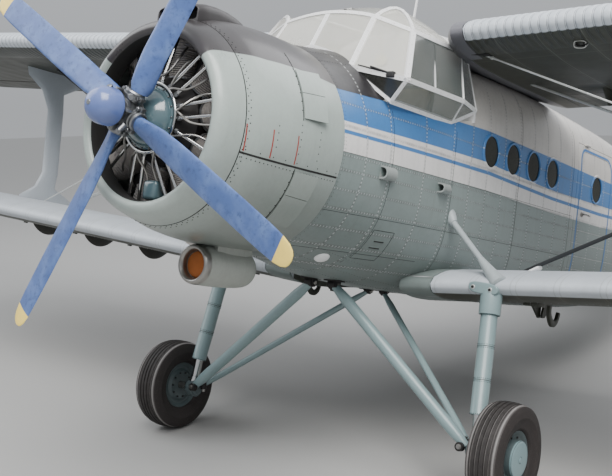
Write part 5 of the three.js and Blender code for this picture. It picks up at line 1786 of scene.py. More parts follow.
# %% [markdown]
# ## Engine
# Nine air-cooled cylinders stand round the crankcase like a star. Each is turned from one section with
# real fins, and carries a finned head, two rocker boxes and two push-rod tubes. One cylinder is made
# and then copied round.

# %% Crankcase, its enamelled gearcase and the ring of the ignition leads
NOSE_CASE = eased(
    [(0.052, 0.086), (0.085, 0.091), (0.125, 0.106), (0.16, 0.131), (0.184, 0.16), (0.196, 0.185), (0.2, 0.2)]
)
gearcase = about_thrust(
    turned(
        "gearcase",
        [(0.052, 0.446)] + NOSE_CASE + [
            (0.21, 0.204), (0.212, 0.222), (0.205, 0.226), (0.235, 0.29), (0.296, 0.35), (0.296, 0.446)
        ],
        64, closed=True
    )
)
gearcase.data.materials.append(gearcase_enamel)
gearcase.data.materials.append(dark_metal)
for face in gearcase.data.polygons:
    face.material_index = int(face.center.y > 0.224)
fixed(gearcase, gearcase_enamel, crease=40)
crankcase = about_thrust(
    turned(
        "crankcase",
        [
            (0, 0.44), (0.232, 0.44), (0.246, 0.452), (0.262, 0.5), (0.3, 0.54), (0.3, 0.88), (0.36, 0.9),
            (0.365, 0.96), (0.52, 1.308), (0, 1.308)
        ],
        54
    )
)
fixed(crankcase, dark_metal)
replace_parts(crankcase, "engine")
# A dark ring of sheet behind the cylinders stands for the baffles and is painted shade deep inside the
# cowling.
baffle_shade = about_thrust(
    turned("engine_baffle", [(0.3, 0.6), (0.668, 0.605), (0.668, 0.615), (0.3, 0.615)], 54, closed=True)
)
fixed(baffle_shade, dark_seam_and_shade)
LEADS = (0.206, 0.231)
lead_ring = about_thrust(
    turned(
        "lead_ring",
        [
            (LEADS[1] + 0.0105 * math.cos(t), LEADS[0] + 0.0105 * math.sin(t))
            for t in np.linspace(0, 2 * math.pi, 11)[:-1]
        ],
        72, closed=True
    )
)
fixed(lead_ring, chrome, crease=80)
bolts = []
for t in around(18, 0.5):
    place = Vector((0.206 * math.sin(t), 0.2035, 0.206 * math.cos(t)))
    bolts.append(rod("bolt", place, place + Vector((0, -0.01, 0)), 0.006, sides=6))
fixed(joined("gearcase_bolts", bolts), clamp_metal)

# %% One cylinder, drawn upright with its foot at the crankcase
CYLINDER_Y = 0.466


def finned(foot, top, count, root, rim, rim_top=None):
    """The section of a barrel with fins."""
    rim_top = rim if rim_top is None else rim_top
    pitch = (top - foot) / count
    rows = []
    for i in range(count):
        r = rim + (rim_top - rim) * i / count
        low = foot + i * pitch
        rows += [(root, low), (root, low + pitch * 0.52), (r, low + pitch * 0.6), (r, low + pitch * 0.92)]
    return rows


def cylinder():
    barrel = turned(
        "barrel",
        [
            (0, 0.25), (0.1, 0.25), (0.1, 0.285)
        ] + finned(0.285, 0.47, 13, 0.078, 0.1) + [(0.078, 0.47), (0, 0.47)],
        22
    )
    head = turned(
        "head",
        [(0, 0.465)] + finned(0.465, 0.61, 7, 0.088, 0.112, 0.1) + [(0.088, 0.61), (0.075, 0.64), (0, 0.648)],
        22
    )
    parts = [
        painted(stand(barrel, (0, CYLINDER_Y, 0), (0, 0, 1)), fin_metal),
        painted(stand(head, (0, CYLINDER_Y, 0), (0, 0, 1)), cast_metal)
    ]
    flange = turned("flange", [(0, 0.296), (0.11, 0.296), (0.11, 0.306), (0, 0.306)], 22)
    parts.append(painted(stand(flange, (0, CYLINDER_Y, 0), (0, 0, 1)), clamp_metal))
    for side in (-1, 1):
        box_low = (side * 0.052 - 0.034, CYLINDER_Y - 0.15, 0.585)
        box_high = (side * 0.052 + 0.034, CYLINDER_Y + 0.02, 0.655)
        parts.append(painted(block("rocker_box", box_low, box_high, 0.014, 3), cast_metal))
        foot, knee = Vector((side * 0.04, 0.236, 0.222)), Vector((side * 0.056, 0.338, 0.592))
        parts.append(painted(rod("push_rod_tube", foot, knee, 0.0115, sides=12), chrome))
        parts.append(painted(rod("tube_nut", foot, foot + (knee - foot) * 0.07, 0.017, sides=6), clamp_metal))
        parts.append(
            painted(rod("tube_nut", foot + (knee - foot) * 0.93, knee, 0.0165, sides=6), clamp_metal)
        )
    plug_lead = [
        (0.0, 0.206, 0.236), (0.012, 0.206, 0.262), (0.072, 0.246, 0.295), (0.095, 0.286, 0.365),
        (0.106, 0.33, 0.45), (0.094, 0.38, 0.5)
    ]
    parts.append(painted(pipe("plug_lead", plug_lead, 0.0075, 8), bare_steel))
    second = [
        (0.0, 0.208, 0.236), (-0.02, 0.21, 0.275), (-0.088, 0.276, 0.34), (-0.106, 0.316, 0.44),
        (-0.094, 0.386, 0.5)
    ]
    parts.append(painted(pipe("plug_lead", second, 0.0075, 8), bare_steel))
    return joined("cylinder", parts)


first = cylinder()
first.name = "cylinder_1"
for k in range(1, 9):
    turn = Matrix.Rotation(-k * 2 * math.pi / 9, 4, "Y")
    fixed(copied(first, "cylinder_" + str(k + 1), turn), fin_metal, crease=40)
fixed(first, fin_metal, crease=40)
deflectors = []
for k in range(9):
    t = (k + 0.5) * 2 * math.pi / 9
    turn = Matrix.Rotation(t, 4, "Y")
    sheet = block("deflector", (-0.03, 0.47, 0.3), (0.03, 0.476, 0.6), 0.002, 1)
    sheet.data.transform(turn)
    deflectors.append(sheet)
fixed(joined("engine_deflectors", deflectors), dark_metal)
sump = block("oil_sump", (-0.062, 0.27, -0.53), (0.062, 0.37, -0.4), 0.026, 3)
fixed(sump, gearcase_enamel)

# %% [markdown]
# ## Propeller
# The blades are forged paddles: a round shank, a broad root, a slow twist and a rounded tip. A grid is
# laid on flat ovals from shank to tip. The hub is a barrel with bolted clamps, behind a smooth dome.

# %% Blades: reach, width, thickness, twist
BLADE_ROWS = [
    (0.15, 0.118, 0.088, 40), (0.165, 0.142, 0.084, 39), (0.19, 0.152, 0.078, 37), (0.235, 0.16, 0.07, 33),
    (0.3, 0.17, 0.06, 27), (0.38, 0.178, 0.05, 20),
    (0.56, 0.186, 0.034, 13), (0.85, 0.19, 0.024, 11), (1.2, 0.19, 0.018, 10), (1.45, 0.184, 0.014, 10),
    (1.56, 0.172, 0.012, 10),
    (1.62, 0.148, 0.011, 10), (1.655, 0.108, 0.009, 10), (1.67, 0.066, 0.008, 10), (1.6749, 0.018, 0.006, 10),
]
BLADE_PHASE = 29.7


def blade_mesh(name):
    table = np.array(BLADE_ROWS)
    reaches = np.concatenate([np.linspace(0.15, 1.56, 40), table[-4:, 0]])
    rows = []
    for reach in reaches:
        wide, thick, twist = (np.interp(reach, table[:, 0], table[:, k]) for k in (1, 2, 3))
        tilt = math.radians(twist)
        ring = []
        for t in around(24):
            u = wide / 2 * math.cos(t) + 0.02 * max(0, 1 - (reach - 0.15) / 0.25)
            v = thick / 2 * math.sin(t) * (1 - 0.25 * math.cos(t) * min(1, max(0, (reach - 0.3) / 0.3)))
            ring.append(
                (u * math.cos(tilt) - v * math.sin(tilt), u * math.sin(tilt) + v * math.cos(tilt), reach)
            )
        rows.append(ring)
    return capped(skin(name, rows))


BLADE_TURNS = [Matrix.Rotation(math.radians(BLADE_PHASE + 90 * k), 4, "Y") for k in range(4)]
paddles = [blade_mesh("blade_paddle_1")]
paddles += [copied(paddles[0], "blade_paddle_%d" % (k + 1), BLADE_TURNS[k]) for k in (1, 2, 3)]
paddles[0].data.transform(BLADE_TURNS[0])
for k, paddle in enumerate(paddles):
    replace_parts(done(paddle, "propeller", blade_paint, crease=60), "blade_%d" % (k + 1))

# %% The dome and the hub with its clamps
dome = about_thrust(
    turned(
        "propeller_dome",
        [(0, -0.2995)] + eased(
            [
                (0.02, -0.299), (0.055, -0.29), (0.086, -0.27), (0.108, -0.24), (0.119, -0.205),
                (0.122, -0.165), (0.122, -0.13), (0.117, -0.118)
            ]
        ) + [(0.0, -0.118)],
        56
    )
)
cap = rod("dome_cap", (-0.012, -0.29, 0), (-0.012, -0.3035, 0), 0.019, 0.017, 16)
done(dome, "propeller", spinner_paint, crease=45)
done(painted(cap, clamp_metal), "propeller", clamp_metal)
barrel = about_thrust(
    turned(
        "hub_barrel",
        [
            (0, -0.125), (0.09, -0.125), (0.094, -0.112), (0.082, -0.1), (0.08, -0.068), (0.102, -0.058),
            (0.104, -0.01), (0.096, 0), (0.104, 0.01), (0.102, 0.058), (0.082, 0.068), (0.062, 0.074),
            (0.045, 0.08), (0.045, 0.2346), (0, 0.2346)
        ],
        40
    )
)
hub_parts = [barrel]
for turn in BLADE_TURNS:
    parts = [
        turned(
            "socket",
            [
                (0, 0.055), (0.064, 0.055), (0.064, 0.098), (0.074, 0.102), (0.074, 0.118), (0.066, 0.122),
                (0.066, 0.14), (0.058, 0.1496), (0, 0.1496)
            ],
            30
        ),
        block("ear", (0.058, -0.02, 0.104), (0.092, 0.02, 0.138), 0.006, 2),
        block("ear", (-0.092, -0.02, 0.104), (-0.058, 0.02, 0.138), 0.006, 2),
        rod("clamp_bolt", (0.076, -0.034, 0.121), (0.076, 0.034, 0.121), 0.008, sides=8),
        rod("clamp_bolt", (-0.076, -0.034, 0.121), (-0.076, 0.034, 0.121), 0.008, sides=8),
        rod("bolt_head", (0.076, -0.042, 0.121), (0.076, -0.028, 0.121), 0.014, sides=6),
        rod("bolt_head", (-0.076, -0.042, 0.121), (-0.076, -0.028, 0.121), 0.014, sides=6),
        rod("weight", (0.05, -0.07, 0.115), (0.094, -0.105, 0.13), 0.024, 0.02, 14),
        block("link", (-0.06, -0.115, 0.085), (-0.036, -0.06, 0.125), 0.007, 2),
    ]
    for part in parts:
        part.data.transform(turn)
    hub_parts += parts
hub_parts += [
    rod(
        "nut", (0.062 * math.cos(t), -0.1185, 0.062 * math.sin(t)),
        (0.062 * math.cos(t), -0.136, 0.062 * math.sin(t)), 0.01, sides=6
    )
    for t in np.linspace(0.4, 6.68, 8)[:-1]
]
hub = done(joined("propeller_hub_clamps", hub_parts), "propeller", clamp_metal, crease=35)
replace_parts(hub, "propeller_hub")

# %% [markdown]
# ## The ribbed slats
# The upper wing's slats are pressed from thin sheet: narrow flat straps with shallow bulges between
# them, one after another along the whole nose. Each slat is a grid of wing sections, and the sections
# grow a little in the bulges and sink in a groove at each strap.

# %% The slats
SLAT_FROM, SLAT_TO, BAY, SLAT_CHORD = 0.9584, 8.6966, 0.0685, 0.329
BAY_ROWS = [
    (0.0, -0.002), (0.035, 0.0002), (0.145, 0.0002), (0.18, -0.002), (0.22, 0.0008), (0.3, 0.002),
    (0.43, 0.003), (0.59, 0.0033), (0.75, 0.0028), (0.88, 0.0016), (0.955, 0.0004),
]


def slat_section(x, grow):
    """The nose of the upper wing, closed by a flat back."""
    end = SLAT_CHORD / UPPER["chord"]
    along = [end * (1 - math.cos(math.pi / 2 * i / 11)) for i in range(12)]
    fade = [1 - (t / end) ** 8 for t in along]
    upper = [rib_point(UPPER, x, t, 1, grow=grow * f) for t, f in zip(along, fade)]
    lower = [rib_point(UPPER, x, t, -1, grow=grow * f) for t, f in zip(along, fade)]
    return upper[::-1] + lower[1:]


slat_rows = []
bay = 0
while SLAT_FROM + bay * BAY < SLAT_TO:
    for share, grow in BAY_ROWS:
        x = SLAT_FROM + (bay + share) * BAY
        if x < SLAT_TO - 0.001:
            slat_rows.append(slat_section(x, grow))
    bay += 1
slat_rows.append(slat_section(SLAT_TO, 0.0))
slat = capped(skin("slat_skin_left", slat_rows))
both_sides(slat, slat_paint, crease=50, node="slat_")
print(bay, "bays,", len(slat.data.polygons), "faces on one slat")

# %% [markdown]
# ## Metal noses and rounded tips
# The wings are cloth behind a nose of thin sheet. The sheet is a grid of fine wing sections that wraps
# over the nose and lies a millimetre proud, with a row of screws along its rear edge. The rounded tips
# are whole sections that shrink towards the end on a smooth curve.

# %% Nose sheets and tips
TIP_SHARES = eased([(-1.3, 1.0), (-0.9, 1.0), (-0.56, 0.955), (-0.3, 0.85), (-0.12, 0.66), (-0.025, 0.42)], 5)


def sheet_over(name, spec, stations, end, grow=0.0012):
    """Wing sections from the nose to a share of the chord, one per (x, share) station."""
    turn = math.pi if end == 1 else math.pi / 2
    along = [end * (1 - math.cos(turn * i / 16)) / (1 - math.cos(turn)) for i in range(17)]
    rows = []
    for x, share, *notch in stations:
        places = {
            side: [rib_point(spec, x, t, side, share, grow, None, *notch) for t in along] for side in (1, -1)
        }
        rows.append(places[1][::-1] + places[-1][1:])
    return capped(skin(name, rows))


def tip_stations(spec, start, stop=0.0):
    return [
        (spec["tip"] + inward, share)
        for inward, share in TIP_SHARES
        if start <= spec["tip"] + inward <= spec["tip"] + stop
    ]


covers = {
    "lower_wing": [
        sheet_over(
            "nose", LOWER,
            [(x, 1) for x in np.linspace(LOWER["root"] + 0.002, 6.2, 12)] + tip_stations(LOWER, 6.21, -0.45),
            0.16
        ),
        sheet_over("tip", LOWER, tip_stations(LOWER, 6.66), 1),
    ],
    "upper_wing": [sheet_over("tip", UPPER, tip_stations(UPPER, 8.72), 1)],
    "upper_root": [sheet_over("root", UPPER, [(x, 1) for x in (0.848, 0.9, 0.952)], 0.16)],
    "lower_root": [sheet_over("fillet", LOWER, [(x, 1) for x in (0.5615, 0.7, 0.838)], 0.34, 0.003)],
}
COVER_PAINTS = {
    "lower_wing": lower_wing_paint, "upper_wing": upper_wing_paint, "upper_root": root_paint,
    "lower_root": hull_paint
}
for label, sheets in covers.items():
    both_sides(joined(label + "_sheets_left", sheets), COVER_PAINTS[label], crease=50)
screws = []
for side in (1, -1):
    for x in np.arange(0.9, 6.6, 0.055):
        for way in (1, -1):
            at, normal = Vector(rib_point(LOWER, x, 0.152, way)), Vector((0, 0.12 * way, way)).normalized()
            screws.append(((at.x * side, at.y, at.z + 0.0012 * way), normal))
fixed(rivets("nose_sheet_screws", screws, 0.004), silver_paint, crease=60)

# %% [markdown]
# ## Small things under and on the wings
# The landing lamp's oblong mouth with its pale rim, the curved horn that carries the flap's rod, a flat
# inspection box, the white shoe of the flying wires, and the stay that runs from the body to the wing.

# %% A place on a wing's skin
def on_wing(spec, x, y, side):
    """A point of a wing's skin below or above, with the way it faces."""
    share = (y - spec["lead"]) / spec["chord"]
    at = Vector(rib_point(spec, x, share, side))
    along = Vector(rib_point(spec, x, share + 0.01, side)) - at
    across = Vector(rib_point(spec, x + 0.01, share, side)) - at
    normal = along.cross(across).normalized()
    if normal.z * side < 0:
        normal.negate()
    return at, normal


def wing_lamp(name, x, y):
    """A short oblong tube of sheet that looks forward out of the wing, with its lamp deep inside."""
    at, _ = on_wing(UPPER, x, y, -1)
    line = [
        (0.0, -0.15), (0.0, -0.005), (-0.0015, 0.0), (-0.0055, 0.0), (-0.007, -0.005), (-0.007, -0.15),
        (0.0, -0.15)
    ]
    rim = skin(
        "lamp_rim",
        np.swapaxes(
            np.array([[(u, v, deep) for u, v in oblong(0.048 + grow, 0.031 + grow)] for grow, deep in line]),
            0, 1
        )
    )
    # The cup behind the rim is painted dark: painted shade inside the lamp's mouth.
    cup = prism("lamp_cup", oblong(0.0415, 0.0245), "z", -0.034, -0.03)
    bulb = turned(
        "lamp_bulb", [(0, -0.03), (0.016, -0.029), (0.019, -0.026), (0.01, -0.022), (0, -0.021)], 20
    )
    parts = [painted(clean(rim), pale_steel), painted(cup, dark_seam_and_shade), painted(bulb, panel_metal)]
    return stand(joined(name, parts), (x, y, at.z - 0.026), (0.1, -0.86, -0.5))


def swept_plate(name, points, wide, thick, x):
    """A curved plate in the plane across x, along (y, z) points, with its edges broken."""
    rows = []
    points = np.array(eased(points, 5))
    slopes = np.gradient(points, axis=0)
    for (y, z), (dy, dz), share in zip(points, slopes, np.linspace(0, 1, len(points))):
        off = np.array([-dz, dy]) / math.hypot(dy, dz) * np.interp(share, [0, 0.5, 1], wide) / 2
        half = thick / 2
        rows.append([
            (x + side * (half - lip), y + off[0] * k, z + off[1] * k)
            for side, k, lip in [
                (1, 1, 0.003), (1, 0.8, 0), (1, -0.8, 0), (1, -1, 0.003), (-1, -1, 0.003), (-1, -0.8, 0),
                (-1, 0.8, 0), (-1, 1, 0.003)
            ]
        ])
    return capped(skin(name, rows))


lamp = wing_lamp("wing_lamp", 1.822, 2.68)
horn = swept_plate(
    "flap_horn",
    [(3.865, -0.93), (3.868, -1.0), (3.915, -1.062), (3.975, -1.082), (4.035, -1.055), (4.066, -0.985)],
    (0.05, 0.062, 0.034), 0.03, 1.3
)
low, _ = on_wing(LOWER, 1.543, 3.0, -1)
box = block("inspection_box", (1.477, 2.93, low.z - 0.024), (1.609, 3.07, low.z + 0.02), 0.008, 3)
fairing_rows = []
for share, wide, high in [
    (0, 0.03, 0.022), (0.12, 0.04, 0.034), (0.5, 0.034, 0.03), (0.92, 0.025, 0.023), (1.0, 0.018, 0.016)
]:
    middle = Vector((1.232, 3.255, -0.772)).lerp(Vector((1.452, 3.243, -0.632)), share)
    fairing_rows.append(
        [
            middle + Vector((0, math.cos(t) * wide * 2.3, math.sin(t) * high))
            for t in np.linspace(0, 2 * math.pi, 20, endpoint=False)
        ]
    )
fairing = capped(skin("wire_shoe", fairing_rows))
wing_fittings = {
    "wing_lamp": (lamp, white_paint), "flap_horn": (horn, lower_wing_paint),
    "inspection_box": (box, lower_wing_paint), "wire_shoe": (fairing, white_paint),
}
for name, (piece, material) in wing_fittings.items():
    piece.name = name + "_left"
    both_sides(piece, material)
shoes = []
for x in (3.35, 4.27, 5.23):
    rows = []
    for share in np.linspace(0.0, 1.0, 13):
        y = 3.4 + 0.54 * share
        full = max(0.04, math.sin(math.pi * share)) ** 0.55
        skin_at, _ = on_wing(LOWER, x, y, -1)
        ring = [
            (x + 0.045 * full * math.cos(t), y, skin_at.z + 0.012 + 0.185 * full * math.sin(t))
            for t in np.linspace(math.pi, 2 * math.pi, 9)
        ]
        rows.append(ring)
    shoes.append(capped(skin("shoe", rows)))
both_sides(joined("flap_hinge_shoes_left", shoes), shoe_paint)
print("wing fittings done")

# %% The stay between the body and the lower wing
STAY_HIGH, STAY_LOW = Vector((0.76, 2.86, -0.27)), Vector((1.39, 2.64, -0.79))


def stay_piece(name):
    """A tube with a pear-shaped head on the body, a collar, and a foot that flares onto the wing."""
    run = (STAY_LOW - STAY_HIGH).length
    section = [
        (0, -0.01), (0.036, -0.008), (0.056, 0.006), (0.066, 0.032), (0.065, 0.062), (0.054, 0.092),
        (0.039, 0.12), (0.033, 0.132), (0.033, 0.138),
        (0.0245, 0.14), (0.0245, run - 0.268), (0.027, run - 0.262), (0.0285, run - 0.256),
        (0.0285, run - 0.24), (0.03, run - 0.236),
        (0.038, run - 0.17), (0.047, run - 0.11), (0.055, run - 0.05), (0.064, run - 0.01),
        (0.07, run + 0.02), (0.06, run + 0.03), (0, run + 0.032),
    ]
    tube = turned("stay_tube", section, 28)
    for vertex in tube.data.vertices:
        if vertex.co.z < 0.12:
            vertex.co.x *= 0.8
    stand(tube, STAY_HIGH, STAY_LOW - STAY_HIGH, "Y")
    parts = [tube]
    at = STAY_HIGH.lerp(STAY_LOW, 0.055)
    for out in (1, -1):
        parts.append(
            rod(
                "stay_bolt", at + Vector((0, 0.042 * out, 0)), at + Vector((0, 0.056 * out, 0)), 0.011,
                sides=6, rim=0.2
            )
        )
    return joined(name, parts)


both_sides(stay_piece("stay_and_foot_left"), stay_paint, 45, "wing_stay_")

# %% [markdown]
# ## Struts and wires
# Each wire is a drawn steel strip, pointed in section, with a threaded end and a lock nut at both ends.
# The struts stay as they are in the frame, with their own paint.


# %% Streamlined wires
def wire_strip(name, start, end, wide=0.022, thick=0.0085):
    """A pointed strip between two round threaded ends with nuts."""
    start, end = Vector(start), Vector(end)
    run = end - start
    length = run.length
    rows = []
    for at, w, h in [
        (0, 0.01, 0.01), (0.1, 0.01, 0.01), (0.16, wide * 0.8, thick), (0.24, wide, thick),
        (length / 2, wide, thick),
        (length - 0.24, wide, thick), (length - 0.16, wide * 0.8, thick), (length - 0.1, 0.01, 0.01),
        (length, 0.01, 0.01),
    ]:
        ring = []
        for t in around(12):
            ring.append((h * math.sin(t) * (abs(math.sin(t)) if w > 0.012 else 1), w * math.cos(t), at))
        rows.append(ring)
    strip = capped(skin(name, rows))
    nuts = []
    for at in (0.07, length - 0.095):
        nuts.append(
            turned(
                "nut",
                [
                    (0, at), (0.015, at), (0.017, at + 0.003), (0.017, at + 0.02), (0.015, at + 0.023),
                    (0, at + 0.023)
                ],
                6
            )
        )
    strip = joined(name, [strip, *nuts])
    return stand(strip, start, run, "Y")


STRUT_X = 5.3
high_skin = rib_point(UPPER, STRUT_X, 0.4167, 1)[2] * 0.5 + rib_point(UPPER, STRUT_X, 0.4167, -1)[2] * 0.5
low_skin = rib_point(LOWER, STRUT_X, 0.5, 1)[2] * 0.5 + rib_point(LOWER, STRUT_X, 0.5, -1)[2] * 0.5
WIRES = {
    "flying_wires": ((1.18, 3.24, -0.745), (STRUT_X - 0.285, 3.3, high_skin - 0.135), 0.024),
    "landing_wires": ((0.86, 3.76, 1.015), (STRUT_X - 0.245, 3.82, low_skin + 0.115), 0.024),
}
for label, (start, end, apart) in WIRES.items():
    strips = [
        wire_strip(
            "strip", Vector(start) + Vector((0, k * apart, 0)), Vector(end) + Vector((0, k * apart, 0)),
            0.01 if "land" in label else 0.011, 0.005
        )
        for k in (-1, 1)
    ]
    spreader = block("spreader", (-0.012, -apart - 0.022, -0.007), (0.012, apart + 0.022, 0.007), 0.004)
    spreader.data.transform(Matrix.Translation(Vector(start).lerp(Vector(end), 0.5)))
    material = wire_dark if label == "flying_wires" else pale_steel
    both_sides(joined(label + "_strips_left", [*strips, spreader]), material, 30, label + "_")
front_wire = wire_strip("strip", (0.975, 2.79, 1.01), (5.05, 3.33, low_skin + 0.06), 0.008, 0.004)
# The slot where the wire enters the wing is a dark block: painted shade in the opening.
slot = block("wire_slot", (0.9, 2.72, 0.992), (1.06, 2.86, 1.02), 0.004)
front_wire = joined("landing_wire_front_left", [painted(front_wire, pale_steel), painted(slot, dark_seam_and_shade)])
both_sides(front_wire, pale_steel, 30)
print("wires and stays done")

# %% [markdown]
# ## The main gear
# A wide sleeve hangs below the wing, and the leg's tube hangs in it with a gap round its top, whose shade is
# painted by a dark disc. Two riveted bands go round the tube, its lower rim is toothed, and a bright piston
# comes out of it down to the axle. Two braces run in to the belly, each with an eye and a bolt at both ends.

# %% The legs
AXLE_AT = Vector((1.666, 2.488, -2.043))
AXLE_INNER = Vector((1.432, 2.488, -2.043))
PLATE_FACE = 2.566
LEG_TOP, LEG_KNEE = Vector((1.352, 2.64, -0.905)), Vector((1.42, 2.5, -1.8))


def plate_with_bolts(name):
    """The rounded plate on the wing's nose that holds the leg, and its two bolts."""
    middle = ((1.187 + 1.43) / 2, (-0.803 - 0.885) / 2 - 0.004)
    outline = [(middle[0] + u, middle[1] + v - 0.07 * u) for u, v in oblong(0.1235, 0.044, 32, 3.0)]
    plate = prism("leg_plate", outline, "y", PLATE_FACE, 2.7)
    for vertex in plate.data.vertices:
        vertex.select = vertex.co.y < PLATE_FACE + 0.001
    bevel_selected(plate, 0.009)
    painted(plate, gear_paint)
    parts = [plate]
    for x, z in ((1.226, -0.845), (1.37, -0.855)):
        washer = stand(
            turned("washer", [(0, 0), (0.018, 0), (0.018, 0.003), (0.014, 0.005), (0, 0.005)], 20),
            (x, PLATE_FACE + 0.001, z), (0, -1, 0)
        )
        bolt = stand(
            turned("bolt", [(0, 0.004), (0.012, 0.004), (0.012, 0.011), (0.009, 0.014), (0, 0.014)], 6),
            (x, PLATE_FACE + 0.001, z), (0, -1, 0)
        )
        parts += [painted(washer, pale_steel), painted(bolt, dark_metal)]
    return joined(name, parts)


def leg_piece(name):
    """The sleeve, the tube with its bands and toothed rim, the piston, the collar and the axle."""
    run = LEG_KNEE - LEG_TOP
    length = run.length
    mouth = length * 0.155
    end = length * 0.985
    sleeve = turned("sleeve", [
        (0, -0.07), (0.07, -0.07), (0.08, -0.06), (0.0835, -0.04), (0.0835, mouth - 0.008), (0.082, mouth),
        (0.079, mouth + 0.001),
        (0.076, mouth - 0.004), (0.074, mouth - 0.02), (0.074, mouth - 0.06), (0, mouth - 0.062),
    ], 40)
    tube = turned("tube", [
        (0, mouth - 0.058), (0.058, mouth - 0.056), (0.0605, mouth - 0.04), (0.0625, mouth + 0.006),
        (0.064, mouth + 0.01), (0.064, end - 0.012),
        (0.065, end - 0.01), (0.065, end - 0.001), (0.0636, end), (0.06, end), (0.058, end - 0.004),
        (0.056, end - 0.04), (0, end - 0.042),
    ], 40)
    parts = [painted(sleeve, gear_paint), painted(tube, gear_paint)]
    # A dark disc in the sleeve's mouth is painted shade in the gap round the tube.
    parts.append(
        painted(
            turned(
                "gap",
                [(0, mouth - 0.056), (0.0735, mouth - 0.056), (0.0735, mouth - 0.03), (0, mouth - 0.03)], 32
            ),
            dark_seam_and_shade
        )
    )
    for share in (0.42, 0.7):
        at = length * share
        parts.append(
            painted(
                turned(
                    "band",
                    [
                        (0.0636, at - 0.0025), (0.0652, at - 0.002), (0.0652, at + 0.002),
                        (0.0636, at + 0.0025)
                    ],
                    40, closed=True
                ),
                dark_seam_and_shade
            )
        )
        for row, shift in ((-0.013, 0.0), (0.013, 0.5)):
            heads = [
                ((0.064 * math.cos(t), 0.064 * math.sin(t), at + row), (math.cos(t), math.sin(t), 0))
                for t in around(26, shift)
            ]
            parts.append(painted(rivets("band_rivets", heads, 0.0038), dark_seam_and_shade))
    heads = [
        ((0.0648 * math.cos(t), 0.0648 * math.sin(t), end - 0.006), (math.cos(t), math.sin(t), 0))
        for t in around(26)
    ]
    parts.append(painted(rivets("rim_teeth", heads, 0.0042), dark_seam_and_shade))
    for part in parts:
        stand(part, LEG_TOP, run)
    piston_start, piston_end = LEG_TOP.lerp(LEG_KNEE, 0.945), AXLE_INNER + Vector((0, 0, 0.05))
    reach = (piston_end - piston_start).length
    piston = turned(
        "piston",
        [
            (0, 0), (0.0385, 0), (0.0385, reach - 0.06), (0.045, reach - 0.055), (0.045, reach - 0.03),
            (0.052, reach - 0.026), (0.052, reach), (0, reach)
        ],
        36
    )
    parts.append(stand(painted(piston, chrome), piston_start, piston_end - piston_start))
    rod_at = piston_start + Vector((0.058, 0.022, 0.02))
    parts.append(
        painted(rod("side_rod", rod_at, piston_end + Vector((0.058, 0.022, -0.01)), 0.01), dark_metal)
    )
    collar = turned("collar", [
        (0, -0.058), (0.05, -0.058), (0.056, -0.052), (0.058, -0.046), (0.074, -0.042), (0.079, -0.036),
        (0.079, 0.02), (0.075, 0.026),
        (0.062, 0.03), (0.06, 0.048), (0.052, 0.06), (0, 0.06),
    ], 36)
    parts.append(stand(painted(collar, axle_paint), AXLE_INNER, (1, 0, 0)))
    axle = turned("axle", [(0, 0), (0.034, 0), (0.034, 0.346), (0.03, 0.352), (0, 0.352)], 24)
    parts.append(stand(painted(axle, bare_steel), AXLE_INNER, (1, 0, 0)))
    parts.append(plate_with_bolts("leg_plate_bolted"))
    return joined(name, parts)


leg = leg_piece("leg_and_axle_left")
both_sides(leg, gear_paint, 32, "gear_leg_")
print("leg:", len(leg.data.polygons), "faces")


# %% The braces
def brace_tube(name, start, end, radius):
    """A tube that narrows at both ends to an eye."""
    start, end = Vector(start), Vector(end)
    length = (end - start).length
    neck = radius * 0.7
    rows = [
        (neck, 0), (neck, 0.03), (radius * 0.9, 0.105), (radius, 0.165), (radius, length * 0.5),
        (radius, length - 0.3),
        (radius * 1.04, length - 0.25), (radius * 0.98, length - 0.13), (neck * 1.1, length - 0.04),
        (neck, length),
    ]
    section = [(0, 0), *rows, (0, length)]
    return stand(painted(turned(name, section, 32), gear_paint), start, end - start)


def eye(name, place, along, radius, wide):
    """A forged eye with a bolt through it, its head and its nut."""
    place, along = Vector(place), Vector(along).normalized()
    ring = turned("eye", [
        (radius * 0.3, -wide / 2), (radius * 0.92, -wide / 2), (radius, -wide / 2 + 0.003),
        (radius, wide / 2 - 0.003),
        (radius * 0.92, wide / 2), (radius * 0.3, wide / 2),
    ], 28, closed=True)
    bolt = turned("eye_bolt", [
        (0, -wide / 2 - 0.022), (radius * 0.4, -wide / 2 - 0.022), (radius * 0.46, -wide / 2 - 0.018),
        (radius * 0.46, -wide / 2 - 0.004),
        (radius * 0.6, -wide / 2 - 0.004), (radius * 0.6, -wide / 2 + 0.001),
        (radius * 0.3, -wide / 2 + 0.001), (radius * 0.3, wide / 2 - 0.001),
        (radius * 0.6, wide / 2 - 0.001), (radius * 0.6, wide / 2 + 0.004), (radius * 0.42, wide / 2 + 0.004),
        (radius * 0.42, wide / 2 + 0.016), (0, wide / 2 + 0.016),
    ], 12)
    for part, material in ((ring, dark_metal), (bolt, bare_steel)):
        stand(painted(part, material), place, along)
    return [ring, bolt]


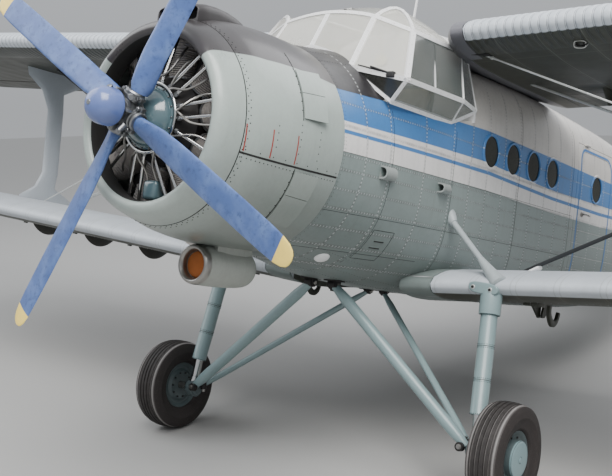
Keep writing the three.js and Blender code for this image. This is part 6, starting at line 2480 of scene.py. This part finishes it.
def brace_piece(name):
    parts = [brace_tube("front_brace", (0.118, 2.313, -0.96), (1.38, 2.441, -2.022), 0.046)]
    parts.append(brace_tube("rear_brace", (0.082, 3.128, -0.985), (1.36, 2.52, -2.015), 0.028))
    parts += eye("low_eye", (1.352, 2.395, -2.026), (0.1, -1, 0.1), 0.034, 0.05)
    parts += eye("rear_low_eye", (1.33, 2.505, -2.01), (0.2, 0, 1), 0.028, 0.07)
    parts += eye("belly_eye", (0.118, 2.313, -0.955), (1, 0, 0.1), 0.04, 0.06)
    parts += eye("rear_belly_eye", (0.082, 3.128, -0.98), (1, 0, 0.1), 0.03, 0.05)
    for x, y, half in ((0.118, 2.313, 0.04), (0.082, 3.128, 0.034)):
        for out in (-1, 1):
            middle = x + out * half
            tall = -hoop(y)[1]
            outline = [
                (y - 0.034, -tall + 0.012), (y + 0.034, -tall + 0.012), (y + 0.03, -0.975), (y, -0.995),
                (y - 0.03, -0.975)
            ]
            parts.append(
                painted(prism("belly_lug", outline, "x", middle - 0.005, middle + 0.005), dark_metal)
            )
        flange = prism(
            "belly_flange", [(x + u, y + v) for u, v in oblong(half + 0.045, 0.062, 24, 3.5)], "z",
            -tall - 0.004, -tall + 0.018
        )
        parts.append(painted(flange, dark_metal))
    return joined(name, parts)


both_sides(brace_piece("braces_and_eyes_left"), gear_paint, 32, "gear_braces_")

# %% [markdown]
# ## The wheels
# The tyre's section is drawn once and spun: five ribs round the tread, a shoulder, and two thin rings on
# the bulged sidewall. The disc in its middle is slightly crowned, with a small cap, inside a dark recess.


# %% The main wheels
def tyre_section(radius, half, bead, bead_half, grooves, deep):
    """(x, radius) points of a tyre from its inner bead over the tread to its outer bead."""
    shoulder = half * 0.8
    crown = lambda x: radius - (radius * 0.045) * (abs(x) / shoulder) ** 2.6
    tread = []
    for middle in grooves:
        tread += [
            (middle - 0.0065, crown(middle)), (middle - 0.004, crown(middle) - deep),
            (middle + 0.004, crown(middle) - deep), (middle + 0.0065, crown(middle))
        ]
    ends = [-shoulder, *[(a + b) / 2 for a, b in zip(grooves, grooves[1:])], shoulder]
    tread += [(x, crown(x)) for x in ends]
    tread.sort()
    wall = [
        (bead_half, bead), (bead_half + 0.012, bead + 0.004), (bead_half + 0.022, bead + 0.016),
        (bead_half + 0.0265, bead + 0.022), (bead_half + 0.0265, bead + 0.027),
        (bead_half + 0.026, bead + 0.029), (half * 0.955, bead + (radius - bead) * 0.36),
        (half * 0.985, bead + (radius - bead) * 0.47), (half * 1.005, bead + (radius - bead) * 0.49),
        (half * 1.005, bead + (radius - bead) * 0.52), (half * 0.995, bead + (radius - bead) * 0.54),
        (half * 0.985, bead + (radius - bead) * 0.68),
        (half * 0.94, bead + (radius - bead) * 0.82), (half * 0.875, bead + (radius - bead) * 0.905),
    ]
    section = [(-x, r) for x, r in wall] + tread + wall[::-1]
    return [(r, x) for x, r in section]


tyre = turned(
    "tyre_ribbed_left", tyre_section(0.4, 0.131, 0.205, 0.081, [-0.072, -0.036, 0.0, 0.036, 0.072], 0.011),
    112, closed=True
)
stand(tyre, AXLE_AT, (1, 0, 0), "Y")
both_sides(tyre, tyre_rubber, 38, "tyre_", "wheel_")
print("tyre:", len(tyre.data.polygons), "faces")


def wheel_piece(name):
    """The rim, the outer disc with its cap and the dark back with its bolts."""
    rim = turned("rim", [
        (0.0346, 0.12), (0.0346, -0.07), (0.09, -0.07), (0.1, -0.076), (0.125, -0.078), (0.136, -0.072),
        (0.15, -0.06), (0.176, -0.062),
        (0.186, -0.074), (0.2, -0.086), (0.2045, -0.088), (0.2045, 0.088), (0.2, 0.09), (0.19, 0.084),
        (0.18, 0.07), (0.168, 0.062),
        (0.142, 0.06), (0.138, 0.064), (0.136, 0.12),
    ], 72, closed=True)
    disc = turned("disc", [
        (0, 0.1), (0.1355, 0.1), (0.1375, 0.11), (0.1365, 0.117), (0.131, 0.1215), (0.118, 0.1235),
        (0.06, 0.1265), (0.027, 0.1272),
        (0.0255, 0.1262), (0.0235, 0.1262), (0.022, 0.1275), (0.02, 0.13), (0.012, 0.1312), (0, 0.1315),
    ], 64)
    cap_ring = turned(
        "cap_ring", [(0.0232, 0.1255), (0.0262, 0.1255), (0.0262, 0.127), (0.0232, 0.127)], 40, closed=True
    )
    parts = [painted(rim, axle_paint), painted(disc, disc_paint), painted(cap_ring, dark_seam_and_shade)]
    for t in around(10):
        nut = turned(
            "rim_nut", [(0, 0.058), (0.0085, 0.058), (0.0085, 0.067), (0.0065, 0.069), (0, 0.069)], 6
        )
        back = turned(
            "back_nut", [(0, -0.09), (0.0065, -0.09), (0.0085, -0.088), (0.0085, -0.074), (0, -0.074)], 6
        )
        nut.data.transform(Matrix.Translation((0.156 * math.cos(t), 0.156 * math.sin(t), 0)))
        back.data.transform(Matrix.Translation((0.112 * math.cos(t), 0.112 * math.sin(t), 0)))
        parts += [painted(nut, dark_metal), painted(back, dark_metal)]
    piece = joined(name, parts)
    return stand(piece, AXLE_AT, (1, 0, 0), "Y")


both_sides(wheel_piece("wheel_disc_left"), disc_paint, 32, "wheel_hub_", "wheel_")

# %% [markdown]
# ## The tail wheel
# A smaller ribbed tyre on a dished hub, between the two arms of a fork that swivels under the tail.

# %% Tail wheel and fork
TAIL_AXLE = Vector((0, 10.678, -0.5006))
tail_tyre = turned(
    "tail_tyre_ribbed", tyre_section(0.235, 0.1, 0.11, 0.06, [-0.045, -0.015, 0.015, 0.045], 0.007), 80,
    closed=True
)
stand(tail_tyre, TAIL_AXLE, (1, 0, 0), "Y")
done(tail_tyre, "tail_wheel", rubber_black, crease=38)
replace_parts(tail_tyre, "tail_tyre")

half_hub = [(0.06, 0.062), (0.07, 0.078), (0.066, 0.08), (0.035, 0.08), (0.032, 0.076), (0.0175, 0.076)]
hub_section = [
    (0.1096, -0.058), (0.1096, 0.058), (0.104, 0.066), (0.096, 0.066), (0.09, 0.056), (0.072, 0.052),
    *half_hub[1:]
]
hub_section += [(r, -x) for r, x in reversed(hub_section)]
tail_hub = stand(turned("tail_hub_dished", hub_section, 56, closed=True), TAIL_AXLE, (1, 0, 0), "Y")
done(tail_hub, "tail_wheel", disc_paint, crease=32)
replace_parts(tail_hub, "tail_wheel_hub")


def tail_leg(x, forward, height):
    """A place in the upright frame of the parked tail wheel."""
    back = Matrix.Rotation(PARKED_ANGLE, 3, "X")
    return TAIL_AXLE + back @ Vector((x, -forward, height))


def fork_arm(side):
    rows = []
    x = side * 0.1255
    for height, front, rear, half in [
        (-0.052, 0.02, -0.02, 0.0075), (-0.04, 0.042, -0.042, 0.009), (0.02, 0.052, -0.046, 0.009),
        (0.12, 0.086, 0.004, 0.009), (0.2, 0.136, 0.03, 0.009), (0.262, 0.195, 0.06, 0.009)
    ]:
        middle, reach = (front + rear) / 2, (front - rear) / 2
        ring = []
        for t in around(20):
            ring.append(
                tail_leg(
                    x + half * math.copysign(abs(math.cos(t)) ** 0.35, math.cos(t)),
                    middle + reach * math.sin(t), height
                )
            )
        rows.append(ring)
    return capped(skin("fork_arm", rows))


crown_rows = []
for x, low, high in [
    (-0.1345, 0.256, 0.292), (-0.11, 0.25, 0.3), (-0.05, 0.25, 0.306), (0.05, 0.25, 0.306), (0.11, 0.25, 0.3),
    (0.1345, 0.256, 0.292)
]:
    outline = [(0.137 + u, (low + high) / 2 + v) for u, v in oblong(0.078, (high - low) / 2, 28, 4.0)]
    crown_rows.append([tail_leg(x, u, v) for u, v in outline])
crown = capped(skin("fork_crown", crown_rows))
stem = stand(
    turned(
        "fork_stem",
        [
            (0, 0), (0.062, 0), (0.066, 0.006), (0.062, 0.016), (0.048, 0.02), (0.04, 0.026), (0.04, 0.13),
            (0, 0.13)
        ],
        32
    ),
    tail_leg(0, 0.15, 0.294), tail_leg(0, 0, 1) - tail_leg(0, 0, 0)
)
axle_pin = turned(
    "tail_axle",
    [
        (0, -0.15), (0.014, -0.15), (0.022, -0.146), (0.022, -0.136), (0.016, -0.134), (0.016, 0.134),
        (0.022, 0.136), (0.022, 0.146), (0.014, 0.15), (0, 0.15)
    ],
    18
)
stand(axle_pin, TAIL_AXLE, (1, 0, 0), "Y")
fork = joined(
    "tail_fork_forged",
    [
        painted(part, gear_paint) for part in (fork_arm(1), fork_arm(-1), crown, stem)
    ] + [painted(axle_pin, bare_steel)]
)
done(fork, "tail_swivel", gear_paint, crease=40)
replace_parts(fork, "tail_fork")
print("wheels and tail wheel done")

# %% [markdown]
# ## The cockpit's inside
# Two padded seats stand on tube frames, each with a seat cushion and a back. A cushion starts as a
# bevelled slab, is remeshed evenly and is blown up a little as cloth, so that its faces crown and its
# sides pull in between the corners. A piping cord then goes round its edge.

# %% Padded cushions
PUFF = 0.014


def cushion(name, low, high):
    """A slab of cloth blown up by a light pressure, with each point's move kept under the puff."""
    piece = block(name, low, high, 0.026, 3)
    tool = piece.modifiers.new("even", "REMESH")
    tool.mode = "VOXEL"
    tool.voxel_size = 0.011
    bpy.ops.object.modifier_apply(modifier="even")
    start = np.array([v.co for v in piece.data.vertices])
    cloth = piece.modifiers.new("cloth", "CLOTH")
    cloth.settings.use_pressure = True
    cloth.settings.uniform_pressure_force = 4
    cloth.settings.effector_weights.gravity = 0
    cloth.settings.quality = 4
    cloth.point_cache.frame_end = 16
    for step in range(1, 17):
        bpy.context.scene.frame_set(step)
    bpy.ops.object.modifier_apply(modifier="cloth")
    bpy.context.scene.frame_set(1)
    moved = np.array([v.co for v in piece.data.vertices]) - start
    reach = np.linalg.norm(moved, axis=1, keepdims=True)
    moved *= np.minimum(1.0, PUFF / np.maximum(reach, 1e-9))
    piece.data.vertices.foreach_set("co", (start + moved).reshape(-1).astype(np.float32))
    return piece


def piping(low, high, z):
    """A sewn cord round a cushion's edge at one height."""
    places = [
        ((low[0] + high[0]) / 2 + u, (low[1] + high[1]) / 2 + v, z)
        for u, v in oblong((high[0] - low[0]) / 2, (high[1] - low[1]) / 2, 32, 9.0)
    ]
    return pipe("cord", places, 0.0045, 6, cyclic=True)


SEAT_X = 0.36
seat_low, seat_high = (-0.195, 2.345, 0.112), (0.195, 2.7, 0.176)
seat_pad = cushion("seat_pad", seat_low, seat_high)
back_low, back_high = (-0.195, -0.3, -0.03), (0.195, 0.3, 0.03)
back_pad = cushion("back_pad", back_low, back_high)
lean = Matrix.Translation((0, 2.712, 0.455)) @ Matrix.Rotation(math.radians(90 - 12), 4, "X")
for pad in (seat_pad, back_pad):
    pad.data.materials.append(seat_cloth)
print("cushions:", len(seat_pad.data.polygons), len(back_pad.data.polygons), "faces")

# %% Seats: cushions, pans and tube frames
for label, x in (("left", SEAT_X), ("right", -SEAT_X)):
    across = Matrix.Translation((x, 0, 0))
    pad = copied(seat_pad, "seat_cushion_" + label, across)
    back = copied(back_pad, "back_cushion_" + label, across @ lean)
    for piece, low, high, turn in (
        (pad, seat_low, seat_high, across), (back, back_low, back_high, across @ lean)
    ):
        fixed(piece, seat_cloth, crease=60)
        cords = [piping(low, high, z) for z in (low[2] + 0.006, high[2] - 0.006)]
        cord = joined(piece.name + "_piping", cords)
        cord.data.transform(turn)
        fixed(cord, seam_cloth)
    pan = block("pan", (x - 0.205, 2.335, 0.086), (x + 0.205, 2.715, 0.11), 0.01, 3)
    shell = prism("shell", oblong(0.203, 0.318, 28, 6.0), "z", -0.052, -0.033)
    shell.data.transform(across @ lean)
    tubes = []
    for out in (-0.18, 0.18):
        tubes.append(
            pipe("leg", [(x + out, 2.35, 0.09), (x + out, 2.345, 0.02), (x + out, 2.34, -0.066)], 0.0125, 10)
        )
        tubes.append(
            pipe("leg", [(x + out, 2.7, 0.09), (x + out, 2.705, 0.02), (x + out, 2.71, -0.066)], 0.0125, 10)
        )
        tubes.append(pipe("rail", [(x + out, 2.33, -0.06), (x + out, 2.72, -0.06)], 0.01, 8, smooth=False))
    seat = joined("seat_frame_" + label, [painted(part, seat_metal) for part in (pan, shell, *tubes)])
    fixed(seat, seat_metal)
for pad in (seat_pad, back_pad):
    bpy.data.objects.remove(pad)

# %% [markdown]
# ## The instrument panel and the controls
# Round dials in two rows, each with a bezel, a dark face, a few ticks and a pointer. The control columns
# rise from the floor and carry half-round wheels.

# %% The panel
BOARD_FACE = 1.886


def dial(name, x, z, radius, hand):
    """A bezel, a face, ticks round it and one pointer, facing the seats."""
    bezel = turned("bezel", [
        (radius * 0.86, 0), (radius, 0), (radius, 0.01), (radius * 0.96, 0.014), (radius * 0.9, 0.014),
        (radius * 0.86, 0.008),
    ], 32, closed=True)
    face = turned("face", [(0, 0), (radius * 0.88, 0), (radius * 0.88, 0.004), (0, 0.004)], 28)
    parts = [painted(bezel, panel_metal), painted(face, panel_black)]
    ticks = []
    for i in range(10):
        turn = math.radians(-135 + 30 * i)
        tick = block("tick", (-0.001, radius * 0.62, 0.0038), (0.001, radius * 0.8, 0.005), 0.0003, 1)
        tick.data.transform(Matrix.Rotation(turn, 4, "Z"))
        ticks.append(painted(tick, dial_white))
    pointer = block("pointer", (-0.0014, -radius * 0.14, 0.0052), (0.0014, radius * 0.64, 0.0066), 0.0005, 1)
    pointer.data.transform(Matrix.Rotation(hand, 4, "Z"))
    piece = joined(name, [*parts, *ticks, painted(pointer, dial_white)])
    turn = Matrix(((-1, 0, 0), (0, 0, 1), (0, 1, 0))).to_4x4()
    piece.data.transform(Matrix.Translation((x, BOARD_FACE, z)) @ turn)
    return piece


outline = [
    (-0.625, -0.06), (0.625, -0.06), (0.625, 0.36), (0.56, 0.52), (0.42, 0.61), (0.0, 0.66), (-0.42, 0.61),
    (-0.56, 0.52), (-0.625, 0.36)
]
board = prism("panel_board", outline, "y", 1.852, BOARD_FACE)
parts = [painted(board, panel_grey)]
hands = [0.4, -1.2, 2.0, -0.3, 1.1, -2.2, 0.9, -0.8, 2.6, -1.7, 0.1, 1.6, -2.6, 0.6]
spots = [(x, 0.47, 0.046) for x in (-0.42, -0.3, -0.18, 0.18, 0.3, 0.42)] + [
    (x, 0.34, 0.042) for x in (-0.48, -0.36, -0.24, -0.12, 0.12, 0.24, 0.36, 0.48)
]
for i, (x, z, radius) in enumerate(spots):
    parts.append(dial("dial_%d" % i, x, z, radius, hands[i]))
for i in range(9):
    lever = turned(
        "switch", [(0, 0), (0.006, 0), (0.006, 0.008), (0.003, 0.01), (0.0035, 0.026), (0, 0.029)], 10
    )
    parts.append(stand(painted(lever, dial_white), (-0.2 + 0.05 * i, BOARD_FACE, 0.225), (0, 1, 0.25)))
panel = joined("instrument_panel", parts)
fixed(panel, panel_grey)

hood_rows = []
for y, drop in ((1.842, 0.01), (1.9, 0.0), (1.985, -0.004)):
    top = [
        (x, y, np.interp(abs(x), [0, 0.42, 0.58, 0.66], [0.69, 0.655, 0.56, 0.42]) + drop)
        for x in np.linspace(-0.62, 0.62, 25)
    ]
    hood_rows.append(top + [(x, y_, z - 0.012) for x, y_, z in reversed(top)])
hood = capped(skin("panel_hood", hood_rows))
fixed(hood, panel_black)

# %% Columns, half wheels, pedals and the floor
for label, x in (("left", SEAT_X), ("right", -SEAT_X)):
    tube = pipe(
        "column_tube", [(x, 2.12, -0.075), (x, 2.105, 0.1), (x, 2.07, 0.3), (x, 2.06, 0.395)], 0.021, 12
    )
    head = turned(
        "column_head", [(0, -0.03), (0.03, -0.026), (0.036, 0.0), (0.036, 0.022), (0.022, 0.034), (0, 0.036)],
        20
    )
    stand(head, (x, 2.052, 0.41), (0, 1, 0.15))
    arcs = [
        (x + 0.145 * math.sin(t), 2.075, 0.405 + 0.12 * math.cos(t))
        for t in np.linspace(math.radians(48), math.radians(312), 19)
    ]
    wheel_arc = pipe("half_wheel", arcs, 0.0115, 10)
    bar = pipe("spoke", [(x - 0.13, 2.072, 0.385), (x, 2.066, 0.408), (x + 0.13, 2.072, 0.385)], 0.01, 8)
    boot = turned(
        "boot",
        [
            (0, -0.07), (0.062, -0.07), (0.058, -0.06), (0.05, -0.056), (0.052, -0.046), (0.04, -0.04),
            (0.042, -0.03), (0.028, -0.02), (0, -0.02)
        ],
        24
    )
    boot.data.transform(Matrix.Translation((x, 2.12, 0)))
    column = joined(
        "control_column_" + label,
        [
            painted(tube, panel_metal), painted(head, panel_metal), painted(wheel_arc, panel_black),
            painted(bar, panel_metal), painted(boot, panel_black)
        ]
    )
    fixed(column, panel_metal)
    for i, out in enumerate((-0.1, 0.1)):
        pad = block("pedal_pad", (x + out - 0.045, 1.945, 0.03), (x + out + 0.045, 1.965, 0.13), 0.006, 2)
        arm = pipe(
            "pedal_arm", [(x + out, 1.975, -0.07), (x + out, 1.965, 0.02), (x + out, 1.96, 0.08)], 0.009, 8
        )
        pedal = joined("pedal_%s_%d" % (label, i + 1), [painted(pad, panel_metal), painted(arm, panel_metal)])
        fixed(pedal, panel_metal)

floor_plate = block("cockpit_floor", (-0.7, 1.85, -0.098), (0.7, 2.955, -0.07), 0.004, 1)
edit(floor_plate)
bpy.ops.mesh.subdivide(number_cuts=1)
leave()
fixed(floor_plate, floor_mat)
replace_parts(floor_plate, "cockpit_interior")
centre = block("centre_box", (-0.12, 1.89, -0.07), (0.12, 2.26, 0.2), 0.018, 3)
levers = []
for i, lean_back in enumerate((-0.3, 0.0, 0.2, 0.35)):
    foot = Vector((-0.075 + 0.05 * i, 2.08, 0.19))
    tip = foot + Vector((0, 0.13 * math.sin(lean_back), 0.13 * math.cos(lean_back)))
    levers.append(painted(rod("lever", foot, tip, 0.005, sides=10), panel_metal))
    knob = turned("knob", [(0, -0.014), (0.01, -0.012), (0.015, 0.0), (0.011, 0.012), (0, 0.015)], 14)
    levers.append(stand(painted(knob, panel_black), tip, tip - foot))
centre_box = joined("centre_box_and_levers", [painted(centre, panel_grey), *levers])
fixed(centre_box, panel_grey)

# %% The cabin's benches get long padded seats
for label, side in (("left", 1), ("right", -1)):
    for i in range(3):
        start = 3.125 + 0.695 * i
        pad = block("bench_pad", (0.47, start, -0.378), (0.79, start + 0.665, -0.325), 0.022, 4)
        edit(pad)
        bpy.ops.mesh.subdivide(number_cuts=2, smoothness=0.35)
        leave()
        if side < 0:
            right = mirrored(pad, "bench_pad")
            bpy.data.objects.remove(pad)
            pad = right
        pad.name = "bench_cushion_%s_%d" % (label, i + 1)
        fixed(pad, seat_cloth, crease=60)
print("cockpit and cabin fitted out")

# %% [markdown]
# ## Parts whose CAD shape is right
# Many solids already have the real shape. A copy is merged at its seams, so that it can be shaded
# smooth, and it stands for its node with a proper finish.


# %% Dress the remaining nodes
def dressed(node, material):
    """A merged and smoothly shaded copy of a CAD node."""
    source = frame["nodes"][node]
    piece = source.copy()
    piece.data = source.data.copy()
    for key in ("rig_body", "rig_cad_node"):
        if key in piece:
            del piece[key]
    piece.parent = None
    bpy.context.scene.collection.objects.link(piece)
    piece.name = node + "_finish"
    piece.data.materials.clear()
    edit(piece)
    bpy.ops.mesh.customdata_custom_splitnormals_clear()
    bpy.ops.mesh.remove_doubles(threshold=0.00005)
    leave()
    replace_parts(done(piece, source["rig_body"], material, 40, level=False), node)


SLOT_FINISH = {
    "airframe_paint": silver_paint, "propeller_paint": blade_paint,
    "gear_paint": gear_paint, "engine_metal": cast_metal,
    "wire_steel": bare_steel, "interior_trim": cabin_trim, "glass": cabin_pane, "tyre": rubber_black,
}


def finish_of(node, slot):
    """The cloth surfaces of the wings and the tail have their own paints."""
    if node.startswith(("upper_wing", "upper_flap", "aileron")):
        return upper_wing_paint
    if node.startswith(("lower_wing", "lower_flap")):
        return lower_wing_paint
    if node in ("fin", "rudder"):
        return fin_paint
    if node.startswith(("tailplane", "elevator")):
        return tailplane_paint
    return SLOT_FINISH[slot]


slots_of = {entry["node"]: entry["material_slot"] for entry in frame["record"]["subparts"]}
stood_for = {node for piece in bpy.data.objects for node in piece.get("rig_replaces", [])}
for node in sorted(frame["nodes"]):
    if node in stood_for:
        continue
    slot = slots_of[node]
    dressed(node, finish_of(node, slot))
print("dressed", len(frame["nodes"]) - len(stood_for), "nodes")

# %% [markdown]
